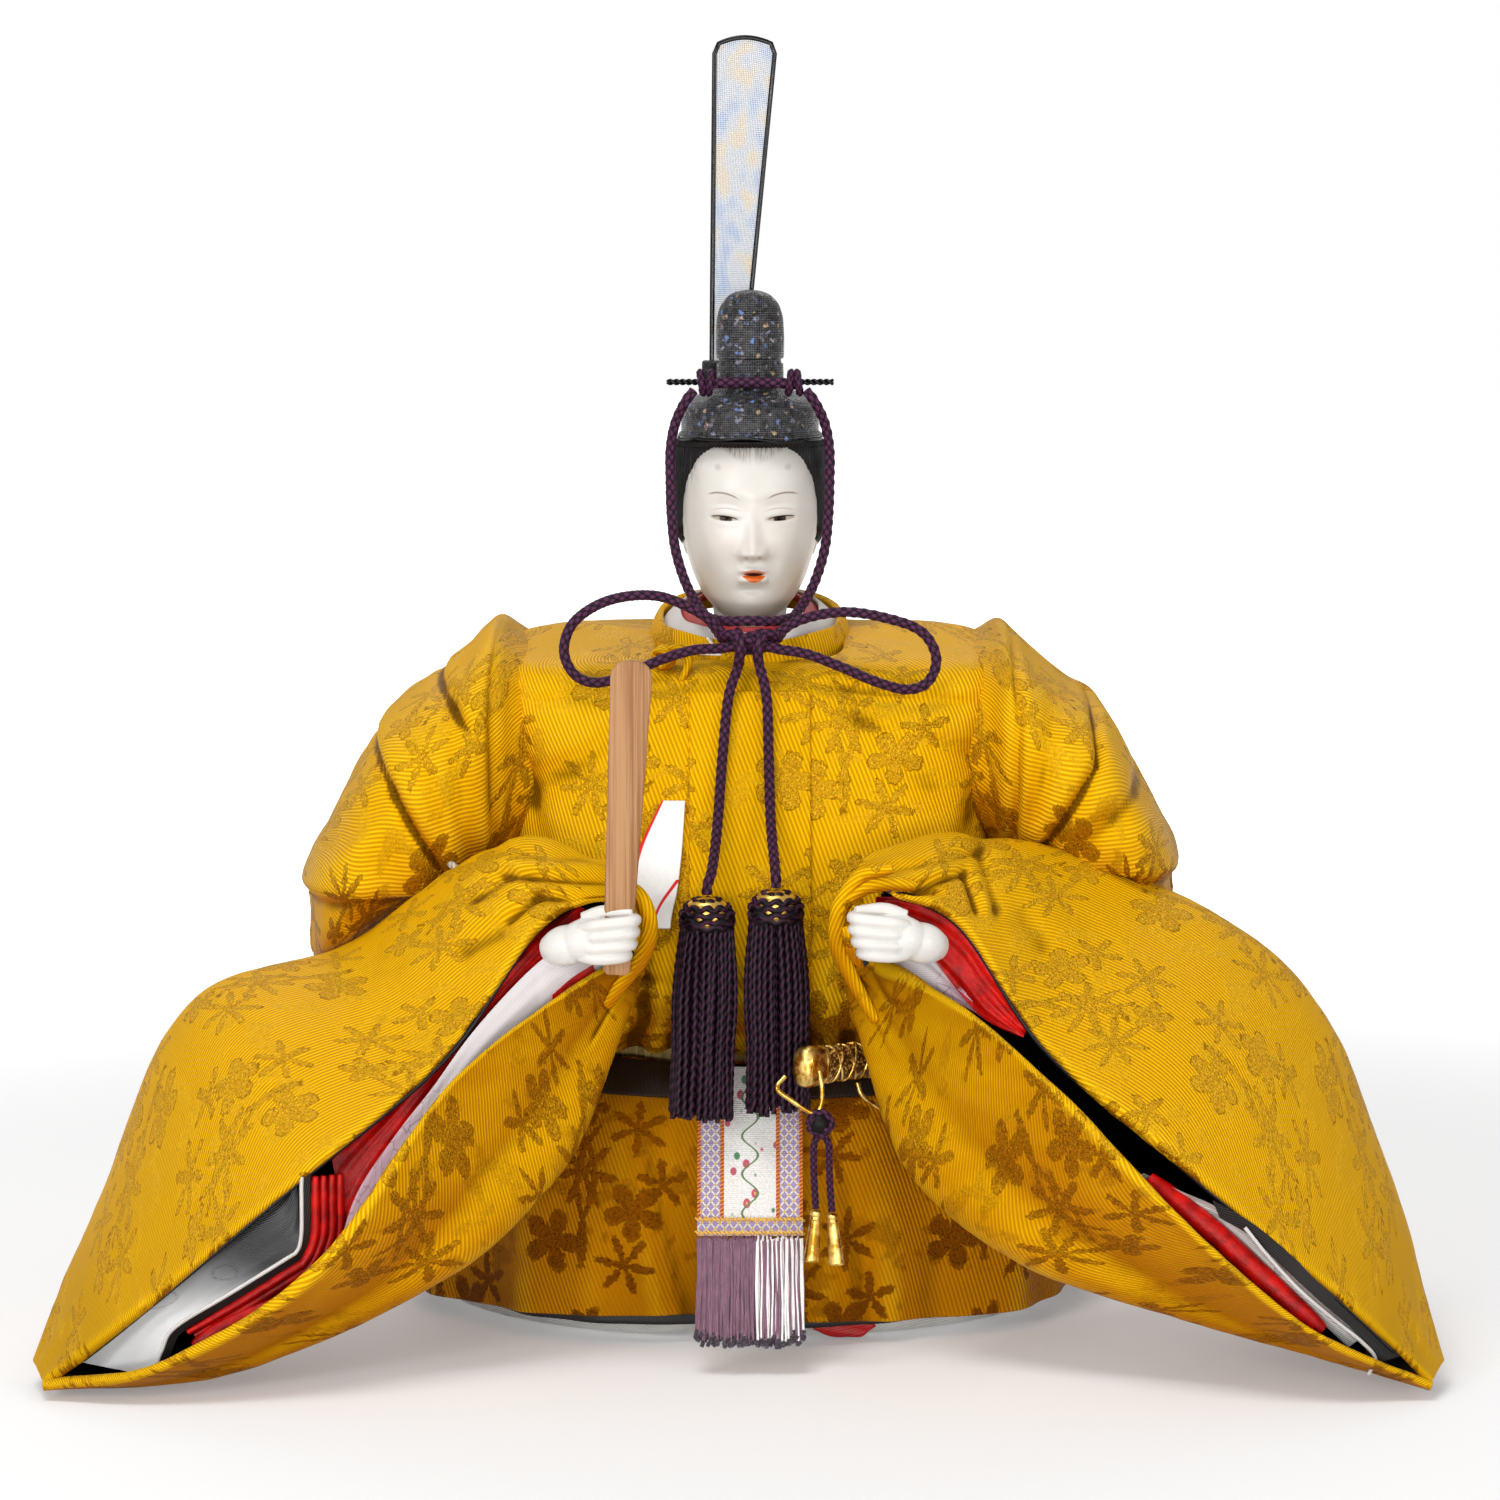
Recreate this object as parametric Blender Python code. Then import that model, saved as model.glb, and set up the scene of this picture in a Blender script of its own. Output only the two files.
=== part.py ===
"""Seated male court doll in a yellow-gold robe, sleeves spread to both sides.

Metres, +Z up, +X to the viewer's right, +Y to the doll's back. The origin is
the middle of the flat underside of the seat board.
"""

import math

import bmesh
import bpy
from mathutils import Matrix, Vector

for old in list(bpy.data.objects):
    bpy.data.objects.remove(old, do_unlink=True)

MM = 0.001
GAP = 0.3 * MM              # between pieces that touch
LOOSE = 0.8 * MM            # between layers of curved cloth
BROCADE = 1.0 * MM          # thickness of the outer robe
SILK = 0.6 * MM             # thickness of a lining or an inner layer

# Overall sizes
SEAT_HALF = 58.0 * MM       # seat board: half width, half depth, thickness
SEAT_DEEP = 45.0 * MM
SEAT_THICK = 3.0 * MM
BODY_RISE = 140.5 * MM      # top of the bodice at the neck
CORE_SINK = 3.5 * MM        # straw body below that
NECK_TALL = 7.0 * MM        # from the straw body to the chin
BODY_HALF = 51.5 * MM       # half width over the shoulders
BODY_FRONT = 56.0 * MM      # belly, forward of the middle
BODY_BACK = 47.0 * MM
WAIST_RISE = 57.0 * MM      # where bodice and skirt meet
SKIRT_HALF = 72.0 * MM
SKIRT_FRONT = 60.0 * MM
SKIRT_BACK = 58.0 * MM
SLEEVE_REACH = 140.0 * MM   # middle to sleeve tip
SLEEVE_WRIST = 17.0 * MM    # middle to the opening at the hand
SLEEVE_FORWARD = 110.0 * MM
SLEEVE_RISE = 100.0 * MM
CORE_TOP = BODY_RISE - CORE_SINK
HEAD_RISE = CORE_TOP + NECK_TALL
HEAD_TALL = 41.5 * MM       # chin to the crown of the head
HEAD_HALF = 14.6 * MM       # half width over the cheeks
HEAD_DEEP = 16.5 * MM       # half depth
CORD_THICK = 2.2 * MM       # purple braid
TAIL_TALL = 71.0 * MM       # upright tail of the crown


def paint(name, colour, roughness, metallic=0.0):
    mat = bpy.data.materials.new(name)
    mat.use_nodes = True
    shader = mat.node_tree.nodes["Principled BSDF"]
    shader.inputs["Base Color"].default_value = (*colour, 1.0)
    shader.inputs["Roughness"].default_value = roughness
    shader.inputs["Metallic"].default_value = metallic
    mat.diffuse_color = (*colour, 1.0)
    return mat


GOLD_SILK = paint("gold_silk", (0.72, 0.40, 0.02), 0.6)
BLACK_SILK = paint("black_silk", (0.02, 0.012, 0.015), 0.5)
SILVER_SILK = paint("silver_silk", (0.62, 0.60, 0.58), 0.45)
RED_SILK = paint("red_silk", (0.70, 0.01, 0.01), 0.5)
WHITE_SILK = paint("white_silk", (0.85, 0.84, 0.82), 0.5)
PURPLE_CORD = paint("purple_cord", (0.06, 0.02, 0.04), 0.7)
SHELL_WHITE = paint("shell_white", (0.88, 0.84, 0.80), 0.4)
BLACK_LACQUER = paint("black_lacquer", (0.012, 0.01, 0.01), 0.25)
HAIR_BLACK = paint("hair_black", (0.01, 0.009, 0.009), 0.5)
GAUZE = paint("gauze", (0.55, 0.56, 0.58), 0.5)
WOOD = paint("wood", (0.50, 0.27, 0.12), 0.6)
STRAW = paint("straw", (0.55, 0.42, 0.20), 0.9)
GILT = paint("gilt", (0.80, 0.58, 0.20), 0.25, 1.0)
STEEL_WIRE = paint("steel_wire", (0.5, 0.5, 0.5), 0.4, 1.0)
RAYSKIN = paint("rayskin", (0.28, 0.14, 0.04), 0.5)
LILAC = paint("lilac", (0.40, 0.22, 0.42), 0.6)
FRINGE_MAUVE = paint("fringe_mauve", (0.22, 0.08, 0.10), 0.7)
PAPER = paint("paper", (0.90, 0.88, 0.86), 0.7)


# shapes shared by many pieces

def join(name, bm, mat, parent=None, closed=True):
    if closed:
        bmesh.ops.recalc_face_normals(bm, faces=bm.faces[:])
    mesh = bpy.data.meshes.new(name)
    bm.to_mesh(mesh)
    bm.free()
    mesh.shade_smooth()
    mesh.set_sharp_from_angle(angle=math.radians(40))
    mesh.materials.append(mat)
    obj = bpy.data.objects.new(name, mesh)
    bpy.context.collection.objects.link(obj)
    if parent:
        obj.parent = parent
        obj.matrix_parent_inverse = Matrix.Translation(parent.location).inverted()
    return obj


def pivot(name, place):
    empty = bpy.data.objects.new(name, None)
    empty.location = place
    bpy.context.collection.objects.link(empty)
    return empty


def between(a, b, share):
    return a + (b - a) * share


def blend_row(points, share):
    """Point at a share of the way along a smooth curve through the points."""
    spans = len(points) - 1
    at = min(share * spans, spans - 1e-9)
    i = int(at)
    t = at - i
    p1, p2 = points[i], points[i + 1]
    p0 = points[i - 1] if i > 0 else p1 * 2 - p2
    p3 = points[i + 2] if i + 2 <= spans else p2 * 2 - p1
    return 0.5 * (2 * p1 + (p2 - p0) * t + (2 * p0 - 5 * p1 + 4 * p2 - p3) * t * t
                  + (3 * p1 - p0 - 3 * p2 + p3) * t ** 3)


def smooth_row(points, count):
    return [blend_row(points, i / (count - 1)) for i in range(count)]


def oval(rise, half, front, back, steps, boxy=2.0, tilt=0.0, shift=0.0, wave=0.0, waves=0):
    """One level ring of a body: half width, reach to the front and to the back."""
    ring = []
    for i in range(steps):
        turn = math.tau * i / steps
        c, s = math.cos(turn), math.sin(turn)
        r = (abs(c) ** boxy + abs(s) ** boxy) ** (-1 / boxy)
        fold = wave * math.cos(waves * turn)
        y = (back if s > 0 else front) * r * s + fold * s + shift
        ring.append(Vector((half * r * c + fold * c, y, rise + tilt * y)))
    return ring


def stack(bm, rings, closed=False):
    """Skin a stack of equal rings; closed joins the last to the first."""
    rows = [[bm.verts.new(p) for p in ring] for ring in rings]
    if closed:
        rows.append(rows[0])
    for low, high in zip(rows, rows[1:]):
        for i in range(len(low)):
            j = (i + 1) % len(low)
            bm.faces.new((low[i], low[j], high[j], high[i]))
    if not closed:
        bm.faces.new(rows[0])
        bm.faces.new(rows[-1])


def lathe_body(name, rings, mat, parent=None, closed=False):
    bm = bmesh.new()
    stack(bm, rings, closed)
    return join(name, bm, mat, parent)


def cloth(name, rows, thick, mat, parent=None, offset=-1.0):
    """A sheet laid through rows of points and given its thickness."""
    across, along = len(rows[0]), len(rows)
    bm = bmesh.new()
    bmesh.ops.create_grid(bm, x_segments=across - 1, y_segments=along - 1, size=1)
    for i, vert in enumerate(bm.verts):
        vert.co = rows[i // across][i % across]
    obj = join(name, bm, mat, parent, closed=False)
    solid = obj.modifiers.new("cloth", "SOLIDIFY")
    solid.thickness = thick
    solid.offset = offset
    return obj


def frames(path, closed=False):
    """Side and up directions along a path, turned as little as possible."""
    ahead = []
    for i in range(len(path)):
        a = path[i - 1] if i or closed else path[0]
        b = path[(i + 1) % len(path)] if i + 1 < len(path) or closed else path[-1]
        ahead.append((b - a).normalized())
    side = ahead[0].orthogonal().normalized()
    out = []
    for t in ahead:
        side = (side - t * side.dot(t)).normalized()
        out.append((side, t.cross(side)))
    return out


def rod(path, radii, sides=8, turn=0.0):
    """Rings of a round or many-sided rod along a path."""
    rings = []
    for i, (p, (side, up)) in enumerate(zip(path, frames(path))):
        radius = radii[i] if isinstance(radii, list) else radii
        rings.append([p + (side * math.cos(a) + up * math.sin(a)) * radius
                      for a in (math.tau * k / sides + turn * i for k in range(sides))])
    return rings


def cord(name, path, thick, mat, parent=None):
    curve = bpy.data.curves.new(name, "CURVE")
    curve.dimensions = "3D"
    curve.bevel_depth = thick / 2
    curve.bevel_resolution = 2
    curve.use_fill_caps = True
    line = curve.splines.new("POLY")
    line.points.add(len(path) - 1)
    for point, place in zip(line.points, path):
        point.co = (*place, 1.0)
    line.use_smooth = True
    curve.materials.append(mat)
    obj = bpy.data.objects.new(name, curve)
    bpy.context.collection.objects.link(obj)
    if parent:
        obj.parent = parent
        obj.matrix_parent_inverse = Matrix.Translation(parent.location).inverted()
    return obj


def route(points_mm):
    return [Vector(p) * MM for p in points_mm]


def even(points, count):
    """Evenly spaced points on the smooth curve through a route's points."""
    fine = smooth_row(points, 200)
    run = [0.0]
    for a, b in zip(fine, fine[1:]):
        run.append(run[-1] + (b - a).length)
    out, j = [], 0
    for k in range(count):
        goal = run[-1] * k / (count - 1)
        while j < len(run) - 2 and run[j + 1] < goal:
            j += 1
        out.append(fine[j].lerp(fine[j + 1], (goal - run[j]) / (run[j + 1] - run[j])))
    return out


def cutter(name, rings, closed=False):
    bm = bmesh.new()
    stack(bm, rings, closed)
    obj = join(name, bm, STRAW)
    obj.hide_render = True
    obj.display_type = "WIRE"
    return obj


def cut(obj, tool):
    cutting = obj.modifiers.new("cut", "BOOLEAN")
    cutting.operation = "DIFFERENCE"
    cutting.solver = "EXACT"
    cutting.object = tool


def block(half, deep, tall, place):
    """Rings of an upright box around a place."""
    return [[place + Vector((sx * half, sy * deep, z)) for sx, sy in
             ((-1, -1), (1, -1), (1, 1), (-1, 1))] for z in (-tall / 2, tall / 2)]


# body: seat board, straw body, arm wire

def seat_board():
    edge = 0.6 * MM
    rings = [oval(0, SEAT_HALF - edge, SEAT_DEEP - edge, SEAT_DEEP - edge, 28),
             oval(edge, SEAT_HALF, SEAT_DEEP, SEAT_DEEP, 28),
             oval(SEAT_THICK - edge, SEAT_HALF, SEAT_DEEP, SEAT_DEEP, 28),
             oval(SEAT_THICK, SEAT_HALF - edge, SEAT_DEEP - edge, SEAT_DEEP - edge, 28)]
    return lathe_body("seat_board", rings, WOOD)


PEG_RADIUS = 3.0 * MM
PEG_LONG = 21.0 * MM
NECK_RADIUS = 7.6 * MM
core_shares = (
    (0, 0.76, 0.7, 0.8),
    (0.3, 0.74, 0.78, 0.8),
    (0.42, 0.78, 0.8, 0.78),
    (0.62, 0.82, 0.78, 0.78),
    (0.83, 0.86, 0.6, 0.74),
    (0.945, 0.8, 0.42, 0.6),
    (0.985, 0.36, 0.34, 0.28),
    (1, 0.22, 0.24, 0.17))

WIRE_THICK = 1.6 * MM
ARM_STEPS = 23
ARM_route_shares = (
    (-0.612, 0.741, 0.878), (-0.757, 0.655, 0.886), (-0.971, 0.527, 0.915), (-1.282, 0.309, 1),
    (-1.32, 0.109, 1.12), (-1.049, 0.009, 1.2), (-0.583, -0.045, 1.21), (0, -0.082, 1.2),
    (0.583, -0.045, 1.21), (1.049, 0.009, 1.2), (1.32, 0.109, 1.12), (1.282, 0.309, 1.01),
    (0.942, 0.527, 0.925), (0.718, 0.655, 0.89), (0.571, 0.741, 0.882))


def arm_place(shares):
    """A place on the arms, from shares of the body's half width and the sleeves' forward reach and rise."""
    x, y, z = shares
    return Vector((BODY_HALF * x, -SLEEVE_FORWARD * y, SLEEVE_RISE * z))


def straw_body(wire_hole, peg_hole):
    low = SEAT_THICK + GAP
    rings = [oval(between(low, CORE_TOP, z), BODY_HALF * w - BROCADE, BODY_FRONT * f - BROCADE,
                  BODY_BACK * b - BROCADE, 16, 2.4) for z, w, f, b in core_shares]
    core = lathe_body("body_core", rings, STRAW)
    cut(core, wire_hole)
    cut(core, peg_hole)
    return core


def arm_wire():
    path = even([arm_place(s) for s in ARM_route_shares], ARM_STEPS)
    return lathe_body("arm_wire", rod(path, WIRE_THICK / 2, 6), STEEL_WIRE)


def arm_wire_hole():
    ahead = [arm_place(s) for s in ARM_route_shares]
    ahead[0] += (ahead[0] - ahead[1]).normalized() * WIRE_THICK
    ahead[-1] += (ahead[-1] - ahead[-2]).normalized() * WIRE_THICK
    return cutter("arm_wire_hole", rod(even(ahead, ARM_STEPS), WIRE_THICK / 2 + 2 * GAP, 6))


# trousers: two padded legs wrapped round the seat board

LEG_TALL = 12.0 * MM
LEG_WIDE = 9.0 * MM
LEG_sweep_shares = (0.045, 0.60)     # of a half turn, from the middle of the front


def leg(name, side):
    rings = []
    a0, a1 = (math.pi * s for s in LEG_sweep_shares)
    steps = 11
    for i in range(steps + 1):
        t = i / steps
        turn = a0 + (a1 - a0) * t
        end = min(1.0, 0.55 + 3.2 * min(t, 1 - t))
        out = Vector((side * math.sin(turn), -math.cos(turn), 0))
        half = SEAT_HALF + GAP + LEG_WIDE / 2
        deep = SEAT_DEEP + GAP + LEG_WIDE / 2
        mid = Vector((out.x * half, out.y * deep, 0))
        puff = 1 + 0.10 * math.cos(6 * turn)
        ring = []
        for k in range(10):
            a = math.tau * k / 10
            c, s = math.cos(a), math.sin(a)
            r = (abs(c) ** 3 + abs(s) ** 3) ** (-1 / 3)
            ring.append(mid + out * (c * r * LEG_WIDE / 2 * end * 0.97)
                        + Vector((0, 0, LEG_TALL * end * puff * (0.5 + 0.5 * s * min(r, 1.0)))))
        rings.append(ring)
    return lathe_body(name, rings, SILVER_SILK)


PATCH_LONG = 13.0 * MM
PATCH_DEEP = 1.8 * MM
PATCH_TALL = 6.6 * MM
PATCH_place_shares = (0.3276, 1.1911, 0.3)      # of the seat: half width, half depth; of the leg: height


def trouser_lining():
    x, y, z = PATCH_place_shares
    mid = Vector((SEAT_HALF * x, -SEAT_DEEP * y, LEG_TALL * z))
    rings = []
    for i in range(9):
        t = i / 8 * 2 - 1
        swell = math.sqrt(max(0.12, 1 - t * t))
        rings.append([mid + Vector((t * PATCH_LONG / 2, math.cos(a) * PATCH_DEEP / 2 * swell,
                                    math.sin(a) * PATCH_TALL / 2 * swell))
                      for a in (math.tau * k / 10 for k in range(10))])
    return lathe_body("trouser_lining", rings, RED_SILK)


# robe: skirt, bodice, front flap, belt

SKIRT_low = 5.0 * MM
skirt_shares = (
    (0, 1, 1, 1, 1),
    (0.15, 1, 1, 1, 0.9),
    (0.42, 0.975, 0.985, 0.96, 0.65),
    (0.68, 0.89, 0.94, 0.89, 0.4),
    (0.87, 0.76, 0.86, 0.81, 0.2),
    (1, 0.64, 0.77, 0.75, 0))
SKIRT_FOLD = 1.5 * MM
SKIRT_folds = 9


def skirt_rings(inset, low=0.0, high=1.0):
    out = []
    for z, w, f, b, fold in skirt_shares:
        z = min(max(z, low), high)
        out.append(oval(between(SKIRT_low, WAIST_RISE - GAP, z), SKIRT_HALF * w - inset,
                        SKIRT_FRONT * f - inset, SKIRT_BACK * b - inset, 36, 2.15,
                        wave=SKIRT_FOLD * fold, waves=SKIRT_folds))
    return out


def skirt():
    return lathe_body("robe_skirt", skirt_rings(0) + skirt_rings(BROCADE)[::-1], GOLD_SILK, closed=True)


HEM_TALL = 7.0 * MM


def hem_lining():
    outer = BROCADE + GAP
    rings = []
    for inset in (outer, outer + SILK):
        row = [oval(SKIRT_low - BROCADE + z, SKIRT_HALF * w - inset, SKIRT_FRONT * w - inset,
                    SKIRT_BACK * w - inset, 36, 2.15, wave=SKIRT_FOLD * fold, waves=SKIRT_folds)
               for z, w, fold in ((0, skirt_shares[0][1], skirt_shares[0][4]),
                                  (HEM_TALL, skirt_shares[1][1], skirt_shares[1][4]))]
        rings += row if inset == outer else row[::-1]
    return lathe_body("skirt_hem_lining", rings, BLACK_SILK, closed=True)


bodice_shares = (
    (0.408, 0.796, 0.804, 0.872, 0),
    (0.456, 0.897, 0.957, 0.962, 0),
    (0.541, 0.918, 1, 0.989, 0),
    (0.655, 0.979, 0.954, 0.989, 0),
    (0.797, 0.996, 0.811, 0.97, 0),
    (0.925, 1, 0.668, 0.902, 0.06),
    (0.986, 0.977, 0.589, 0.83, 0.12),
    (1.005, 0.874, 0.545, 0.723, 0.2),
    (1, 0.381, 0.457, 0.374, 0.24))


def bodice_rings(inset):
    return [oval(BODY_RISE * z - inset * 0.2, BODY_HALF * w - inset, BODY_FRONT * f - inset,
                 BODY_BACK * b - inset, 24, 3.4, tilt) for z, w, f, b, tilt in bodice_shares]


def bodice(wire_hole):
    rings = bodice_rings(0)
    inner = bodice_rings(BROCADE)
    for ring in inner[-3:]:
        for p in ring:
            p.z -= BROCADE * 0.8
    obj = lathe_body("robe_bodice", rings + inner[::-1], GOLD_SILK, closed=True)
    cut(obj, wire_hole)
    return obj


def bodice_front(x, z):
    """How far forward the bodice stands at a place on its front."""
    rows = [(BODY_RISE * s, BODY_HALF * w, BODY_FRONT * f, t) for s, w, f, b, t in bodice_shares[:-2]]
    rows = [(h - t * f, w, f) for h, w, f, t in rows]
    for (z0, w0, f0), (z1, w1, f1) in zip(rows, rows[1:]):
        if z <= z1 or z1 == rows[-1][0]:
            t = min(max((z - z0) / (z1 - z0), 0.0), 1.0)
            half, front = between(w0, w1, t), between(f0, f1, t)
            return front * (1 - (abs(x) / half) ** 3.4) ** (1 / 3.4)


FLAP_HALF = 12.4 * MM
FLAP_low = 68.0 * MM
FLAP_high = 126.0 * MM


def front_flap():
    rows = []
    for i in range(11):
        z = between(FLAP_low, FLAP_high, i / 10)
        row = []
        for k in range(5):
            x = FLAP_HALF * (k / 2 - 1)
            row.append(Vector((x, -bodice_front(x, z) - LOOSE - BROCADE, z)))
        rows.append(row)
    return cloth("front_flap", rows, BROCADE, GOLD_SILK)


BELT_span_shares = (0.05, 0.95)
BELT_THICK = 1.4 * MM


def belt():
    low, high = skirt_shares[-2], skirt_shares[-1]
    rings = []
    for lift in (GAP, GAP + BELT_THICK):
        part = []
        for t in BELT_span_shares:
            z, w, f, b, fold = (between(p, q, t) for p, q in zip(low, high))
            part.append(oval(between(SKIRT_low, WAIST_RISE - GAP, z), SKIRT_HALF * w + lift,
                             SKIRT_FRONT * f + lift, SKIRT_BACK * b + lift, 36, 2.15,
                             wave=SKIRT_FOLD * fold, waves=SKIRT_folds))
        rings += part if lift == GAP else part[::-1]
    return lathe_body("belt", rings, BLACK_SILK, closed=True)


# shoulders and upper arms of the sleeves

shoulder_left_shares = (
    (0, 1.007, 0.654, 0.807, 0.807),
    (0.191, 0.971, 0.63, 0.936, 0.936),
    (0.363, 0.932, 0.612, 0.948, 0.936),
    (0.538, 0.89, 0.587, 0.924, 0.915),
    (0.723, 0.804, 0.562, 0.873, 0.873),
    (0.894, 0.705, 0.545, 0.723, 0.723),
    (1, 0.641, 0.566, 0.426, 0.468))
shoulder_right_shares = (
    (0, 1.007, 0.698, 0.807, 0.807),
    (0.191, 0.964, 0.687, 0.936, 0.936),
    (0.363, 0.922, 0.676, 0.948, 0.936),
    (0.525, 0.894, 0.662, 0.924, 0.915),
    (0.687, 0.808, 0.641, 0.852, 0.873),
    (0.826, 0.726, 0.616, 0.681, 0.723),
    (0.907, 0.676, 0.612, 0.384, 0.468))
SHOULDER_SPAN = 43.2 * MM   # from the side of the bodice to the bend of the arm


def shoulder(name, side, shares, wire_hole):
    rings = []
    for x, top, low, front, back in shares:
        mid, half = BODY_RISE * (top + low) / 2, BODY_RISE * (top - low) / 2
        ring = []
        for k in range(20):
            a = math.tau * k / 20
            c, s = math.cos(a), math.sin(a)
            r = (abs(c) ** 2.5 + abs(s) ** 2.5) ** (-1 / 2.5)
            deep = BODY_BACK * (front if c < 0 else back)
            ring.append(Vector((side * (BODY_HALF + GAP + SHOULDER_SPAN * x), deep * c * r,
                                mid + half * s * r)))
        rings.append(ring)
    obj = lathe_body(name, rings, GOLD_SILK)
    cut(obj, wire_hole)
    return obj


# wide lower sleeves: one bag of brocade slit open along its front edge.
# Each table runs from the wrist to the tip, as shares of the way from wrist
# to tip, of the reach forward and of the rise:
# upper lip, ridge, back, keel under the arm, lower lip.

sleeve_left_shares = (
    ((0.037, 0.755, 0.966), (0.198, 0.745, 0.901), (0.372, 0.818, 0.628),
     (0.59, 0.891, 0.423), (0.834, 0.936, 0.18), (0.982, 0.945, 0.039)),
    ((0.068, 0.655, 0.996), (0.281, 0.491, 1.012), (0.549, 0.309, 0.787),
     (0.804, 0.291, 0.663), (0.944, 0.5, 0.285), (1.009, 0.836, 0.051)),
    ((0.081, 0.564, 0.89), (0.366, 0.364, 0.78), (0.529, 0.182, 0.52),
     (0.805, 0.109, 0.26), (0.927, 0.409, 0.08), (0.976, 0.764, 0.012)),
    ((0.036, 0.673, 0.807), (0.069, 0.636, 0.716), (0.17, 0.655, 0.411),
     (0.38, 0.709, 0.19), (0.71, 0.836, 0.035), (0.973, 0.891, 0.012)),
    ((0.051, 0.755, 0.813), (0.125, 0.782, 0.788), (0.33, 0.873, 0.607),
     (0.536, 0.964, 0.262), (0.785, 1, 0.072), (0.978, 0.955, 0.02)))
sleeve_right_shares = (
    ((0.021, 0.755, 0.992), (0.194, 0.745, 0.921), (0.339, 0.818, 0.676),
     (0.558, 0.891, 0.453), (0.802, 0.936, 0.206), (0.944, 0.945, 0.043)),
    ((0.052, 0.655, 1.008), (0.207, 0.491, 1.033), (0.464, 0.309, 0.956),
     (0.761, 0.291, 0.742), (0.91, 0.5, 0.388), (0.973, 0.836, 0.051)),
    ((0.066, 0.564, 0.9), (0.333, 0.364, 0.8), (0.488, 0.182, 0.54),
     (0.78, 0.109, 0.28), (0.91, 0.409, 0.09), (0.948, 0.764, 0.012)),
    ((0.004, 0.673, 0.815), (0.051, 0.636, 0.675), (0.13, 0.655, 0.391),
     (0.348, 0.709, 0.205), (0.669, 0.836, 0.101), (0.932, 0.891, 0.012)),
    ((0.04, 0.755, 0.817), (0.12, 0.782, 0.79), (0.273, 0.873, 0.676),
     (0.506, 0.964, 0.39), (0.726, 1, 0.152), (0.936, 0.955, 0.02)))


SLEEVE_BULGE = 3.0 * MM


def sleeve_column(side, row):
    return [Vector((side * between(SLEEVE_WRIST, SLEEVE_REACH, x), -SLEEVE_FORWARD * y, SLEEVE_RISE * z))
            for x, y, z in row]


def sleeve_columns(side, shares):
    upper, ridge, back, keel, lower = (sleeve_column(side, row) for row in shares)
    swell = [SLEEVE_BULGE * s for s in (0.4, 0.9, 1.0, 1.0, 0.7, 0.1)]
    top = [(a + b) / 2 + Vector((side * 0.3, -0.2, 1.0)) * g for a, b, g in zip(upper, ridge, swell)]
    rear = [(a + b) / 2 + Vector((side * 1.0, 0.5, 0.2)) * g for a, b, g in zip(ridge, back, swell)]
    front = [(a + b) / 2 + Vector((side * -0.2, -0.8, -0.2)) * g for a, b, g in zip(keel, lower, swell)]
    return [upper, top, ridge, rear, back, keel, front, lower]


def sleeve_net(columns, along, across, start=0.0, end=1.0):
    """Rows of points over the sleeve, from the upper lip round to the lower one."""
    rows = []
    for i in range(along):
        u = between(start, end, i / (along - 1))
        points = [blend_row(c, u) for c in columns]
        rows.append(smooth_row(points, across))
    return rows


def sleeve(name, side, shares, wire_hole):
    rows = sleeve_net(sleeve_columns(side, shares), 13, 19)
    obj = cloth(name, rows, BROCADE, GOLD_SILK, offset=side)
    cut(obj, wire_hole)
    return obj


def drawn_in(side, columns, depth, shares):
    """The same columns, each moved square to the cloth, into the sleeve."""
    def at(u, v):
        return blend_row([blend_row(c, min(max(u, 0.0), 1.0)) for c in columns], min(max(v, 0.0), 1.0))
    out = []
    for j, (column, share) in enumerate(zip(columns, shares)):
        row = []
        for i, p in enumerate(column):
            u, v, step = i / (len(column) - 1), j / (len(columns) - 1), 0.02
            along = at(u + step, v) - at(u - step, v)
            round_it = at(u, v + step) - at(u, v - step)
            row.append(p - along.cross(round_it).normalized() * (side * depth * share))
        out.append(row)
    return out


LINING_DEPTH = 3.4 * MM
LINING_draw_shares = (0.55, 0.6, 0.9, 0.9, 0.9, 0.9, 0.6, 0.5)
LINING_span_shares = (0.14, 0.92)


def sleeve_lining(name, side, shares):
    """Black silk behind the upper lip, up to the ridge."""
    c = drawn_in(side, sleeve_columns(side, shares), LINING_DEPTH, LINING_draw_shares)
    crest = [a.lerp(b, 0.5) for a, b in zip(c[1], c[2])]
    return cloth(name, sleeve_net([c[0], c[1], crest], 11, 6, *LINING_span_shares), SILK, BLACK_SILK,
                 offset=side)


INNER_DEPTH = 5.4 * MM
INNER_draw_shares = (1.0, 1.0, 1.0, 1.0, 1.0, 1.0, 0.50, 0.31)
INNER_lip_share = 0.04
INNER_span_shares = (0.49, 0.80)


def sleeve_inner(name, side, shares):
    """The silver-white layer, seen above the lower lip."""
    c = drawn_in(side, sleeve_columns(side, shares), INNER_DEPTH, INNER_draw_shares)
    low = [a.lerp(b, 0.6) for a, b in zip(c[4], c[5])]
    rim = [a.lerp(b, INNER_lip_share) for a, b in zip(c[7], c[0])]
    return cloth(name, sleeve_net([low, c[5], c[6], rim], 10, 7, *INNER_span_shares), SILK, SILVER_SILK,
                 offset=side)


PAD_left_span_shares = (0.50, 0.80)
PAD_right_span_shares = (0.235, 0.80)
PAD_fat_share = 0.23
CUFF_span_shares = (0.235, 0.45)
CUFF_fat_share = 0.26
PAD_DEPTH = 3.2 * MM
PAD_left_rise_share = 0.37
PAD_right_rise_share = 0.48
CUFF_rise_share = 0.30


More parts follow.
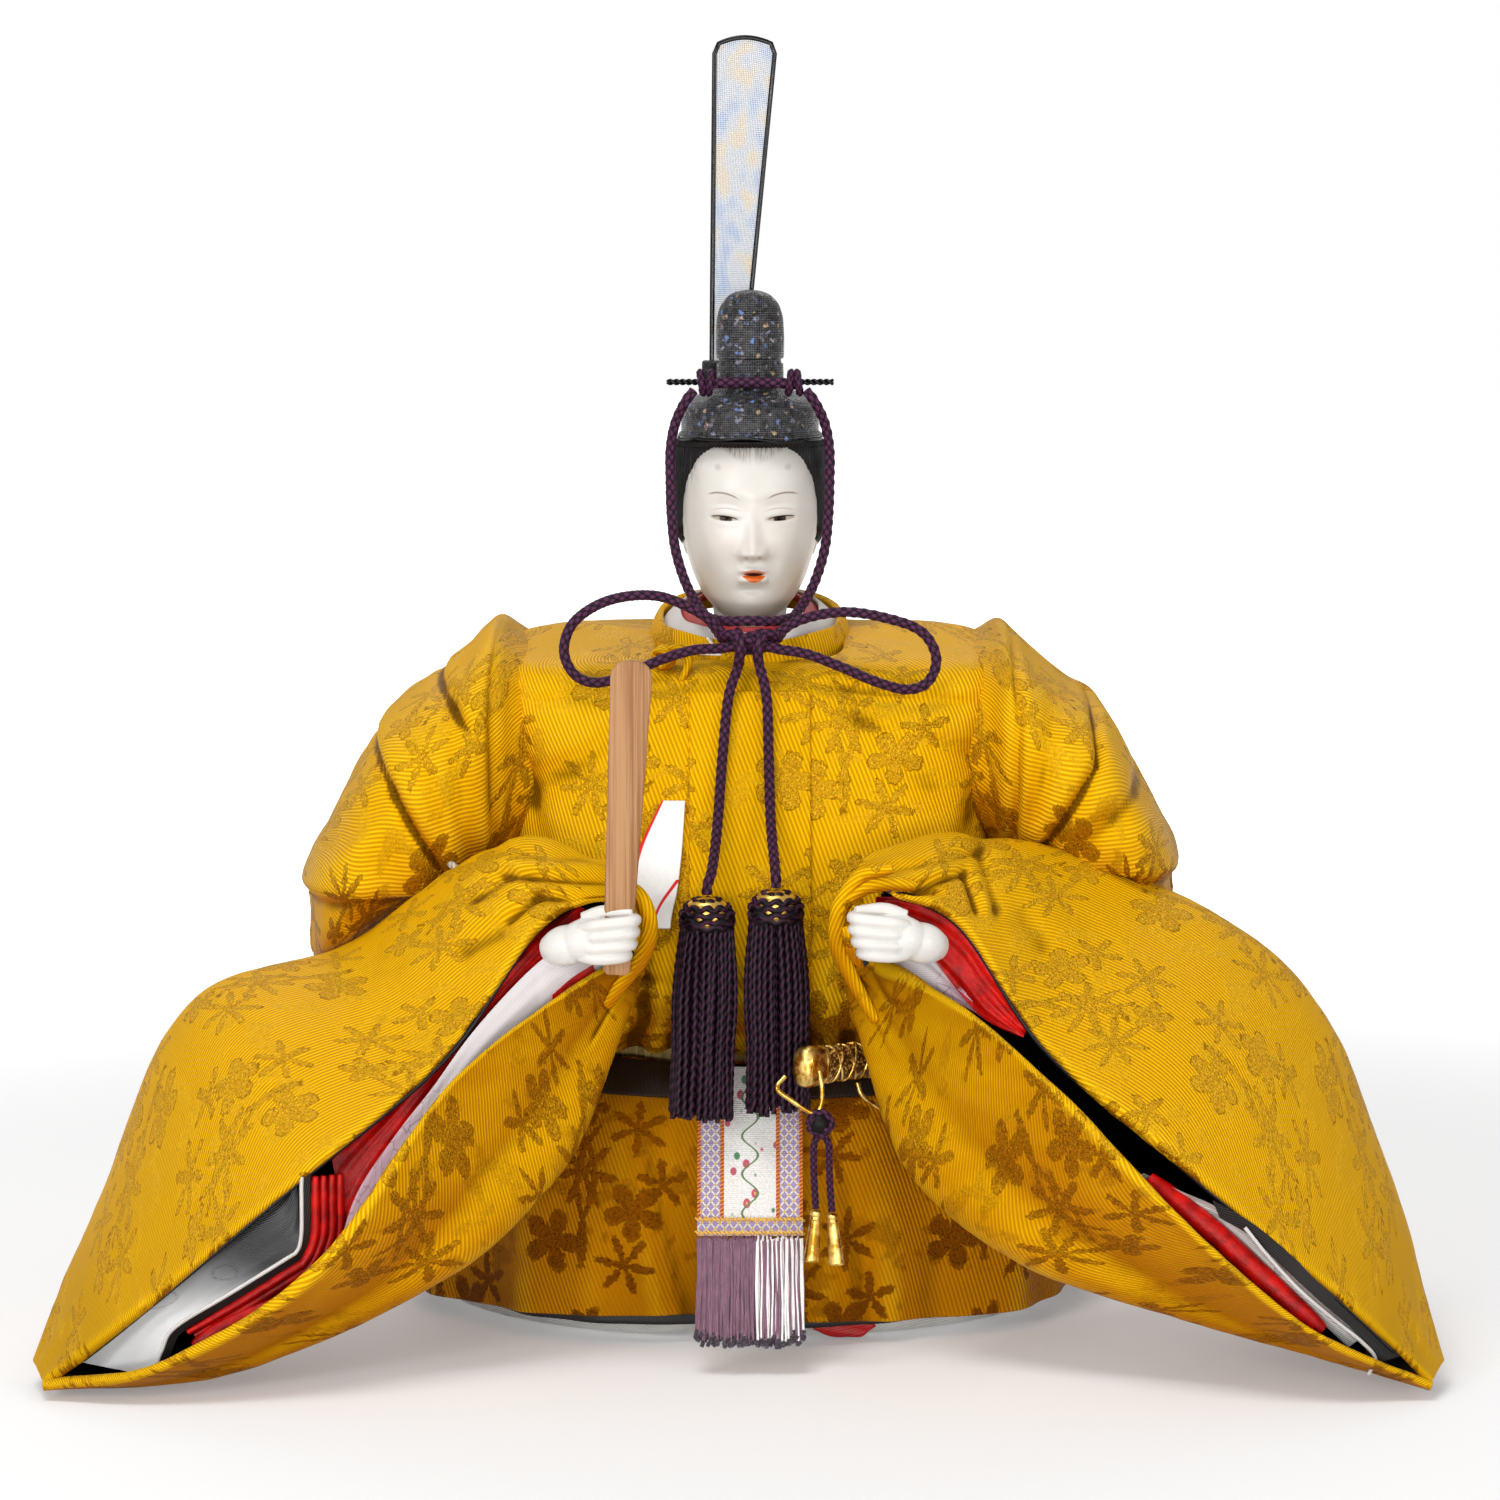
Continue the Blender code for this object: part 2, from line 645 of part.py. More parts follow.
def slit_roll(name, side, shares, span, rise, fat, mat):
    """A soft roll of cloth lying along the slit, behind both lips."""
    c = sleeve_columns(side, shares)
    rings = []
    for i in range(10):
        t = i / 9
        u = between(span[0], span[1], t)
        top, low = blend_row(c[0], u), blend_row(c[7], u)
        ahead = blend_row(c[7], min(u + 0.03, 1)) - blend_row(c[7], max(u - 0.03, 0))
        wide = (top - low).length * fat * max(0.25, math.sin(math.pi * between(0.08, 0.92, t)) ** 0.6)
        up = (top - low).normalized()
        back = up.cross(ahead).normalized() * side
        mid = low.lerp(top, rise) + back * (PAD_DEPTH + wide)
        rings.append([mid + up * (math.cos(a) * wide) + back * (math.sin(a) * wide * 0.8)
                      for a in (math.tau * k / 10 for k in range(10))])
    return lathe_body(name, rings, mat)


# hands: closed fists; the left one holds the flat sceptre

HAND_LONG = 16.4 * MM
HAND_TALL = 12.8 * MM
HAND_DEEP = 12.6 * MM
FINGERS = 4
HAND_left_shares = (-0.5728, 0.7909, 0.88)
HAND_right_shares = (0.5282, 0.7909, 0.885)


def fist(name, side, shares, holes):
    """A fist lying along X, knuckles outward, four fingers stacked at the front."""
    mid = arm_place(shares)
    rings = []
    for i in range(9):
        t = math.sin(math.pi * (i / 8 - 0.5))
        round_off = max(0.12, (1 - abs(t) ** 3.0)) ** 0.5
        ring = []
        for k in range(20):
            a = math.tau * k / 20
            c, s = math.cos(a), math.sin(a)
            r = (abs(c) ** 2.6 + abs(s) ** 2.6) ** (-1 / 2.6)
            z = s * r
            y = -c * r
            if c > 0.15:
                grooves = abs(math.sin(math.pi * FINGERS * (z * 0.5 + 0.5)))
                y *= 0.93 + 0.09 * grooves ** 0.6
            ring.append(mid + Vector((side * t * HAND_LONG / 2, y * HAND_DEEP / 2 * round_off,
                                      z * HAND_TALL / 2 * round_off)))
        rings.append(ring)
    obj = lathe_body(name, rings, SHELL_WHITE)
    for hole in holes:
        cut(obj, hole)
    return obj


SHAKU_LONG = 62.0 * MM
SHAKU_TOP = 8.2 * MM        # width at the shoulders of the rounded top
SHAKU_FOOT = 5.4 * MM
SHAKU_THICK = 1.8 * MM
SHAKU_SPREAD = 6.4 * MM     # width at the fist
SHAKU_foot_shares = (-0.5087, 0.7909, 0.81)
SHAKU_LEAN = math.radians(3.0)


def shaku(foot, turn, parent):
    """Outline from the foot up: chamfered foot, straight taper, round top."""
    bm = bmesh.new()
    half, chamfer = SHAKU_FOOT / 2, SHAKU_FOOT * 0.16
    right = [(half - chamfer, 0.0), (half, chamfer), (SHAKU_TOP / 2, SHAKU_LONG - SHAKU_TOP * 0.45)]
    for i in range(1, 7):
        a = math.pi / 2 * i / 7
        right.append((SHAKU_TOP / 2 * math.cos(a), SHAKU_LONG - SHAKU_TOP * 0.45 * (1 - math.sin(a))))
    outline = right + [(0.0, SHAKU_LONG)] + [(-x, z) for x, z in reversed(right)]
    rings = [[Vector((x, y, z)) for x, z in outline] for y in (-SHAKU_THICK / 2, SHAKU_THICK / 2)]
    for ring in rings:
        for p in ring:
            p.rotate(turn)
            p += foot
    stack(bm, rings)
    return join("shaku", bm, WOOD, parent)


# head

head_shares = (
    (0, 0.507, 0.448, 0.448),
    (0.006, 0.637, 0.764, 0.497),
    (0.07, 0.781, 0.885, 0.57),
    (0.16, 0.89, 0.939, 0.703),
    (0.26, 0.959, 0.97, 0.873),
    (0.34, 0.986, 0.982, 0.97),
    (0.43, 1, 0.988, 1.03),
    (0.53, 1, 0.982, 1.03),
    (0.64, 0.986, 0.964, 1.03),
    (0.76, 0.945, 0.909, 0.988),
    (0.86, 0.849, 0.8, 0.873),
    (0.93, 0.712, 0.667, 0.715),
    (0.98, 0.445, 0.436, 0.448),
    (1, 0.178, 0.182, 0.182))
NOSE_OUT = 2.2 * MM
NOSE_rise_share = 0.36
NOSE_WIDE = 2.3 * MM
LIP_OUT = 0.9 * MM
LIP_rise_share = 0.245


HEAD_STEPS = 20


def head_rings(grow=0.0):
    rings = []
    for z, w, f, b in head_shares:
        ring = oval(HEAD_RISE + HEAD_TALL * z + grow * (2 * z - 1), HEAD_HALF * w + grow,
                    HEAD_DEEP * f + grow, HEAD_DEEP * b + grow, HEAD_STEPS, 2.1)
        for p in ring:
            if p.y < 0 and z > 0.05:
                across = math.exp(-(p.x / NOSE_WIDE) ** 2)
                up = (z - NOSE_rise_share) / 0.10
                p.y -= NOSE_OUT * across * math.exp(-up * up)
                up = (z - LIP_rise_share) / 0.05
                p.y -= LIP_OUT * math.exp(-(p.x / NOSE_WIDE / 1.6) ** 2 - up * up)
        rings.append(ring)
    return rings


def head(parent):
    low = CORE_TOP - PEG_LONG
    neck = [oval(z, r, r, r, HEAD_STEPS) for z, r in
            ((low, PEG_RADIUS), (CORE_TOP + GAP, PEG_RADIUS),
             (CORE_TOP + GAP, NECK_RADIUS), (HEAD_RISE - GAP, NECK_RADIUS))]
    return lathe_body("head", neck + head_rings(), SHELL_WHITE, parent)


def peg_hole():
    r = PEG_RADIUS + GAP
    low = CORE_TOP - PEG_LONG - GAP
    return cutter("peg_hole", [oval(z, r, r, r, HEAD_STEPS) for z in (low, CORE_TOP + PEG_LONG)])


hair_shares = (
    (0.373, 1.027, 0.424, 1.03, -0.26),
    (0.422, 1.137, 0.545, 1.127, -0.24),
    (0.578, 1.158, 0.667, 1.164, -0.12),
    (0.747, 1.13, 0.727, 1.133, -0.02),
    (0.855, 1.096, 0.885, 1.091, 0),
    (0.899, 1.048, 0.903, 1.055, 0),
    (0.901, 0.849, 0.788, 0.812, 0),
    (0.976, 0.795, 0.739, 0.764, 0),
    (1.036, 0.616, 0.57, 0.582, 0),
    (1.06, 0.205, 0.194, 0.194, 0))


def hair(head_shape, parent):
    rings = [oval(HEAD_RISE + HEAD_TALL * z, HEAD_HALF * w, HEAD_DEEP * f, HEAD_DEEP * b,
                  HEAD_STEPS, 2.1, tilt) for z, w, f, b, tilt in hair_shares]
    obj = lathe_body("hair", rings, HAIR_BLACK, parent)
    cut(obj, head_shape)
    return obj


# crown: cap with its brim, dome, pin and upright tail

CAP_HALF = 14.5 * MM
CAP_FRONT = 15.6 * MM
CAP_WALL = 1.0 * MM
CAP_TALL = 10.9 * MM
DOME_HALF = 7.1 * MM
DOME_DEEP = 6.6 * MM
DOME_TALL = 19.6 * MM
cap_shares = ((0.00, 1.0), (0.06, 1.03), (0.12, 1.0), (0.56, 0.985), (0.74, 0.86), (0.93, 0.60), (1.0, 0.55))
dome_shares = (
    (0, 1),
    (0.214, 0.986),
    (0.23, 0.93),
    (0.265, 0.93),
    (0.281, 1),
    (0.51, 1.007),
    (0.714, 0.972),
    (0.857, 0.831),
    (0.949, 0.592),
    (0.99, 0.324),
    (1, 0.12))
CAP_REST = 37.4 * MM        # the brim above the chin


def crown_cap(parent):
    low = HEAD_RISE + CAP_REST + GAP
    rings = []
    for wall in (0.0, CAP_WALL):
        part = [oval(low + CAP_TALL * z, CAP_HALF * w - wall, CAP_FRONT * w - wall,
                     CAP_FRONT * w - wall, 20, 2.1) for z, w in cap_shares[:-1]]
        top = low + CAP_TALL - wall
        part.append(oval(top, CAP_HALF * cap_shares[-1][1] - 2 * CAP_WALL, CAP_FRONT * 0.5 - 2 * CAP_WALL,
                         CAP_FRONT * 0.5 - 2 * CAP_WALL, 20, 2.1))
        rings += part if not wall else part[::-1]
    return lathe_body("crown_cap", rings, BLACK_LACQUER, parent, closed=True)


DOME_LOW = HEAD_RISE + CAP_REST + CAP_TALL + 2 * GAP


PIN_LONG = 34.6 * MM
PIN_THICK = 1.3 * MM


def crown_pin(parent):
    y = -DOME_DEEP - GAP - PIN_THICK / 2
    z = DOME_LOW + PIN_THICK / 2
    path = [Vector((PIN_LONG * (i / 24 - 0.5), y, z)) for i in range(25)]
    return lathe_body("crown_pin", rod(path, PIN_THICK / 2, 4, 0.7), BLACK_LACQUER, parent)


CROWN_CORD_LONG = 21.0 * MM
KNOT_FAT = 1.7


def crown_cord(parent):
    """The braid across the front of the pin, thickened where it is tied to it."""
    y = -DOME_DEEP - 2 * GAP - PIN_THICK - CORD_THICK * KNOT_FAT / 2
    z = DOME_LOW + PIN_THICK / 2 + GAP
    path, radii = [], []
    for i in range(13):
        t = i / 12
        path.append(Vector((CROWN_CORD_LONG * (t - 0.5), y, z)))
        knot = math.exp(-((min(t, 1 - t) - 0.08) / 0.07) ** 2)
        radii.append(CORD_THICK / 2 * (1 + (KNOT_FAT - 1) * knot) * (0.75 if i in (0, 12) else 1))
    return lathe_body("crown_cord", rod(path, radii, 8), PURPLE_CORD, parent)


TAIL_FRAME_THICK = 1.0 * MM
TAIL_foot_shares = (-0.122, -0.012)      # of the tail's height, left and right at the foot
TAIL_head_shares = (-0.112, 0.082)
TAIL_apex_shares = (-0.020, 0.028)
TAIL_GAUZE = 0.4 * MM
TAIL_LEAN_BACK = DOME_DEEP + 1.4 * MM
TAIL_SINK = 3.0 * MM
TAIL_FOOT = DOME_LOW + 1.8 * MM


def tail_outline(inset):
    low, high = TAIL_FOOT + inset, TAIL_FOOT + TAIL_TALL - inset
    rise = TAIL_TALL * TAIL_apex_shares[1]
    f0, f1 = (TAIL_TALL * s for s in TAIL_foot_shares)
    h0, h1 = (TAIL_TALL * s for s in TAIL_head_shares)
    mid = TAIL_TALL * TAIL_apex_shares[0]
    pts = [(f0 + inset, low)]
    pts += [(between(f0, h0, t) + inset, between(low, high - rise, t)) for t in (0.33, 0.66, 0.98)]
    pts += [(between(h0 + inset, mid, 0.35), high - rise * 0.35), (mid, high),
            (between(h1 - inset, mid, 0.35), high - rise * 0.35)]
    pts += [(between(f1, h1, t) - inset, between(low, high - rise, t)) for t in (0.98, 0.66, 0.33)]
    pts += [(f1 - inset, low)]
    return [Vector((x, TAIL_LEAN_BACK, z)) for x, z in pts]


def tail_frame(parent):
    path = tail_outline(TAIL_FRAME_THICK / 2)
    rings = []
    for p, (side, up) in zip(path, frames(path, closed=True)):
        out = Vector((0, 1, 0))
        across = (side - out * side.dot(out)) if abs(side.y) < 0.7 else (up - out * up.dot(out))
        across.normalize()
        middle = sum(path, Vector()) / len(path)
        if across.dot(p - middle) < 0:
            across = -across
        r = TAIL_FRAME_THICK / 2
        rings.append([p + (across * math.cos(a) + out * math.sin(a)) * r
                      for a in (math.tau * k / 6 for k in range(6))])
    return lathe_body("tail_frame", rings, BLACK_LACQUER, parent, closed=True)


def tail_gauze(parent):
    edge = tail_outline(TAIL_FRAME_THICK + GAP)
    rings = [[p + Vector((0, d, 0)) for p in edge] for d in (-TAIL_GAUZE / 2, TAIL_GAUZE / 2)]
    return lathe_body("tail_gauze", rings, GAUZE, parent)


SOCKET_WALL = 1.2 * MM


def crown_dome(parent):
    """The dome, with the slotted holder of the tail at its back."""
    rings = [oval(DOME_LOW + DOME_TALL * z, DOME_HALF * w, DOME_DEEP * w, DOME_DEEP * w, 18, 2.2)
             for z, w in dome_shares]
    obj = lathe_body("crown_dome", rings, BLACK_LACQUER, parent)
    f0, f1 = (TAIL_TALL * s for s in TAIL_foot_shares)
    half = (f1 - f0) / 2 + SOCKET_WALL + GAP
    deep = TAIL_FRAME_THICK / 2 + GAP + SOCKET_WALL
    tall = TAIL_SINK + SOCKET_WALL
    mid = Vector(((f0 + f1) / 2, TAIL_LEAN_BACK, TAIL_FOOT - GAP - SOCKET_WALL + tall / 2))
    holder = cutter("tail_holder", block(half, deep, tall, mid))
    fuse = obj.modifiers.new("holder", "BOOLEAN")
    fuse.operation = "UNION"
    fuse.solver = "EXACT"
    fuse.object = holder
    cut(obj, cutter("tail_slot", block(half - SOCKET_WALL, deep - SOCKET_WALL, tall,
                                       mid + Vector((0, 0, SOCKET_WALL)))))
    return obj


# chin braid: cheek cords, knot, bow loops and the two hanging cords

CHEEK_left_mm = ((-11.6, -10.9, 192.0), (-13.6, -11.2, 189.4), (-15.6, -9.6, 185.0), (-16.6, -9.4, 179.5),
                 (-16.6, -10.4, 173.0), (-16.4, -11.0, 166.5), (-15.6, -12.0, 159.0), (-13.4, -14.4, 152.0),
                 (-10.6, -19.0, 147.4), (-8.2, -25.4, 145.0), (-5.5, -32.9, 141.9))
CHEEK_right_mm = tuple((-x, y, z) for x, y, z in CHEEK_left_mm)
LOOP_left_mm = ((-5.7, -34.9, 143.5), (-10.2, -36.0, 147.6), (-19.0, -36.6, 151.2), (-28.6, -37.0, 150.4),
                (-35.7, -37.4, 146.2), (-38.0, -37.8, 140.4), (-36.0, -38.2, 135.4), (-31.5, -38.6, 133.6),
                (-25.2, -38.8, 135.2), (-18.4, -38.4, 138.2), (-11.6, -37.8, 140.2), (-6.1, -36.4, 140.0))
LOOP_right_mm = ((5.6, -34.9, 143.5), (10.8, -36.0, 146.4), (18.6, -36.6, 147.9), (26.6, -37.0, 147.0),
                 (34.7, -37.4, 144.2), (38.0, -37.8, 139.0), (36.6, -38.2, 134.0), (32.2, -38.6, 132.2),
                 (25.8, -38.8, 133.8), (18.4, -38.4, 136.9), (11.6, -37.8, 139.4), (6.1, -36.4, 140.0))
HANG_left_mm = ((-2.4, -36.4, 136.8), (-4.4, -39.6, 130.6), (-5.6, -45.4, 119.0), (-6.6, -53.6, 106.0),
                (-7.6, -61.6, 98.4), (-8.5, -64.3, 95.6), (-8.6, -64.4, 93.6))
HANG_right_mm = ((1.8, -36.9, 137.5), (3.4, -40.2, 130.6), (3.8, -45.6, 119.0), (4.2, -53.6, 107.0),
                 (4.9, -61.6, 99.8), (5.2, -64.3, 97.0), (5.2, -64.4, 95.0))
KNOT_mm = ((0.0, -35.0, 141.0),)
KNOT_HALF = 5.2 * MM
KNOT_DEEP = 3.0 * MM
KNOT_TALL = 3.6 * MM


def chin_knot(parent):
    mid = route(KNOT_mm)[0]
    rings = []
    for i in range(11):
        t = math.sin(math.pi / 2 * (i / 5 - 1))
        swell = max(0.35, (1 - t ** 4)) ** 0.5 * (1 + 0.08 * math.cos(i * math.pi / 2))
        rings.append([mid + Vector((t * KNOT_HALF, math.cos(a) * KNOT_DEEP * swell,
                                    math.sin(a) * KNOT_TALL * swell))
                      for a in (math.tau * k / 12 for k in range(12))])
    return lathe_body("chin_knot", rings, PURPLE_CORD, parent)


TASSEL_HEAD_TALL = 6.4 * MM
TASSEL_HEAD_TOP = 2.9 * MM
TASSEL_HEAD_LOW = 5.3 * MM
TASSEL_HALF = 6.3 * MM
TASSEL_DEEP = 4.2 * MM
TASSEL_LONG = 38.0 * MM
TASSEL_STRANDS = 12
TASSEL_SWAY = 0.6 * MM


def tassel_head(name, top, parent):
    shape = ((0.0, 0.60), (0.08, 1.0), (0.30, 1.12), (0.9, 1.0), (1.0, 0.94))
    rings = []
    for t, w in shape:
        half = between(TASSEL_HEAD_TOP, TASSEL_HEAD_LOW, t) * w
        rings.append([Vector((top.x, top.y, 0)) + p for p in
                      oval(top.z - TASSEL_HEAD_TALL * t, half, half * 0.8, half * 0.8, 16)])
    return lathe_body(name, rings, PURPLE_CORD, parent)


def tassel_skirt(name, top, sway, parent):
    rings = []
    for i in range(4):
        t = (i / 3) ** 1.6
        half = TASSEL_HALF * between(0.80, 1.0, min(1.0, t * 3) ** 0.6)
        deep = TASSEL_DEEP * between(0.90, 1.0, t)
        mid = Vector((top.x + sway * t, top.y, 0))
        ring = []
        for k in range(TASSEL_STRANDS * 4):
            a = math.tau * k / (TASSEL_STRANDS * 4)
            flute = 1 + 0.09 * math.cos(TASSEL_STRANDS * a)
            ring.append(mid + Vector((half * flute * math.cos(a), deep * flute * math.sin(a),
                                      top.z - TASSEL_LONG * t)))
        rings.append(ring)
    return lathe_body(name, rings, PURPLE_CORD, parent)


# collars

COLLAR_TILT = 0.22
collar_shares = (
    (1.012, 1.467, 1.697, 1.188),
    (1.055, 1.33, 1.588, 1.102))
WHITE_COLLAR_shares = (
    (1.016, 1.33, 1.575, 1.08),
    (1.06, 1.136, 1.395, 1.006))
RED_COLLAR_shares = (
    (1.021, 1.22, 1.466, 0.983),
    (1.063, 0.959, 1.235, 0.886))


def collar(name, shares, thick, mat):
    rings = []
    for wall in (0.0, thick):
        part = [oval(BODY_RISE * z, HEAD_HALF * w - wall, HEAD_DEEP * f - wall, HEAD_DEEP * b - wall,
                     30, 2.1, COLLAR_TILT) for z, w, f, b in shares]
        rings += part if not wall else part[::-1]
    return lathe_body(name, rings, mat, closed=True)


BUTTON_RADIUS = 2.3 * MM
BUTTON_place_shares = (-0.3456, 0.4232, 0.9822)     # of the bodice: half width, front and rise


def collar_button():
    x, y, z = BUTTON_place_shares
    mid = Vector((BODY_HALF * x, -BODY_FRONT * y, BODY_RISE * z))
    rings = []
    for i in range(7):
        a = math.pi * (i + 0.35) / 6.7
        rings.append([mid + Vector((math.sin(a) * math.cos(b), math.sin(a) * math.sin(b), -math.cos(a)))
                      * BUTTON_RADIUS * (1 + 0.07 * math.cos(3 * b + 2 * a))
                      for b in (math.tau * k / 12 for k in range(12))])
    return lathe_body("collar_button", rings, GOLD_SILK)


# folded paper in the front of the robe

PAPER_TALL = 25.0 * MM
PAPER_WIDE = 10.5 * MM
PAPER_THICK = 1.2 * MM
PAPER_LOW = 85.5 * MM
PAPER_RIGHT = -13.2 * MM
paper_shares = ((0.00, -0.38, -0.24), (0.10, -0.62, -0.20), (0.38, -1.00, -0.12),
                (0.66, -0.92, -0.06), (1.0, -0.46, 0.0))


def folded_paper():
    rows = []
    for z, left, right in paper_shares:
        h = PAPER_LOW + PAPER_TALL * z
        row = []
        for k in range(4):
            x = PAPER_RIGHT + PAPER_WIDE * between(left, right, k / 3)
            row.append(Vector((x, -bodice_front(x, h) - LOOSE - PAPER_THICK, h)))
        rows.append(row)
    return cloth("folded_paper", rows, PAPER_THICK, PAPER)


# waist strap with its fringe and clear film

STRAP_HALF = 10.6 * MM
STRAP_THICK = 1.4 * MM
# of the skirt: front and waist
STRAP_route_shares = (
    (0.91, 1), (0.953, 0.877), (1.043, 0.737), (1.133, 0.596), (1.21, 0.456))
FRINGE_route_shares = (
    (1.215, 0.444), (1.26, 0.368), (1.31, 0.281), (1.353, 0.193), (1.383, 0.123))


def strap_line(shares):
    return [Vector((0, -SKIRT_FRONT * y, WAIST_RISE * z)) for y, z in shares]


def strap(parent):
    path = even(strap_line(STRAP_route_shares), 9)
    rows = [[p + Vector((STRAP_HALF * (k / 3 - 1), 0, 0)) for k in range(7)] for p in path]
    return cloth("waist_strap", rows, STRAP_THICK, LILAC, parent, offset=0)


FRINGE_STRANDS = 13
FRINGE_FLUTE = 0.17 * MM


def fringe(parent):
    """A flat bundle of threads, thicker towards its end."""
    rings = []
    line = strap_line(FRINGE_route_shares)
    for i in range(4):
        t = i / 3
        p = blend_row(line, t)
        ahead = (blend_row(line, min(t + 0.02, 1)) - blend_row(line, max(t - 0.02, 0))).normalized()
        out = Vector((1, 0, 0)).cross(ahead).normalized()
        fat = STRAP_THICK * (1.0 + 1.6 * t)
        ring = []
        for k in range(FRINGE_STRANDS * 4):
            a = math.tau * k / (FRINGE_STRANDS * 4)
            c, s = math.cos(a), math.sin(a)
            r = (abs(c) ** 4 + abs(s) ** 4) ** -0.25
            flute = FRINGE_FLUTE * math.cos(FRINGE_STRANDS * a)
            ring.append(p + Vector((c * r * (STRAP_HALF * (1 - 0.06 * t) + flute), 0, 0))
                        + out * (s * r * (fat + flute)))
        rings.append(ring)
    return lathe_body("strap_fringe", rings, FRINGE_MAUVE, parent)


# sword under the right sleeve

SWORD_place_shares = (0.1333, 1.2533, 1.0596)    # of the skirt: half width, front and waist
SWORD_TURN = math.radians(45)
SWORD_DROP = math.radians(-2.0)
POMMEL_LONG = 7.0 * MM
POMMEL_TALL = 8.2 * MM
GRIP_LONG = 26.0 * MM
GRIP_TALL = 7.0 * MM
GRIP_THICK = 4.2 * MM
GUARD_LONG = 1.6 * MM
SCABBARD_LONG = 58.0 * MM
SCABBARD_TALL = 6.4 * MM
SCABBARD_THICK = 4.0 * MM


def sword_place():
    x, y, z = SWORD_place_shares
    return Vector((SKIRT_HALF * x, -SKIRT_FRONT * y, WAIST_RISE * z))


def sword_axis():
    return Vector((math.cos(SWORD_TURN), math.sin(SWORD_TURN), SWORD_DROP)).normalized()


def sword_rings(stations, sides=16):
    """Rings along the sword; each station is (distance, height, thickness)."""
    ahead = sword_axis()
    side = ahead.cross(Vector((0, 0, 1))).normalized()
    up = side.cross(ahead)
    start = sword_place()
    return [[start + ahead * d + up * (math.sin(a) * tall / 2) + side * (math.cos(a) * thick / 2)
             for a in (math.tau * k / sides for k in range(sides))] for d, tall, thick in stations]


def pommel(parent):
    t = GRIP_THICK * 1.25
    return lathe_body("sword_pommel", sword_rings(
        [(POMMEL_LONG * s, POMMEL_TALL * h, t * h) for s, h in
         ((-0.5, 0.35), (-0.44, 0.66), (-0.3, 0.88), (-0.05, 1.0), (0.3, 0.98), (0.5, 0.88))]), GILT, parent)


def grip(parent):
    d = POMMEL_LONG / 2 + GAP
    return lathe_body("sword_grip", sword_rings(
        [(d + GRIP_LONG * s, GRIP_TALL * h, GRIP_THICK * h) for s, h in
         ((0, 0.94), (0.06, 0.98), (0.35, 0.90), (0.65, 0.92), (0.94, 1.0), (1.0, 0.96))]), RAYSKIN, parent)


def scabbard(parent):
    d = POMMEL_LONG / 2 + GRIP_LONG + 2 * GAP
    return lathe_body("sword_scabbard", sword_rings(
        [(d, GRIP_TALL * 1.2, GRIP_THICK * 1.5), (d + GUARD_LONG, GRIP_TALL * 1.2, GRIP_THICK * 1.5),
         (d + GUARD_LONG, SCABBARD_TALL, SCABBARD_THICK),
         (d + SCABBARD_LONG * 0.9, SCABBARD_TALL * 0.86, SCABBARD_THICK * 0.86),
         (d + SCABBARD_LONG, SCABBARD_TALL * 0.5, SCABBARD_THICK * 0.5)]), BLACK_LACQUER, parent)


SLING_LONG = 5.0 * MM
SLING_WALL = 1.2 * MM
SLING_at_share = 0.30
SLING_seat_share = 0.7833   # of the skirt's half width: middle of the doll to the robe, square to the sword


def sword_sling():
    """Hanger from the robe to the scabbard, out of sight under the sleeve."""
    d = POMMEL_LONG / 2 + GRIP_LONG + GUARD_LONG + SCABBARD_LONG * SLING_at_share
    ahead = sword_axis()
    side = ahead.cross(Vector((0, 0, 1))).normalized()
    up = side.cross(ahead)
    mid = sword_place() + ahead * d
    near = mid.dot(side) - SKIRT_HALF * SLING_seat_share
    far = SCABBARD_THICK / 2 + GAP + SLING_WALL
    high = SCABBARD_TALL / 2 + GAP + SLING_WALL
    corners = ((-near, -high), (far, -high), (far, high), (-near, high))
    rings = [[mid + ahead * x + side * y + up * z for y, z in corners] for x in (-SLING_LONG / 2, SLING_LONG / 2)]
    bm = bmesh.new()
    stack(bm, rings)
    obj = join("sword_sling", bm, BLACK_SILK)
    tall, thick = SCABBARD_TALL + 2 * GAP, SCABBARD_THICK + 2 * GAP
    cut(obj, cutter("sling_bore", sword_rings([(d - SLING_LONG, tall, thick), (d + SLING_LONG, tall, thick)])))
    return obj


WIRE_LOOP_THICK = 0.9 * MM
# of the pommel's height, from its middle
WIRE_LOOP_shares = (
    (-0.329, -0.39, -0.146), (-0.512, -0.573, -0.415), (-0.122, -0.585, -0.732), (0.268, -0.512, -1),
    (0.463, -0.463, -1), (0.561, -0.439, -0.732), (0.561, -0.415, -0.366), (0.512, -0.317, -0.024))
DROP_KNOT_mm = ((13.8, -79.0, 49.9),)
DROP_KNOT_HALF = 2.6 * MM
DROP_mm = ((13.1, -79.0, 32.6), (12.8, -79.0, 37.0), (12.6, -79.0, 42.0), (12.7, -79.0, 45.6),
           (13.3, -79.0, 47.0), (14.2, -79.0, 47.4), (15.0, -79.0, 46.9), (15.6, -79.0, 45.5),
           (15.7, -79.0, 42.0), (15.9, -79.0, 37.0), (16.3, -79.0, 32.0))
DROP_THICK = 1.5 * MM
TIP_LONG = 10.4 * MM
TIP_TOP = 2.2 * MM
TIP_LOW = 3.4 * MM
TIP_LEAN = 0.9 * MM


def wire_loop(parent):
    path = [sword_place() + Vector(p) * POMMEL_TALL for p in WIRE_LOOP_shares]
    return lathe_body("sword_wire_loop", rod(even(path, 18), WIRE_LOOP_THICK / 2, 6), GILT, parent)


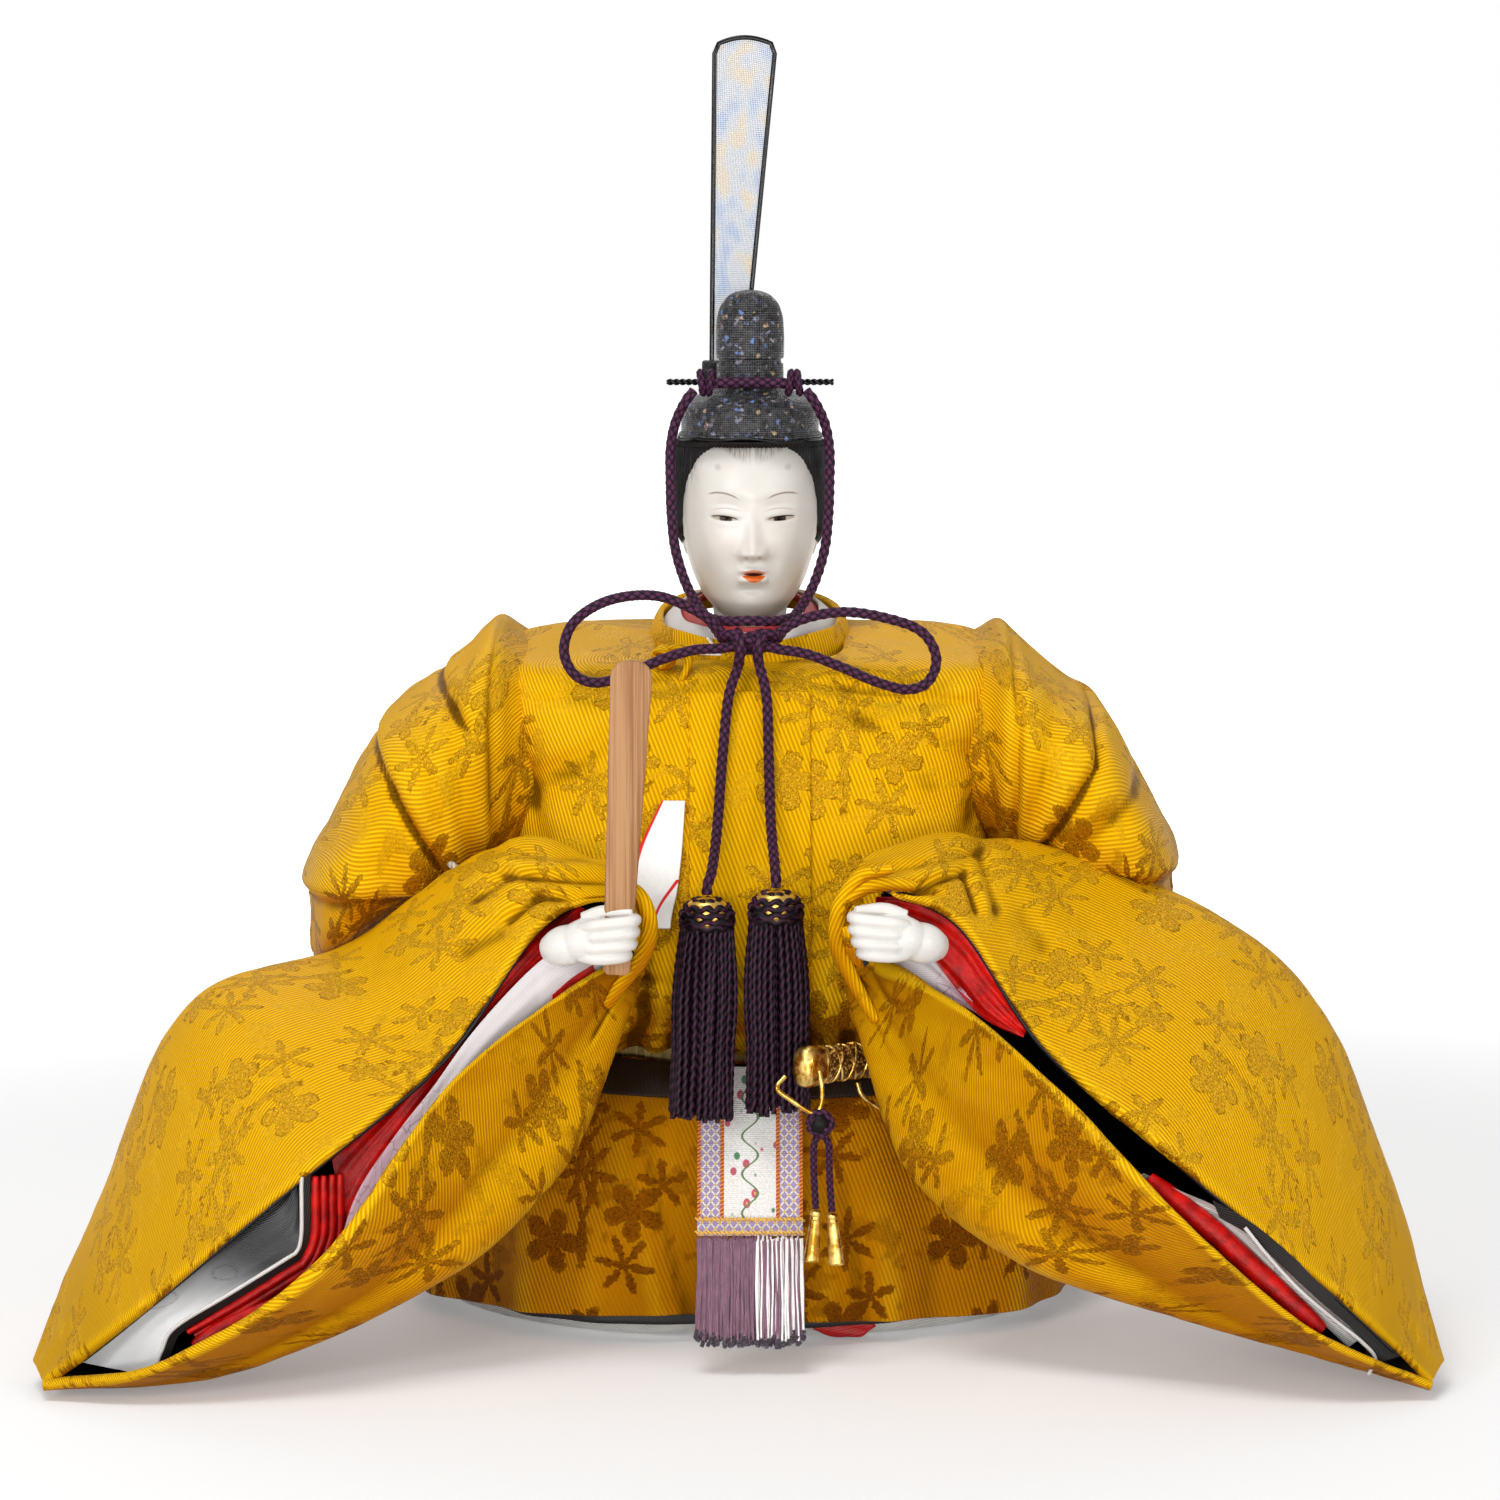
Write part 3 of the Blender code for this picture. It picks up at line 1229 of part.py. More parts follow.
def drop_knot(parent):
    mid = route(DROP_KNOT_mm)[0]
    rings = []
    for i in range(9):
        t = i / 4 - 1
        swell = max(0.4, 1 - t * t) ** 0.5
        rings.append([mid + Vector((t * DROP_KNOT_HALF, math.cos(a) * DROP_THICK * 0.9 * swell,
                                    math.sin(a) * DROP_THICK * swell))
                      for a in (math.tau * k / 12 for k in range(12))])
    return lathe_body("drop_knot", rings, PURPLE_CORD, parent)


def metal_tip(name, top, lean, parent):
    rings = []
    for s, r in ((0, 0.5), (0, 1.0), (0.96, 1.0), (1.0, 0.9)):
        radius = between(TIP_TOP, TIP_LOW, s) / 2 * r
        rings.append([top + Vector((lean * s + radius * math.cos(a), radius * math.sin(a), -TIP_LONG * s))
                      for a in (math.tau * k / 16 for k in range(16))])
    return lathe_body(name, rings[1:], GILT, parent)


# put together

def build():
    wire_hole = arm_wire_hole()
    neck_hole = peg_hole()
    head_shape = cutter("head_shape", head_rings(GAP))

    seat_board()
    straw_body(wire_hole, neck_hole)
    arm_wire()
    leg("trouser_leg_left", -1)
    leg("trouser_leg_right", 1)
    trouser_lining()
    skirt()
    hem_lining()
    bodice(wire_hole)
    front_flap()
    belt()
    collar("collar_band", collar_shares, BROCADE * 1.2, GOLD_SILK)
    collar("white_collar", WHITE_COLLAR_shares, SILK, WHITE_SILK)
    collar("red_collar", RED_COLLAR_shares, SILK, RED_SILK)
    collar_button()
    folded_paper()

    for word, side, shoulder_shares, shares in (("left", -1, shoulder_left_shares, sleeve_left_shares),
                                                ("right", 1, shoulder_right_shares, sleeve_right_shares)):
        shoulder("shoulder_" + word, side, shoulder_shares, wire_hole)
        sleeve("sleeve_" + word, side, shares, wire_hole)
        sleeve_lining("sleeve_lining_" + word, side, shares)
        sleeve_inner("sleeve_silver_" + word, side, shares)
        span, rise = ((PAD_left_span_shares, PAD_left_rise_share) if side < 0 else
                      (PAD_right_span_shares, PAD_right_rise_share))
        cut(slit_roll("sleeve_red_" + word, side, shares, span, rise, PAD_fat_share, RED_SILK), wire_hole)
    cut(slit_roll("sleeve_cuff_left", -1, sleeve_left_shares, CUFF_span_shares, CUFF_rise_share,
                  CUFF_fat_share, WHITE_SILK), wire_hole)

    lean = Matrix.Rotation(SHAKU_LEAN, 3, "Y")
    foot = arm_place(SHAKU_foot_shares)
    slot_rings = block(SHAKU_SPREAD / 2 + GAP, SHAKU_THICK / 2 + GAP, SHAKU_LONG, Vector())
    for ring in slot_rings:
        for p in ring:
            p.rotate(lean)
            p += foot
    fist("hand_left", -1, HAND_left_shares, (wire_hole, cutter("shaku_slot", slot_rings)))
    fist("hand_right", 1, HAND_right_shares, (wire_hole,))
    shaku(foot, lean, pivot("shaku_slide", foot))

    neck = pivot("neck_turn", Vector((0, 0, CORE_TOP)))
    head(neck)
    hair(head_shape, neck)
    crown_cap(neck)
    crown_dome(neck)
    crown_pin(neck)
    crown_cord(neck)
    tail = pivot("tail_slide", Vector((0, TAIL_LEAN_BACK, TAIL_FOOT)))
    tail_frame(tail)
    tail_gauze(tail)

    cord("cheek_cord_left", even(route(CHEEK_left_mm), 15), CORD_THICK, PURPLE_CORD)
    cord("cheek_cord_right", even(route(CHEEK_right_mm), 15), CORD_THICK, PURPLE_CORD)
    chin_knot(None)
    cord("bow_loop_left", even(route(LOOP_left_mm), 19), CORD_THICK, PURPLE_CORD)
    cord("bow_loop_right", even(route(LOOP_right_mm), 19), CORD_THICK, PURPLE_CORD)
    swing = pivot("tassel_swing", route(HANG_left_mm)[0])
    for word, places, sway, parent in (("left", HANG_left_mm, -TASSEL_SWAY, swing),
                                       ("right", HANG_right_mm, 0.0, None)):
        cord("hanging_cord_" + word, even(route(places), 12), CORD_THICK, PURPLE_CORD, parent)
        top = route(places)[-1] - Vector((0, 0, 2 * GAP))
        tassel_head("tassel_head_" + word, top, parent)
        tassel_skirt("tassel_skirt_" + word, top - Vector((0, 0, TASSEL_HEAD_TALL + GAP)), sway, parent)

    hinge = pivot("strap_hinge", strap_line(STRAP_route_shares)[0])
    strap(hinge)
    fringe(hinge)

    slide = pivot("sword_slide", sword_place())
    for make in (pommel, grip, scabbard, wire_loop, drop_knot):
        make(slide)
    cord("drop_cord", even(route(DROP_mm), 17), DROP_THICK, PURPLE_CORD, slide)
    metal_tip("drop_tip_left", route(DROP_mm)[0] - Vector((0, 0, GAP)), -TIP_LEAN, slide)
    metal_tip("drop_tip_right", route(DROP_mm)[-1] - Vector((0, 0, GAP)), TIP_LEAN, slide)
    sword_sling()


build()
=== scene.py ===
"""Seated male court doll in a yellow-gold robe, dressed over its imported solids.

Metres, +Z up, +X to the viewer's right, +Y to the doll's back. The origin is
the middle of the flat underside of the seat board.
"""
import math
import random

import bmesh
import bpy
from mathutils import Matrix, Vector, noise
from mathutils.bvhtree import BVHTree


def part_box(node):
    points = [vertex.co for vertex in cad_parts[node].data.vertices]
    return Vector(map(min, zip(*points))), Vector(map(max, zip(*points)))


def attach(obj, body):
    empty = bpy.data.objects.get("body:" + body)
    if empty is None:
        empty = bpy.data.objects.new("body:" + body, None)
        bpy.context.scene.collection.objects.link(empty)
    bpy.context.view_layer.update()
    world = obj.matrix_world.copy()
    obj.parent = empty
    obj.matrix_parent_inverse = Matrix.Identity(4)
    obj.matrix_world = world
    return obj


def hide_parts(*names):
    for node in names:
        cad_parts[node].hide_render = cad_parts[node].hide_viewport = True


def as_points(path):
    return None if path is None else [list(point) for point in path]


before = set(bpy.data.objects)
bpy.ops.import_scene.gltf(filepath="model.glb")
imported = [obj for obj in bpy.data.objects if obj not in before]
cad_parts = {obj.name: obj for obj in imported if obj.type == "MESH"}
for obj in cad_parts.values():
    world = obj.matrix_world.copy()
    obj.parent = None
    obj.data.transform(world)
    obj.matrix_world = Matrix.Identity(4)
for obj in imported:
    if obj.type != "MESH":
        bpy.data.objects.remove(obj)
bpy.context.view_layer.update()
MM = 0.001


# The studio: a pale floor that keeps the doll's soft shadow, a white room for
# metal and film to mirror, and wide soft lamps above and in front of the doll.

AIM = Vector((0, 0, 115.3 * MM))
CAMERA_AWAY = 1100 * MM
CAMERA_RISE = math.radians(6.6)
LENS = 124.5
ROOM_GREY = 0.38
ROOM_SHINE = 0.45
FLOOR_HALF = 4.0
FLOOR_GLOW = 0.22           # light of the floor's middle, and where it begins and ends to grow
GLOW_NEAR, GLOW_FAR = 0.22, 0.75


def add(tree, kind, sources=(), **settings):
    """A node; its sources are sockets or plain values, by place or by name."""
    node = tree.nodes.new("ShaderNode" + kind)
    for key, value in settings.items():
        setattr(node, key, value)
    for socket, source in (sources.items() if isinstance(sources, dict) else enumerate(sources)):
        if isinstance(source, bpy.types.NodeSocket):
            tree.links.new(source, node.inputs[socket])
        else:
            node.inputs[socket].default_value = source
    return node


def calc(tree, operation, *sources):
    return add(tree, "Math", sources, operation=operation).outputs[0]


def plus(tree, a, b):
    return calc(tree, "ADD", a, b)


def minus(tree, a, b):
    return calc(tree, "SUBTRACT", a, b)


def times(tree, a, b):
    return calc(tree, "MULTIPLY", a, b)


def times_plus(tree, a, b, more):
    return calc(tree, "MULTIPLY_ADD", a, b, more)


def larger(tree, a, b):
    return calc(tree, "MAXIMUM", a, b)


def size_of(tree, value):
    return calc(tree, "ABSOLUTE", value)


def sine(tree, value):
    return calc(tree, "SINE", value)


camera = bpy.data.objects.new("camera", bpy.data.cameras.new("camera"))
bpy.context.collection.objects.link(camera)
camera.data.sensor_width = 36
camera.data.lens = LENS
camera.data.clip_start = 0.05
away = Vector((0, -math.cos(CAMERA_RISE), math.sin(CAMERA_RISE)))
camera.location = AIM + away * CAMERA_AWAY
camera.rotation_euler = away.to_track_quat("Z", "Y").to_euler()
bpy.context.scene.camera = camera
bpy.context.scene.view_settings.view_transform = "Standard"


def lamp(name, place, wide, tall, watts):
    light = bpy.data.lights.new(name, "AREA")
    light.shape = "RECTANGLE"
    light.size, light.size_y, light.energy = wide, tall, watts
    obj = bpy.data.objects.new(name, light)
    obj.location = place
    obj.rotation_euler = (Vector(place) - AIM).to_track_quat("Z", "Y").to_euler()
    bpy.context.collection.objects.link(obj)


lamp("lamp_overhead", (-0.25, -0.50, 1.30), 0.6, 0.5, 7.5)
lamp("lamp_front_left", (-0.85, -1.45, 0.60), 0.5, 0.5, 8.5)
lamp("lamp_front_right", (0.95, -1.45, 0.35), 0.5, 0.5, 5.0)
lamp("lamp_low", (0.0, -1.70, 0.10), 0.8, 0.16, 8.0)
lamp("lamp_behind", (0.0, 1.3, 1.0), 1.4, 0.7, 5.0)

world = bpy.data.worlds.new("white_room")
bpy.context.scene.world = world
world.use_nodes = True
tree = world.node_tree
for node in list(tree.nodes):
    tree.nodes.remove(node)
rays = add(tree, "LightPath").outputs
seen = larger(tree, rays["Is Camera Ray"], rays["Is Transmission Ray"])
level = times_plus(tree, rays["Is Glossy Ray"], ROOM_SHINE - ROOM_GREY, ROOM_GREY)
level = times_plus(tree, seen, 1.0 - ROOM_GREY, level)
back = add(tree, "Background", {"Color": (1, 1, 1, 1), "Strength": level})
add(tree, "OutputWorld", {"Surface": back.outputs[0]})

bm = bmesh.new()
bmesh.ops.create_grid(bm, x_segments=2, y_segments=2, size=FLOOR_HALF)
mesh = bpy.data.meshes.new("floor")
bm.to_mesh(mesh)
bm.free()
floor = bpy.data.objects.new("floor", mesh)
bpy.context.collection.objects.link(floor)
paint = bpy.data.materials.new("floor_paint")
paint.use_nodes = True
tree = paint.node_tree
rays = add(tree, "LightPath").outputs
seen = larger(tree, larger(tree, rays["Is Camera Ray"], rays["Is Glossy Ray"]), rays["Is Transmission Ray"])
shader = tree.nodes["Principled BSDF"]
shader.inputs["Base Color"].default_value = (0.80, 0.80, 0.80, 1)
shader.inputs["Roughness"].default_value = 0.7
shader.inputs["Specular IOR Level"].default_value = 0.1
shader.inputs["Emission Color"].default_value = (1, 1, 1, 1)
spot = add(tree, "SeparateXYZ", [add(tree, "TexCoord").outputs["Object"]]).outputs
away_from = calc(tree, "SQRT", plus(tree, times(tree, spot[0], spot[0]),
                                    times(tree, spot[1], spot[1])))
glow = add(tree, "MapRange", {"Value": away_from, "From Min": GLOW_NEAR, "From Max": GLOW_FAR, "To Min": FLOOR_GLOW,
                              "To Max": 1.0}, interpolation_type="SMOOTHSTEP").outputs[0]
tree.links.new(times(tree, seen, glow), shader.inputs["Emission Strength"])
mesh.materials.append(paint)


# Seat board and straw body. The board is plain softwood; the body is a packed
# straw bundle, bound and cut to shape, and the bent arm wire runs through it.

def dye(code, alpha=1.0):
    """The colour of a hex code, as the shader takes it."""
    levels = [int(code[i:i + 2], 16) / 255 for i in (0, 2, 4)]
    return (*(c / 12.92 if c <= 0.04045 else ((c + 0.055) / 1.055) ** 2.4 for c in levels), alpha)


def begin(name, colour, roughness, **sockets):
    """A new finish with the plain values of its shader."""
    finish = bpy.data.materials.new(name)
    finish.use_nodes = True
    tree = finish.node_tree
    shader = tree.nodes["Principled BSDF"]
    shader.inputs["Base Color"].default_value = dye(colour)
    shader.inputs["Roughness"].default_value = roughness
    for socket, value in sockets.items():
        shader.inputs[socket.replace("_", " ")].default_value = value
    return finish, tree, shader


def tint(tree, share, under, over):
    """One colour over another, by a share."""
    colours = [dye(c) if isinstance(c, str) else c for c in (under, over)]
    return add(tree, "Mix", {0: share, 6: colours[0], 7: colours[1]}, data_type="RGBA").outputs[2]


def coat(tree, shader, colour):
    tree.links.new(colour, shader.inputs["Base Color"])


def band(tree, value, low, high, to_low=0.0, to_high=1.0):
    """A soft step of a value between two levels."""
    return add(tree, "MapRange", {"Value": value, "From Min": low, "From Max": high,
                                  "To Min": to_low, "To Max": to_high},
               interpolation_type="SMOOTHSTEP").outputs[0]


def raise_up(tree, shader, height, depth, strength=1.0):
    """Relief of a depth in metres from a height of 0 to 1."""
    bump = add(tree, "Bump", {"Height": height, "Distance": depth, "Strength": strength})
    tree.links.new(bump.outputs[0], shader.inputs["Normal"])


def speckle(tree, place, scale, detail=3.0, rough=0.55):
    return add(tree, "TexNoise", {"Vector": place, "Scale": scale, "Detail": detail,
                                  "Roughness": rough}).outputs[0]


def stretched(tree, place, x, y, z, turn=(0, 0, 0)):
    return add(tree, "Mapping", {"Vector": place, "Scale": (x, y, z), "Rotation": turn}).outputs[0]


def own_place(tree):
    return add(tree, "TexCoord").outputs["Object"]


def written(tree, word):
    """A value that is written on the mesh, point by point."""
    return add(tree, "Attribute", attribute_name=word).outputs["Fac"]


def flat_place(tree, across, along):
    return add(tree, "CombineXYZ", [across, along, 0.0]).outputs[0]


def dress(node, finish):
    """Gives a CAD node its finish."""
    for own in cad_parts[node].material_slots:
        own.material = finish


def fibre(name, light, dark, along, roughness=0.75, ring=260.0):
    """Wood or straw: long streaks along one axis."""
    finish, tree, shader = begin(name, light, roughness)
    place = own_place(tree)
    scale = [ring, ring, ring]
    scale[along] = ring * 0.05
    streak = speckle(tree, stretched(tree, place, *scale), 3.0, 5.0)
    fine = speckle(tree, stretched(tree, place, *(s * 5 for s in scale)), 3.0, 2.0)
    tone = plus(tree, times(tree, streak, 0.7), times(tree, fine, 0.3))
    coat(tree, shader, tint(tree, band(tree, tone, 0.36, 0.62), dark, light))
    raise_up(tree, shader, tone, 0.15 * MM, 0.6)
    return finish


dress("seat_board", fibre("seat_wood", "D9B98A", "B08A58", 0))
dress("body_core", fibre("straw", "C9AE6C", "8C6F36", 2, 0.9, 400.0))
wire_finish, tree, shader = begin("paper_wound_wire", "CFC6B2", 0.8)
wound = add(tree, "TexWave", {"Vector": own_place(tree), "Scale": 320.0, "Distortion": 1.5}).outputs[1]
coat(tree, shader, tint(tree, wound, "A79C84", "D9D1BF"))
raise_up(tree, shader, wound, 0.1 * MM)
dress("arm_wire", wire_finish)


# Trousers: two padded legs of silver-white figured silk, bent round the seat
# board with the soles together, and the red silk lining that shows in front.

SEAT_HALF, SEAT_DEEP = 58.0 * MM, 45.0 * MM
LEG_WIDE, LEG_TALL = 9.3 * MM, 12.2 * MM
LEG_SWEEP = (0.03, 0.62)


SIDES = (("left", -1), ("right", 1))
BOXY = 2.6                  # how square a leg, an arm or the sword is in section


def between(a, b, share):
    return a + (b - a) * share


def table(rows):
    return [Vector(row) for row in rows]


def spots(points):
    """Points told in millimetres."""
    return [Vector(p) * MM for p in points]


def angles(count):
    """Once round, in so many steps; the last is the first again."""
    return [math.tau * k / count for k in range(count + 1)]


def boxed(c, s, boxy=BOXY):
    """Radius of a rounded box, 1 at its sides, for a cosine and a sine."""
    return (abs(c) ** boxy + abs(s) ** boxy) ** (-1 / boxy)


def blend_row(points, share):
    """Point at a share of the way along a smooth curve through the points."""
    spans = len(points) - 1
    at = min(max(share, 0.0) * spans, spans - 1e-9)
    i = int(at)
    t = at - i
    p1, p2 = points[i], points[i + 1]
    p0 = points[i - 1] if i > 0 else p1 * 2 - p2
    p3 = points[i + 2] if i + 2 <= spans else p2 * 2 - p1
    return 0.5 * (2 * p1 + (p2 - p0) * t + (2 * p0 - 5 * p1 + 4 * p2 - p3) * t * t
                  + (3 * p1 - p0 - 3 * p2 + p3) * t ** 3)


def smooth_row(points, count):
    return [blend_row(points, i / (count - 1)) for i in range(count)]


def smooth_line(path, count):
    return [(p.x, p.y) for p in smooth_row([Vector((x, z, 0)) for x, z in path], count)]


def finish_mesh(name, bm, finishes, sharp=60):
    mesh = bpy.data.meshes.new(name)
    bm.to_mesh(mesh)
    bm.free()
    mesh.shade_smooth()
    mesh.set_sharp_from_angle(angle=math.radians(sharp))
    for finish in finishes:
        mesh.materials.append(finish)
    obj = bpy.data.objects.new(name, mesh)
    bpy.context.collection.objects.link(obj)
    return obj


def skin(name, rows, finishes, away=None, ring=False, capped=False, sculpt=None, grain=(0.0, 0.0),
         hollows=0):
    """A surface through rows of points. Its UV map "cloth" holds the measure
    along the surface in metres; sculpt gives how far each point moves; hollows
    marks the valleys (in mm) against the surface smoothed so many times."""
    along, across = len(rows), len(rows[0])
    bm = bmesh.new()
    cloth = bm.loops.layers.uv.new("cloth")
    share_u = bm.verts.layers.float.new("share_across")
    share_v = bm.verts.layers.float.new("share_along")
    faces_up = bm.verts.layers.float.new("faces_up")
    hollow = bm.verts.layers.float.new("hollow")
    bmesh.ops.create_grid(bm, x_segments=across - 1, y_segments=along - 1, size=1)
    bm.verts.ensure_lookup_table()
    bm.verts.index_update()
    measure, run = [], 0.0
    for i, row in enumerate(rows):
        if i:
            run += sum((a - b).length for a, b in zip(row, rows[i - 1])) / across
        widths = [0.0]
        for a, b in zip(row, row[1:]):
            widths.append(widths[-1] + (b - a).length)
        for j, p in enumerate(row):
            vert = bm.verts[i * across + j]
            vert.co = p
            vert[share_u], vert[share_v] = j / (across - 1), i / (along - 1)
            measure.append((widths[j] - widths[across // 2] + grain[0], run + grain[1]))
    for face in bm.faces:
        for loop in face.loops:
            loop[cloth].uv = measure[loop.vert.index]
    if ring:
        bmesh.ops.remove_doubles(bm, verts=bm.verts[:], dist=0.002 * MM)
    if capped:
        bmesh.ops.holes_fill(bm, edges=bm.edges[:], sides=0)
    if away is None:
        bmesh.ops.recalc_face_normals(bm, faces=bm.faces[:])
    else:
        bm.normal_update()
        facing = sum(f.normal.dot(f.calc_center_median() - away) * f.calc_area() for f in bm.faces)
        if facing < 0:
            bmesh.ops.reverse_faces(bm, faces=bm.faces[:])
    bm.normal_update()
    if sculpt:
        moves = [sculpt(v[share_u], v[share_v], v.co.copy(), v.normal.copy()) for v in bm.verts]
        for vert, move in zip(bm.verts, moves):
            vert.co += move
        bm.normal_update()
    for vert in bm.verts:
        vert[faces_up] = vert.normal.z
    if hollows:
        bm.verts.index_update()
        near = [[e.other_vert(v).index for e in v.link_edges] for v in bm.verts]
        level = [v.co.copy() for v in bm.verts]
        for _ in range(hollows):
            level = [sum((level[k] for k in others), Vector()) / len(others) for others in near]
        for vert, smooth in zip(bm.verts, level):
            vert[hollow] = (smooth - vert.co).dot(vert.normal) / MM
    return finish_mesh(name, bm, finishes)


def thicken(piece, thick, lining=False, edge=0.3 * MM):
    """Gives a cloth its thickness inwards; its inner side takes the second finish."""
    solid = piece.modifiers.new("thickness", "SOLIDIFY")
    solid.thickness = thick
    solid.offset = -1
    solid.material_offset = 1 if lining else 0
    if edge:
        soft = piece.modifiers.new("soft_edge", "BEVEL")
        soft.width = edge
        soft.segments = 2
        soft.limit_method = "ANGLE"
        soft.angle_limit = math.radians(50)


def settle(piece, body, slot, *nodes):
    """The piece rides on a body and stands for CAD nodes, whose solids it hides. The slot is not used."""
    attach(piece, body)
    if nodes:
        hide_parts(*nodes)


def cloth_place(tree):
    """The cloth's own measure, in millimetres across and along."""
    flat = add(tree, "UVMap", uv_map="cloth").outputs[0]
    scaled = add(tree, "VectorMath", {0: flat, "Scale": 1000.0}, operation="SCALE").outputs[0]
    parts = add(tree, "SeparateXYZ", [scaled]).outputs
    return parts[0], parts[1]


def ribs(tree, across, along, pitch, lean):
    """Fine parallel ribs, 0 in the grooves and 1 on top."""
    slant = plus(tree, times(tree, across, math.cos(lean) / pitch),
                 times(tree, along, math.sin(lean) / pitch))
    wave = sine(tree, times(tree, slant, math.tau))
    return times_plus(tree, wave, 0.5, 0.5)


def silk(name, light, dark, pitch, lean, roughness, sheen, depth=0.05 * MM, figure=0.0):
    """Plain or figured silk: ribs, slow changes of tone and a soft sheen."""
    finish, tree, shader = begin(name, light, roughness, Sheen_Weight=sheen, Sheen_Roughness=0.35,
                                 Specular_IOR_Level=0.45)
    across, along = cloth_place(tree)
    rib = ribs(tree, across, along, pitch, lean)
    place = own_place(tree)
    slow = speckle(tree, place, 90.0, 3.0)
    tone = plus(tree, times(tree, rib, 0.45), times(tree, slow, 0.75))
    height = rib
    if figure:
        spread = flat_place(tree, across, along)
        cells = add(tree, "TexVoronoi", {"Vector": spread, "Scale": 0.16, "Randomness": 0.7}).outputs[0]
        rings = sine(tree, times(tree, cells, 34.0))
        flower = times(tree, band(tree, cells, 0.42, 0.30), band(tree, rings, -0.2, 0.5))
        tone = minus(tree, tone, times(tree, flower, figure))
        height = plus(tree, rib, times(tree, flower, 2.0))
    coat(tree, shader, tint(tree, band(tree, tone, 0.25, 0.85), dark, light))
    raise_up(tree, shader, height, depth, 0.7)
    return finish


silver_silk = silk("silver_silk", "E4E2DE", "A9A7A4", 0.42, 0.3, 0.42, 0.3, figure=0.5)
red_silk = silk("red_silk", "C80C06", "7A0404", 0.55, 0.2, 0.5, 0.05)
black_silk = silk("black_silk", "17110F", "060405", 0.5, 0.2, 0.5, 0.05)
white_silk = silk("white_silk", "DEDAD6", "BDB6B4", 0.5, 0.2, 0.55, 0.2)
# dark brown silk for the belt, coloured as the shaded recess at the waist it sits in: painted shade
dark_silk = silk("dark_silk", "2C1804", "120802", 0.8, 0.2, 0.6, 0.05)


def leg_rows(side):
    rows = []
    for i in range(97):
        t = i / 96
        turn = math.pi * between(*LEG_SWEEP, t)
        end = math.sqrt(max(0.02, 1 - abs(2 * t - 1) ** 9))
        out = Vector((side * math.sin(turn), -math.cos(turn), 0))
        mid = Vector((out.x * (SEAT_HALF + LEG_WIDE / 2), out.y * (SEAT_DEEP + LEG_WIDE / 2), 0))
        row = []
        for k in range(41):
            a = math.tau * k / 40
            c, s = math.cos(a), math.sin(a)
            r = boxed(c, s)
            row.append(mid + out * (c * r * LEG_WIDE / 2 * end)
                       + Vector((0, 0, LEG_TALL * (0.5 + 0.5 * s * r * end))))
        rows.append(row)
    return rows


def leg_wrinkles(u, v, p, normal):
    """Creases across the leg, deepest where it bends, and none where it rests."""
    crease = math.sin(v * 95 + 4 * math.sin(u * 12)) * 0.5 + noise.noise(p * 260) * 0.9
    rest = min(1.0, max(0.0, p.z / (3 * MM)))
    return normal * (0.32 * MM * crease * rest)


for word, side in SIDES:
    leg = skin("trouser_leg_" + word + "_silk", leg_rows(side), [silver_silk], ring=True, capped=True,
               sculpt=leg_wrinkles)
    settle(leg, "doll", "silver_silk", "trouser_leg_" + word)

lining_rows = []
low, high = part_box("trouser_lining")
for i in range(25):
    t = i / 24 * 2 - 1
    swell = math.sqrt(max(0.03, 1 - t * t))
    lining_rows.append([Vector((between(low.x, high.x, i / 24),
                                (low.y + high.y) / 2 + math.cos(a) * (high.y - low.y) / 2 * swell,
                                (low.z + high.z) / 2 + math.sin(a) * (high.z - low.z) / 2 * swell))
                        for a in angles(24)])
patch = skin("trouser_lining_silk", lining_rows, [red_silk], ring=True, capped=True,
             sculpt=lambda u, v, p, n: n * (0.25 * MM * math.sin(p.z * 2600 + p.x * 500)))
settle(patch, "doll", "red_silk", "trouser_lining")


# Robe: bodice, front flap, belt and skirt, cut from yellow-gold brocade whose
# figure of bamboo leaves and blossoms is woven tone on tone, lined with black.

BROCADE = 1.0 * MM
TILE = (43.0, 47.0)         # one repeat of the woven figure, mm
RIB_PITCH = 0.88
RIB_LEAN = math.radians(20)
# leaf sprays and blossoms in one repeat: middle, reach, number of leaves, turn, slimness
SPRAYS = ((10, 36, 7.5, 7, 0.3, 2.6), (19, 27, 8.0, 7, 1.1, 2.6), (31, 37, 6.5, 6, 0.6, 2.6),
          (28, 8, 6.5, 6, 0.2, 2.6), (36, 25, 5.5, 5, 0.9, 2.2),
          (30, 19, 6.2, 5, 0.4, 0.5), (12, 12, 6.6, 5, 1.3, 0.5), (20, 41.5, 4.6, 5, 0.1, 0.6))


def spray(tree, x, y, motif):
    """Leaves or petals round a middle: 1 inside, 0 outside, with veins."""
    mid_x, mid_y, reach, count, turn, slim = motif
    dx, dy = minus(tree, x, mid_x), minus(tree, y, mid_y)
    away = calc(tree, "SQRT", plus(tree, times(tree, dx, dx), times(tree, dy, dy)))
    angle = plus(tree, calc(tree, "ARCTAN2", dy, dx), turn)
    petal = size_of(tree, calc(tree, "COSINE", times(tree, angle, count / 2)))
    rim = times_plus(tree, calc(tree, "POWER", petal, slim), reach * 0.86, reach * 0.14)
    inside = band(tree, minus(tree, rim, away), -0.40, 0.60)
    vein = sine(tree, times(tree, away, 5.5 if slim < 1 else 8.0))
    return inside, times(tree, inside, times_plus(tree, vein, 0.25, 0.75))
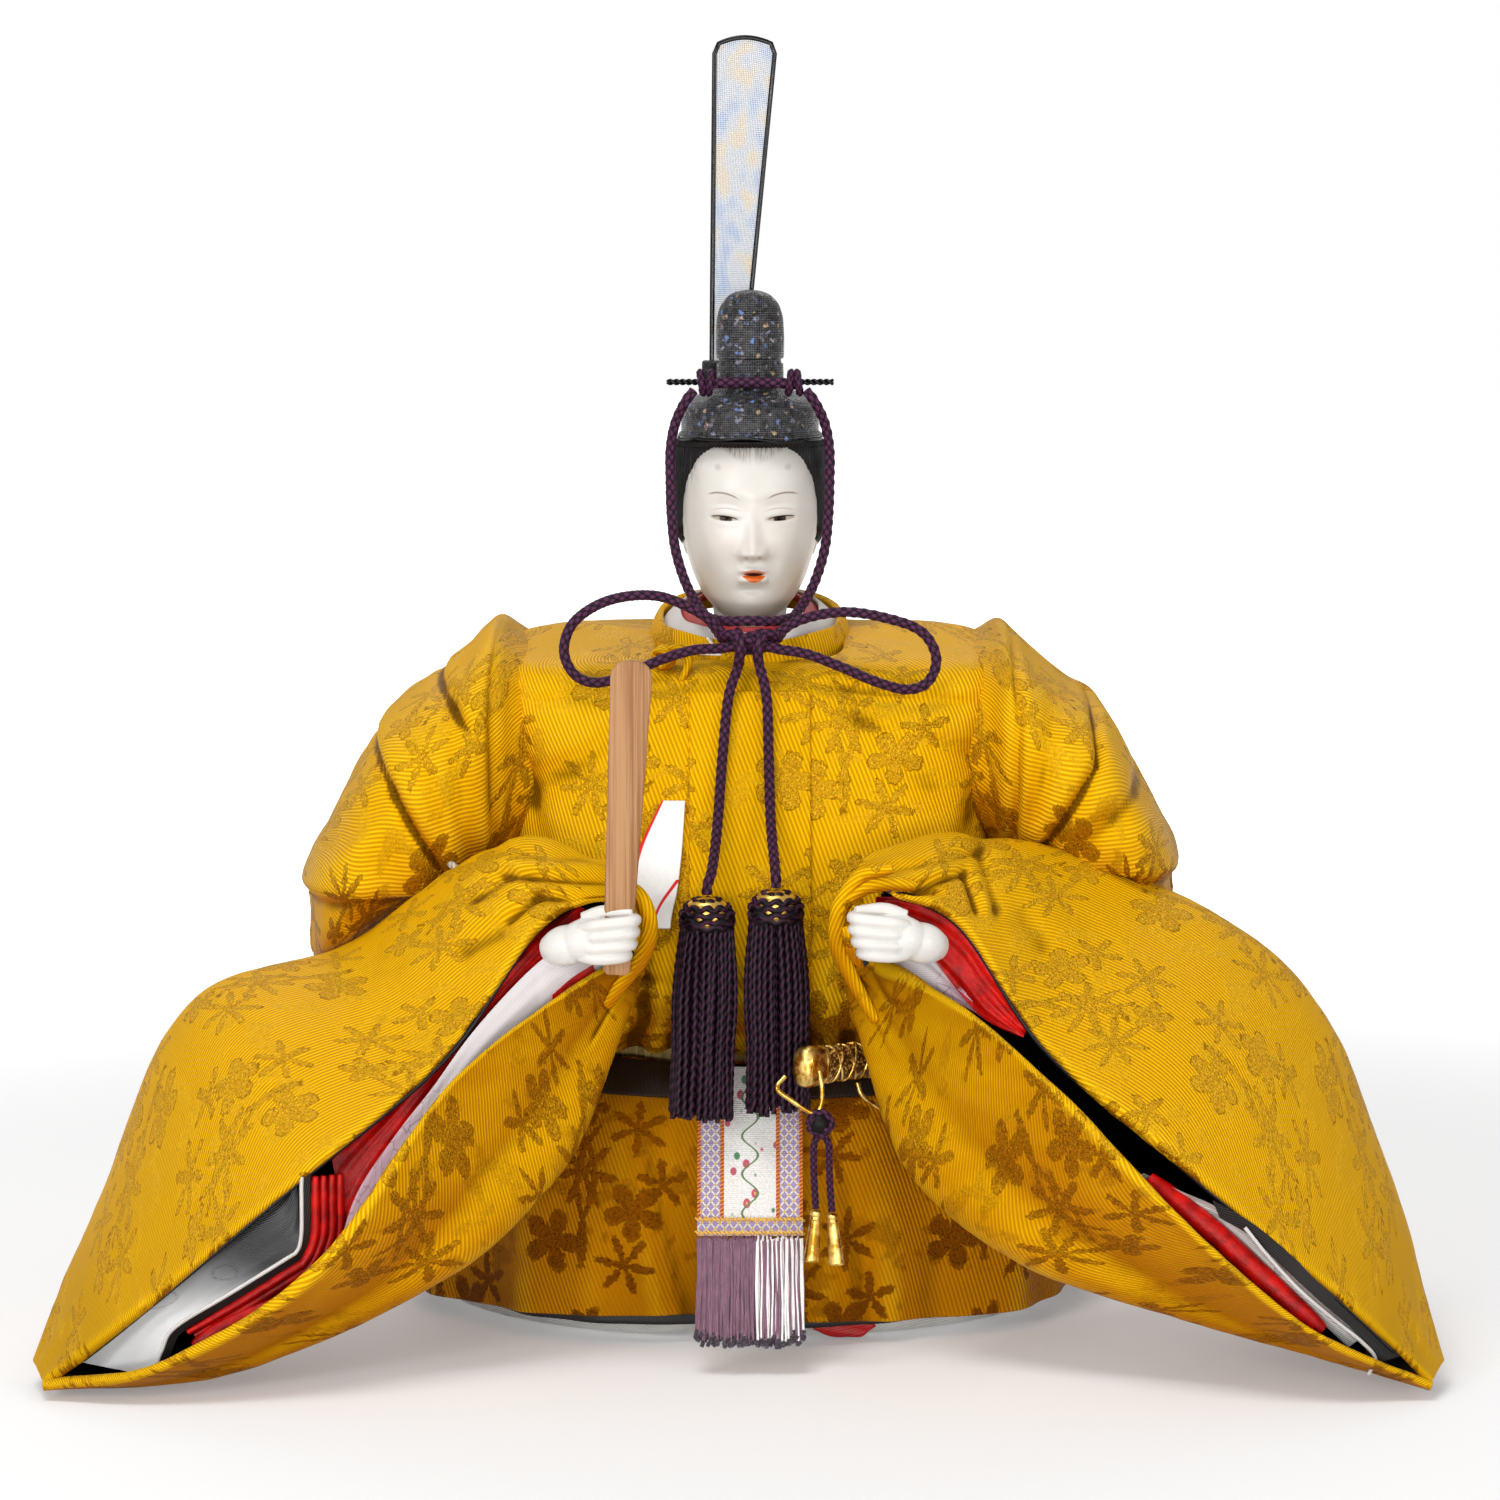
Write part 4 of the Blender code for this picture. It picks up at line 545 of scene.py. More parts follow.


# light and shade are the cloth's painted lit and shaded colours; the last two are the same for the figure's threads
def brocade(name, light="F4BC0A", shade="B87003", thread_shaded="BC7404", thread_lit="F2BC20"):
    finish, tree, shader = begin(name, "DBA008", 0.50, Specular_IOR_Level=0.14, Specular_Tint=dye("FFC53A"),
                                 Sheen_Weight=0.02, Sheen_Roughness=0.4, Sheen_Tint=dye("FFC23A"))
    across, along = cloth_place(tree)
    rib = ribs(tree, across, along, RIB_PITCH, RIB_LEAN)
    column = calc(tree, "FLOOR", calc(tree, "DIVIDE", across, TILE[0]))
    shift = times_plus(tree, column, TILE[1] * 0.5, along)
    x = calc(tree, "FLOORED_MODULO", across, TILE[0])
    y = calc(tree, "FLOORED_MODULO", shift, TILE[1])
    wobble = flat_place(tree, across, along)
    ragged = speckle(tree, wobble, 0.9, 3.0)
    x = plus(tree, x, times_plus(tree, ragged, 2.2, -1.1))
    y = plus(tree, y, times_plus(tree, speckle(tree, wobble, 0.75, 2.0), 2.2, -1.1))
    figure = relief = None
    for motif in SPRAYS:
        inside, height = spray(tree, x, y, motif)
        figure = inside if figure is None else larger(tree, figure, inside)
        relief = height if relief is None else larger(tree, relief, height)
    for start, sway, lean in ((14.0, 3.0, 0.25), (24.0, -3.5, -0.2)):
        path = times_plus(tree, sine(tree, times(tree, y, math.tau / 38)), sway, start)
        path = times_plus(tree, y, lean, path)
        stalk = band(tree, size_of(tree, minus(tree, x, path)), 0.75, 0.35)
        ends = times(tree, band(tree, y, 6.0, 9.0), band(tree, y, 38.0, 35.0))
        stalk = times(tree, stalk, ends)
        figure = larger(tree, figure, stalk)
        relief = larger(tree, relief, stalk)
    crepe = add(tree, "TexVoronoi", {"Vector": stretched(tree, wobble, 1.0, 1.7, 1.0), "Scale": 1.15,
                                     "Randomness": 0.85}, feature="F1").outputs[0]
    crumple = band(tree, crepe, 0.62, 0.10)
    crumbs = times(tree, band(tree, speckle(tree, wobble, 0.14, 2.0), 0.52, 0.60),
                   band(tree, times(tree, band(tree, y, 2.0, 8.0), band(tree, y, 45.0, 38.0)), 0.2, 0.9))
    crumbs = times(tree, crumbs, 0.5)
    rim = times(tree, band(tree, figure, 0.05, 0.35), band(tree, figure, 0.95, 0.5))
    figure = larger(tree, figure, crumbs)
    relief = larger(tree, relief, crumbs)
    crackle = add(tree, "TexVoronoi", {"Vector": stretched(tree, wobble, 1.0, 1.5, 1.0, (0, 0, 0.5)), "Scale": 1.25,
                                       "Randomness": 1.0}, feature="DISTANCE_TO_EDGE").outputs[0]
    dent = band(tree, crackle, 0.15, 0.03)
    crumple = times(tree, crumple, band(tree, crackle, 0.0, 0.25, 0.25, 1.0))
    raised = times(tree, relief, times_plus(tree, crumple, 0.75, 0.25))
    ground = times(tree, rib, minus(tree, 1.0, times(tree, figure, 0.9)))
    slow = speckle(tree, own_place(tree), 28.0, 2.0)
    up = written(tree, "faces_up")
    hollow = written(tree, "hollow")
    # painted light and shade: faces turned up take the light colour, faces turned down the shade colour
    lit = plus(tree, up, times_plus(tree, slow, 0.6, -0.3))
    base = tint(tree, band(tree, lit, -0.55, 0.22), shade, light)
    # painted highlight along the ridges of the folds, where the cloth stands above its smoothed shape
    base = tint(tree, band(tree, hollow, -0.14, -0.60, 0.0, 0.55), base, "F9C81C")
    base = tint(tree, times(tree, minus(tree, 1.0, rib), minus(tree, 0.72, times(tree, figure, 0.65))), base, "B06C00")
    floss = speckle(tree, stretched(tree, wobble, 3.2, 1.1, 1.0, (0, 0, 0.5)), 1.0, 3.0)
    # painted light and shade on the figure's threads: lighter on faces turned up, darker on faces turned down
    thread = tint(tree, band(tree, up, -0.3, 0.3), thread_shaded, thread_lit)
    # painted shade in the dents and crinkles of the figure's relief, stronger and darker on faces turned down
    dip = times(tree, larger(tree, dent, times(tree, band(tree, crumple, 0.35, 0.1), 0.6)),
                band(tree, floss, 0.30, 0.50))
    dip = times(tree, dip, band(tree, up, 0.0, 0.6, 0.95, 0.8))
    thread = tint(tree, dip, thread, tint(tree, band(tree, up, -0.2, 0.5), "4E2002", "864402"))
    base = tint(tree, times(tree, figure, 0.9), base, thread)
    base = tint(tree, times(tree, rim, 0.75), base, "744404")
    # painted shade deep in the valleys of the folds
    base = tint(tree, band(tree, hollow, 0.03, 0.62, 0.0, 0.85), base, "502A02")
    coat(tree, shader, base)
    raised = times(tree, raised, times_plus(tree, floss, 0.8, 0.6))
    raise_up(tree, shader, plus(tree, times(tree, ground, 0.30), raised), 0.62 * MM, 1.0)
    return finish


gold_brocade = brocade("gold_brocade")
# a darker copy for the skirt: its colours are painted shade, where the sleeves shadow the skirt
shaded_brocade = brocade("shaded_brocade", "BC7A06", "6E3A02", "5A2404", "8A4C06")


def oval(rise, half, front, back, steps, boxy=2.0, tilt=0.0, wave=None):
    """One ring of a body, from its back round over the left side to the front."""
    ring = []
    for k in range(steps + 1):
        turn = math.pi / 2 + math.tau * k / steps
        c, s = math.cos(turn), math.sin(turn)
        r = boxed(c, s, boxy)
        fold = wave(turn) if wave else 0.0
        y = (back if s > 0 else front) * r * s + fold * s
        ring.append(Vector((half * r * c + fold * c, y, rise + tilt * y)))
    return ring


def mound(at, middle, width):
    return math.exp(-((at - middle) / width) ** 2)


def crease(p, start, end, width, depth, step=0.0):
    """Depth of a crease from start to end, seen from the front: (x, z) in mm.
    A step lifts the cloth on one side of it, as where a fold lies over."""
    x, z = p.x / MM, p.z / MM
    ax, az = start
    bx, bz = end[0] - ax, end[1] - az
    long = math.hypot(bx, bz)
    t = ((x - ax) * bx + (z - az) * bz) / long ** 2
    off = ((x - ax) * -bz + (z - az) * bx) / long
    ends = 1 / (1 + math.exp(-(t + 0.02) * 18)) / (1 + math.exp((t - 1.02) * 18))
    return ends * (-depth * math.exp(-(off / width) ** 2)
                   + step * math.exp(-max(off, 0) / (width * 5)) * (0.5 + 0.5 * math.tanh(off / (width * 0.45))))


BODY_RISE, BODY_HALF, BODY_FRONT, BODY_BACK = 140.5 * MM, 51.5 * MM, 56.0 * MM, 47.0 * MM
# rise, half width, front and back, as shares of the body; tilt
BODICE = table((
    (0.408, 0.796, 0.804, 0.872, 0), (0.425, 0.850, 0.895, 0.925, 0), (0.456, 0.897, 0.965, 0.962, 0),
    (0.500, 0.915, 1.004, 0.980, 0), (0.541, 0.921, 1.004, 0.989, 0), (0.600, 0.95, 0.982, 0.989, 0),
    (0.655, 0.979, 0.954, 0.989, 0), (0.797, 0.996, 0.811, 0.97, 0), (0.925, 1, 0.668, 0.902, 0.055),
    (0.975, 0.992, 0.60, 0.83, 0.12), (0.998, 0.955, 0.560, 0.73, 0.17), (1.010, 0.80, 0.53, 0.64, 0.20),
    (1.012, 0.62, 0.50, 0.53, 0.20), (1.002, 0.381, 0.457, 0.374, 0.15)))


def band_share(value, low, high):
    """A soft step of a number, 0 below low and 1 above high."""
    t = min(max((value - low) / (high - low), 0.0), 1.0)
    return t * t * (3 - 2 * t)


# folds seen from the front: start and end in mm, width, depth and step
BODICE_FOLDS = (((-16, 134), (-46, 129), 1.6, 0.9, 0.5), ((16, 133), (46, 129), 1.6, 1.3, 0.8),
                ((18, 128), (50, 117), 3.0, 1.0), ((22, 124), (48, 104), 4.0, 0.7),
                ((-22, 126), (-49, 108), 3.5, 0.7), ((-49, 120), (-38, 84), 2.6, 1.2),
                ((49, 114), (38, 80), 2.6, 1.2), ((-24, 104), (-20, 74), 2.2, 0.8))


def bodice_sculpt(u, v, p, normal):
    """Drape of the bodice: folds fall from the collar and bunch over the belt."""
    x, z = p.x / MM, p.z / MM
    move = 0.45 * noise.noise(p * 60) + 0.15 * noise.noise(p * 190)
    if p.y < 0:
        for fold in BODICE_FOLDS:
            move += crease(p, *fold)
        low = mound(z, 66, 10)
        move += low * (1.1 * math.sin(x * 0.42 + 1.0) + 0.7 * math.sin(x * 0.93))
        move -= 1.4 * mound(z, 73.5 + 1.2 * math.sin(x * 0.2), 1.2) * band_share(abs(x), 14, 26)
        move -= 1.6 * mound(z, 60, 3.5) * (1 + math.sin(x * 0.7))
    else:
        move += 0.5 * mound(z, 66, 10) * math.sin(x * 0.5)
        move -= 0.9 * mound(x, 0, 0.9) * (1 if z > 70 else 0)
    return normal * (move * MM)


rows = []
for z, w, f, b, t in smooth_row(BODICE, 110):
    ring = oval(BODY_RISE * z, BODY_HALF * w, BODY_FRONT * f, BODY_BACK * b, 220,
                3.4 + 2.2 * band_share(z, 0.8, 0.97), t)
    rows.append([p - Vector((0, 0, (0.8 * t + 0.10 * band_share(z, 0.9, 1.0)) * max(p.y, 0))) for p in ring])
bodice = skin("robe_bodice_brocade", rows, [gold_brocade, black_silk], away=Vector((0, 0, 100 * MM)),
              ring=True, sculpt=bodice_sculpt, hollows=14)
thicken(bodice, BROCADE, lining=True)
settle(bodice, "doll", "gold_silk", "robe_bodice")


def bodice_front(x, z):
    """How far forward the bodice stands at a place on its front."""
    for (z0, w0, f0, _, t0), (z1, w1, f1, _, t1) in zip(BODICE[:-4], BODICE[1:-3]):
        h0, h1 = BODY_RISE * z0 - t0 * BODY_FRONT * f0, BODY_RISE * z1 - t1 * BODY_FRONT * f1
        if z <= h1 or z1 == BODICE[-4][0]:
            t = min(max((z - h0) / (h1 - h0), 0.0), 1.0)
            half, front = BODY_HALF * between(w0, w1, t), BODY_FRONT * between(f0, f1, t)
            return front * (1 - (abs(x) / half) ** 3.4) ** (1 / 3.4)


FLAP_HALF, FLAP_LOW, FLAP_HIGH = 12.4 * MM, 66.5 * MM, 131.5 * MM


def flap_sculpt(u, v, p, normal):
    edge = 1 - math.exp(-min(u, 1 - u) * 16)
    move = 0.35 * edge + 0.22 * noise.noise(p * 70)
    move -= 0.5 * mound(p.z / MM, 73.5, 1.2)
    return normal * (move * MM)


rows = []
for i in range(90):
    z = between(FLAP_LOW, FLAP_HIGH, i / 89)
    rows.append([Vector((x, -bodice_front(x, z) - 1.15 * MM, z))
                 for x in (FLAP_HALF * (k / 15 - 1) for k in range(31))])
flap = skin("front_flap_brocade", rows, [gold_brocade, black_silk], away=Vector((0, 0, 100 * MM)),
            sculpt=flap_sculpt, grain=(5 * MM, 9 * MM), hollows=5)
thicken(flap, BROCADE, lining=True)
settle(flap, "doll", "gold_silk", "front_flap")

WAIST_RISE, SKIRT_LOW = 57.0 * MM, 5.0 * MM
SKIRT_HALF, SKIRT_FRONT, SKIRT_BACK = 72.0 * MM, 60.0 * MM, 58.0 * MM
SKIRT = table((
    (0, 1, 1, 1, 1), (0.15, 1, 1, 1, 0.9), (0.42, 0.975, 0.985, 0.96, 0.65),
    (0.68, 0.89, 0.94, 0.89, 0.4), (0.87, 0.76, 0.86, 0.81, 0.2), (1, 0.64, 0.77, 0.75, 0)))


def skirt_wave(fold):
    def wave(turn):
        return 1.5 * MM * fold * (math.cos(9 * turn) + 0.35 * math.cos(17 * turn + 1.0)
                                  + 0.25 * math.cos(29 * turn + 2.2))
    return wave


def skirt_rows(grow, low, high, count, drop=0.0):
    rows = []
    for i in range(count):
        z, w, f, b, fold = blend_row(SKIRT, between(low, high, i / (count - 1)))
        rows.append(oval(between(SKIRT_LOW, WAIST_RISE - 0.3 * MM, z) - drop, SKIRT_HALF * w + grow,
                         SKIRT_FRONT * f + grow, SKIRT_BACK * b + grow, 260, 2.15, wave=skirt_wave(fold)))
    return rows


def skirt_sculpt(u, v, p, normal):
    x = p.x / MM
    move = 0.30 * noise.noise(p * 50) + 0.12 * noise.noise(p * 170)
    if p.y < 0:
        move += crease(p, (-14, 3), (-22, 40), 3.0, 1.0, 0.9)
        move += crease(p, (24, 4), (18, 36), 3.2, 0.8)
        move -= 1.4 * mound(v, 0.93, 0.10) * (0.6 + 0.4 * math.sin(x * 0.6))
    dip = 1.2 * MM * math.exp(-v * 9) * math.sin(3 * math.atan2(p.y, p.x) + 0.6)
    return normal * (move * MM) + Vector((0, 0, dip if p.z < 14 * MM else 0))


skirt = skin("robe_skirt_brocade", skirt_rows(0, 0, 1, 56), [shaded_brocade, black_silk],
             away=Vector((0, 0, 30 * MM)), ring=True, sculpt=skirt_sculpt, grain=(11 * MM, 20 * MM), hollows=6)
thicken(skirt, BROCADE, lining=True)
settle(skirt, "doll", "gold_silk", "robe_skirt")

hem = skin("skirt_hem_lining_silk", skirt_rows(-1.3 * MM, 0, 0.16, 8, 1.0 * MM), [black_silk],
           away=Vector((0, 0, 5 * MM)), ring=True)
thicken(hem, 0.6 * MM, edge=0)
settle(hem, "doll", "black_silk", "skirt_hem_lining")

# the belt's dark brown is painted shade for the waist recess
belt = skin("belt_silk", skirt_rows(0.6 * MM, 0.80, 0.99, 12), [dark_silk], away=Vector((0, 0, 50 * MM)), ring=True)
thicken(belt, 1.2 * MM)
settle(belt, "doll", "black_silk", "belt")


# Collars: the gold stand-up band over a white and a red one, cut on the bias
# and wrapped right over left; the band shuts with a knotted button and a loop.

HEAD_RISE, HEAD_HALF, HEAD_DEEP, HEAD_TALL = 144.0 * MM, 14.6 * MM, 16.5 * MM, 41.5 * MM
COLLAR_TILT = 0.22


def collar(name, node, shares, thick, finish, slot, waver=0.12 * MM):
    rows = []
    for i, (z, w, f, b) in enumerate(smooth_row([Vector(s) for s in shares], 16)):
        ring = oval(BODY_RISE * z, HEAD_HALF * w, HEAD_DEEP * f, HEAD_DEEP * b, 120, 2.1, COLLAR_TILT)
        rows.append([p - Vector((0, 0, (1.5 + 1.7 * band_share(p.y, -22 * MM, -6 * MM)) * MM * i / 15)) for p in ring])
    band_cloth = skin(name, rows, [finish], away=Vector((0, 0, 145 * MM)), ring=True,
                      sculpt=lambda u, v, p, n: n * (waver * noise.noise(p * 150) - 0.25 * MM * (2 * v - 1) ** 2))
    thicken(band_cloth, thick, edge=0.25 * MM)
    settle(band_cloth, "doll", slot, node)
    return band_cloth


collar_band = collar("collar_band_brocade", "collar_band", ((0.998, 1.480, 1.710, 1.188), (1.055, 1.33, 1.588, 1.102)),
                     1.2 * MM, gold_brocade, "gold_silk")
collar("white_collar_silk", "white_collar", ((1.016, 1.28, 1.575, 1.08), (1.062, 1.02, 1.395, 1.006)),
       0.6 * MM, white_silk, "white_silk")
collar("red_collar_silk", "red_collar", ((1.021, 1.12, 1.466, 0.983), (1.065, 0.80, 1.235, 0.886)),
       0.6 * MM, red_silk, "red_silk")


def tube(name, path, thick, finish, sides=12, closed=False, taper=None):
    """A round thread or wire along a path."""
    rows = []
    side = None
    count = len(path)
    for i in range(count):
        a, b = path[max(i - 1, 0)], path[min(i + 1, count - 1)]
        if closed and i in (0, count - 1):
            a, b = path[-2], path[1]
        ahead = (b - a).normalized()
        if side is None:
            side = ahead.orthogonal().normalized()
        side = (side - ahead * side.dot(ahead)).normalized()
        up = ahead.cross(side)
        radius = thick / 2 * (taper(i / (count - 1)) if taper else 1.0)
        rows.append([path[i] + (side * math.cos(k) + up * math.sin(k)) * radius
                     for k in angles(sides)])
    return skin(name, rows, [finish], ring=True, capped=not closed)


def joined(name, pieces):
    """Several meshes made one piece."""
    bm = bmesh.new()
    finishes = []
    for piece in pieces:
        start = len(bm.faces)
        bm.from_mesh(piece.data)
        bm.faces.ensure_lookup_table()
        for finish in piece.data.materials:
            if finish not in finishes:
                finishes.append(finish)
        own = [finishes.index(m) for m in piece.data.materials]
        for face in bm.faces[start:]:
            face.material_index = own[face.material_index]
        mesh = piece.data
        bpy.data.objects.remove(piece)
        bpy.data.meshes.remove(mesh)
    return finish_mesh(name, bm, finishes)


BUTTON = Vector((-0.3456 * BODY_HALF, -0.4232 * BODY_FRONT - 6.4 * MM, 0.9822 * BODY_RISE))
loops = []
for turn in range(3):
    path = []
    for i in range(33):
        a = math.tau * i / 32
        ring = Vector((math.cos(a) * 2.0, 0, math.sin(a) * 2.0)) * MM
        ring.rotate(Matrix.Rotation(math.radians(52) * (turn - 1), 3, "Z"))
        ring.rotate(Matrix.Rotation(math.radians(60) * turn, 3, "Y"))
        path.append(BUTTON + ring + Vector((0, -0.5, 0)) * MM)
    loops.append(tube("button_turn", path, 1.5 * MM, gold_brocade, 10, closed=True))
button = joined("knotted_button", loops)
settle(button, "doll", "gold_silk", "collar_button")

loop_path = [BUTTON + Vector(p) * MM for p in (
    (0.6, -1.2, 1.6), (3.0, -1.9, 2.2), (4.6, -1.9, 1.4), (5.2, -2.2, -0.5), (4.4, -2.6, -3.2), (3.6, -2.7, -4.6))]
loop = tube("button_loop", smooth_row(loop_path, 30), 1.7 * MM, gold_brocade, 10,
            taper=lambda t: 0.75 + 0.25 * math.sin(math.pi * t))
settle(loop, "doll", "gold_silk")

white_thread, tree, shader = begin("white_thread", "F4F2EE", 0.7, Sheen_Weight=0.3)
band_form = bmesh.new()
band_form.from_mesh(collar_band.data)
skin_of_band = BVHTree.FromBMesh(band_form)
band_form.free()
stitches = []
for ends in (((-9.8, 142.4), (-6.0, 138.4)), ((-10.2, 138.2), (-6.0, 138.2))):
    path = []
    for i in range(9):
        x, z = Vector(ends[0]).lerp(Vector(ends[1]), i / 8)
        touch = skin_of_band.ray_cast(Vector((x * MM, -80 * MM, z * MM)), Vector((0, 1, 0)))[0]
        if touch:
            path.append(touch - Vector((0, 0.3 * MM, 0)))
    if len(path) > 2:
        stitches.append(tube("stitch", path, 0.6 * MM, white_thread, 8))
stitches = joined("basting_stitches", stitches)
settle(stitches, "doll", "white_silk")


# Folded paper: a pad of white paper with red edging, tucked into the breast.

PAPER_LOW, PAPER_TALL, PAPER_WIDE, PAPER_RIGHT = 85.5 * MM, 25.0 * MM, 10.5 * MM, -13.2 * MM
PAPER = table(((0.00, -0.61, -0.28), (0.12, -0.78, -0.24), (0.32, -1.01, -0.14), (0.61, -0.90, -0.06),
               (1.0, -0.45, 0.0)))
paper, tree, shader = begin("folded_paper_white", "F6F4F0", 0.8)
pulp = speckle(tree, own_place(tree), 900.0, 4.0)
share = written(tree, "share_across")
off_line = minus(tree, share, written(tree, "red_line"))
line = band(tree, size_of(tree, off_line), 0.055, 0.035)
edge = band(tree, share, 0.10, 0.07)
red = larger(tree, line, edge)
coat(tree, shader, tint(tree, red, tint(tree, pulp, "E9E6E2", "FAF9F6"), "D9141C"))
raise_up(tree, shader, pulp, 0.04 * MM, 0.5)
rows = []
for z, left, right in smooth_row(PAPER, 40):
    h = PAPER_LOW + PAPER_TALL * z
    rows.append([Vector((x, -bodice_front(x, h) - 2.0 * MM, h))
                 for x in (PAPER_RIGHT + PAPER_WIDE * between(left, right, k / 24) for k in range(25))])
sheaf = skin("paper_sheaf", rows, [paper], away=Vector((0, 0, 100 * MM)))
red_line = sheaf.data.attributes.new("red_line", "FLOAT", "POINT")
along_share = [d.value for d in sheaf.data.attributes["share_along"].data]
red_line.data.foreach_set("value", [v / 0.57 if v < 0.57 else 2.0 for v in along_share])
thicken(sheaf, 1.2 * MM, edge=0.2 * MM)
settle(sheaf, "doll", "paper", "folded_paper")


# Upper arms: the sleeve heads over the wadded arms, drawn in at the armhole
# seam and folded over at the elbow, one padded brocade piece on each side.

SHOULDER_SPAN = 43.2 * MM
# outwards from the armhole, then top, low, front and back, as shares
UPPER_ARM = {
    "left": table((
        (-0.22, 0.975, 0.66, 0.60, 0.62), (-0.06, 1.004, 0.64, 0.74, 0.78), (0.03, 1.020, 0.62, 0.86, 0.85),
        (0.10, 1.004, 0.61, 0.91, 0.90), (0.191, 0.975, 0.60, 0.936, 0.936),
        (0.363, 0.936, 0.565, 0.948, 0.936), (0.538, 0.893, 0.54, 0.924, 0.915), (0.723, 0.808, 0.50, 0.873, 0.873),
        (0.894, 0.71, 0.49, 0.723, 0.723), (0.985, 0.655, 0.50, 0.46, 0.50), (1.0, 0.60, 0.53, 0.22, 0.26))),
    "right": table((
        (-0.22, 0.975, 0.70, 0.60, 0.62), (-0.06, 1.000, 0.68, 0.74, 0.78), (0.03, 1.014, 0.67, 0.86, 0.85),
        (0.10, 0.995, 0.66, 0.91, 0.90), (0.191, 0.967, 0.65, 0.936, 0.936),
        (0.363, 0.926, 0.62, 0.948, 0.936), (0.525, 0.898, 0.60, 0.924, 0.915), (0.687, 0.812, 0.57, 0.852, 0.873),
        (0.826, 0.730, 0.56, 0.681, 0.723), (0.895, 0.685, 0.57, 0.42, 0.48), (0.907, 0.64, 0.60, 0.20, 0.24)))}


# folds by side, -1 left and 1 right, both told as on the left arm
ARM_FOLDS = {
    -1: (((-66, 134), (-57, 124), 1.4, 1.6, 0.8), ((-79, 122), (-62, 94), 1.4, 2.2, 2.2),
         ((-53, 141), (-52.5, 100), 1.1, 1.5), ((-61, 130), (-57, 98), 2.4, 1.3, 0.6),
         ((-66, 116), (-63, 98), 2.0, 0.9), ((-74, 112), (-88, 98), 3.0, 1.1)),
    1: (((-71, 128), (-71, 117), 1.3, 2.0, 1.0), ((-71, 118), (-58, 97), 1.3, 2.0, 2.0),
        ((-55, 138), (-54, 100), 1.1, 1.5), ((-62, 128), (-58, 106), 2.2, 1.2),
        ((-82, 113), (-68, 100), 2.8, 1.3))}


def arm_sculpt(side):
    def sculpt(u, v, p, normal):
        """Folds of the sleeve head, as the cloth hangs from the shoulder."""
        q = Vector((-side * p.x, p.y, p.z))
        move = 0.6 * noise.noise(p * 45) + 0.2 * noise.noise(p * 150)
        if p.y < 8 * MM:
            for fold in ARM_FOLDS[side]:
                move += crease(q, *fold)
            level = 89.0 if side < 0 else 93.0
            move -= 2.4 / (1 + math.exp((p.z / MM - level) / 0.35)) * min(1.0, max(0.0, v - 0.2) * 4)
        else:
            move += 0.5 * math.sin(p.z * 330 + p.x * 120) * mound(v, 0.55, 0.3)
        return normal * (move * MM)
    return sculpt


for word, side in SIDES:
    rows = []
    for x, top, low, front, back in smooth_row(UPPER_ARM[word], 96):
        mid, half = BODY_RISE * (top + low) / 2, BODY_RISE * (top - low) / 2
        row = []
        for k in range(141):
            a = math.pi / 2 + math.tau * k / 140
            c, s = math.cos(a), math.sin(a)
            r = boxed(c, s)
            deep = BODY_BACK * (front if c < 0 else back)
            row.append(Vector((side * (BODY_HALF + SHOULDER_SPAN * x), deep * c * r, mid + half * s * r)))
        rows.append(row)
    arm = skin("upper_sleeve_" + word, rows, [gold_brocade], ring=True, capped=True, sculpt=arm_sculpt(side),
               grain=(17 * MM, 5 * MM), hollows=14)
    settle(arm, "doll", "gold_silk", "shoulder_" + word)


# Wide lower sleeves: each is one bag of brocade, sewn shut but for the long
# slit that runs from the wrist to the tip, with its hem turned under.

WRIST, REACH, FORWARD, RISE = 17.0 * MM, 140.0 * MM, 110.0 * MM, 100.0 * MM
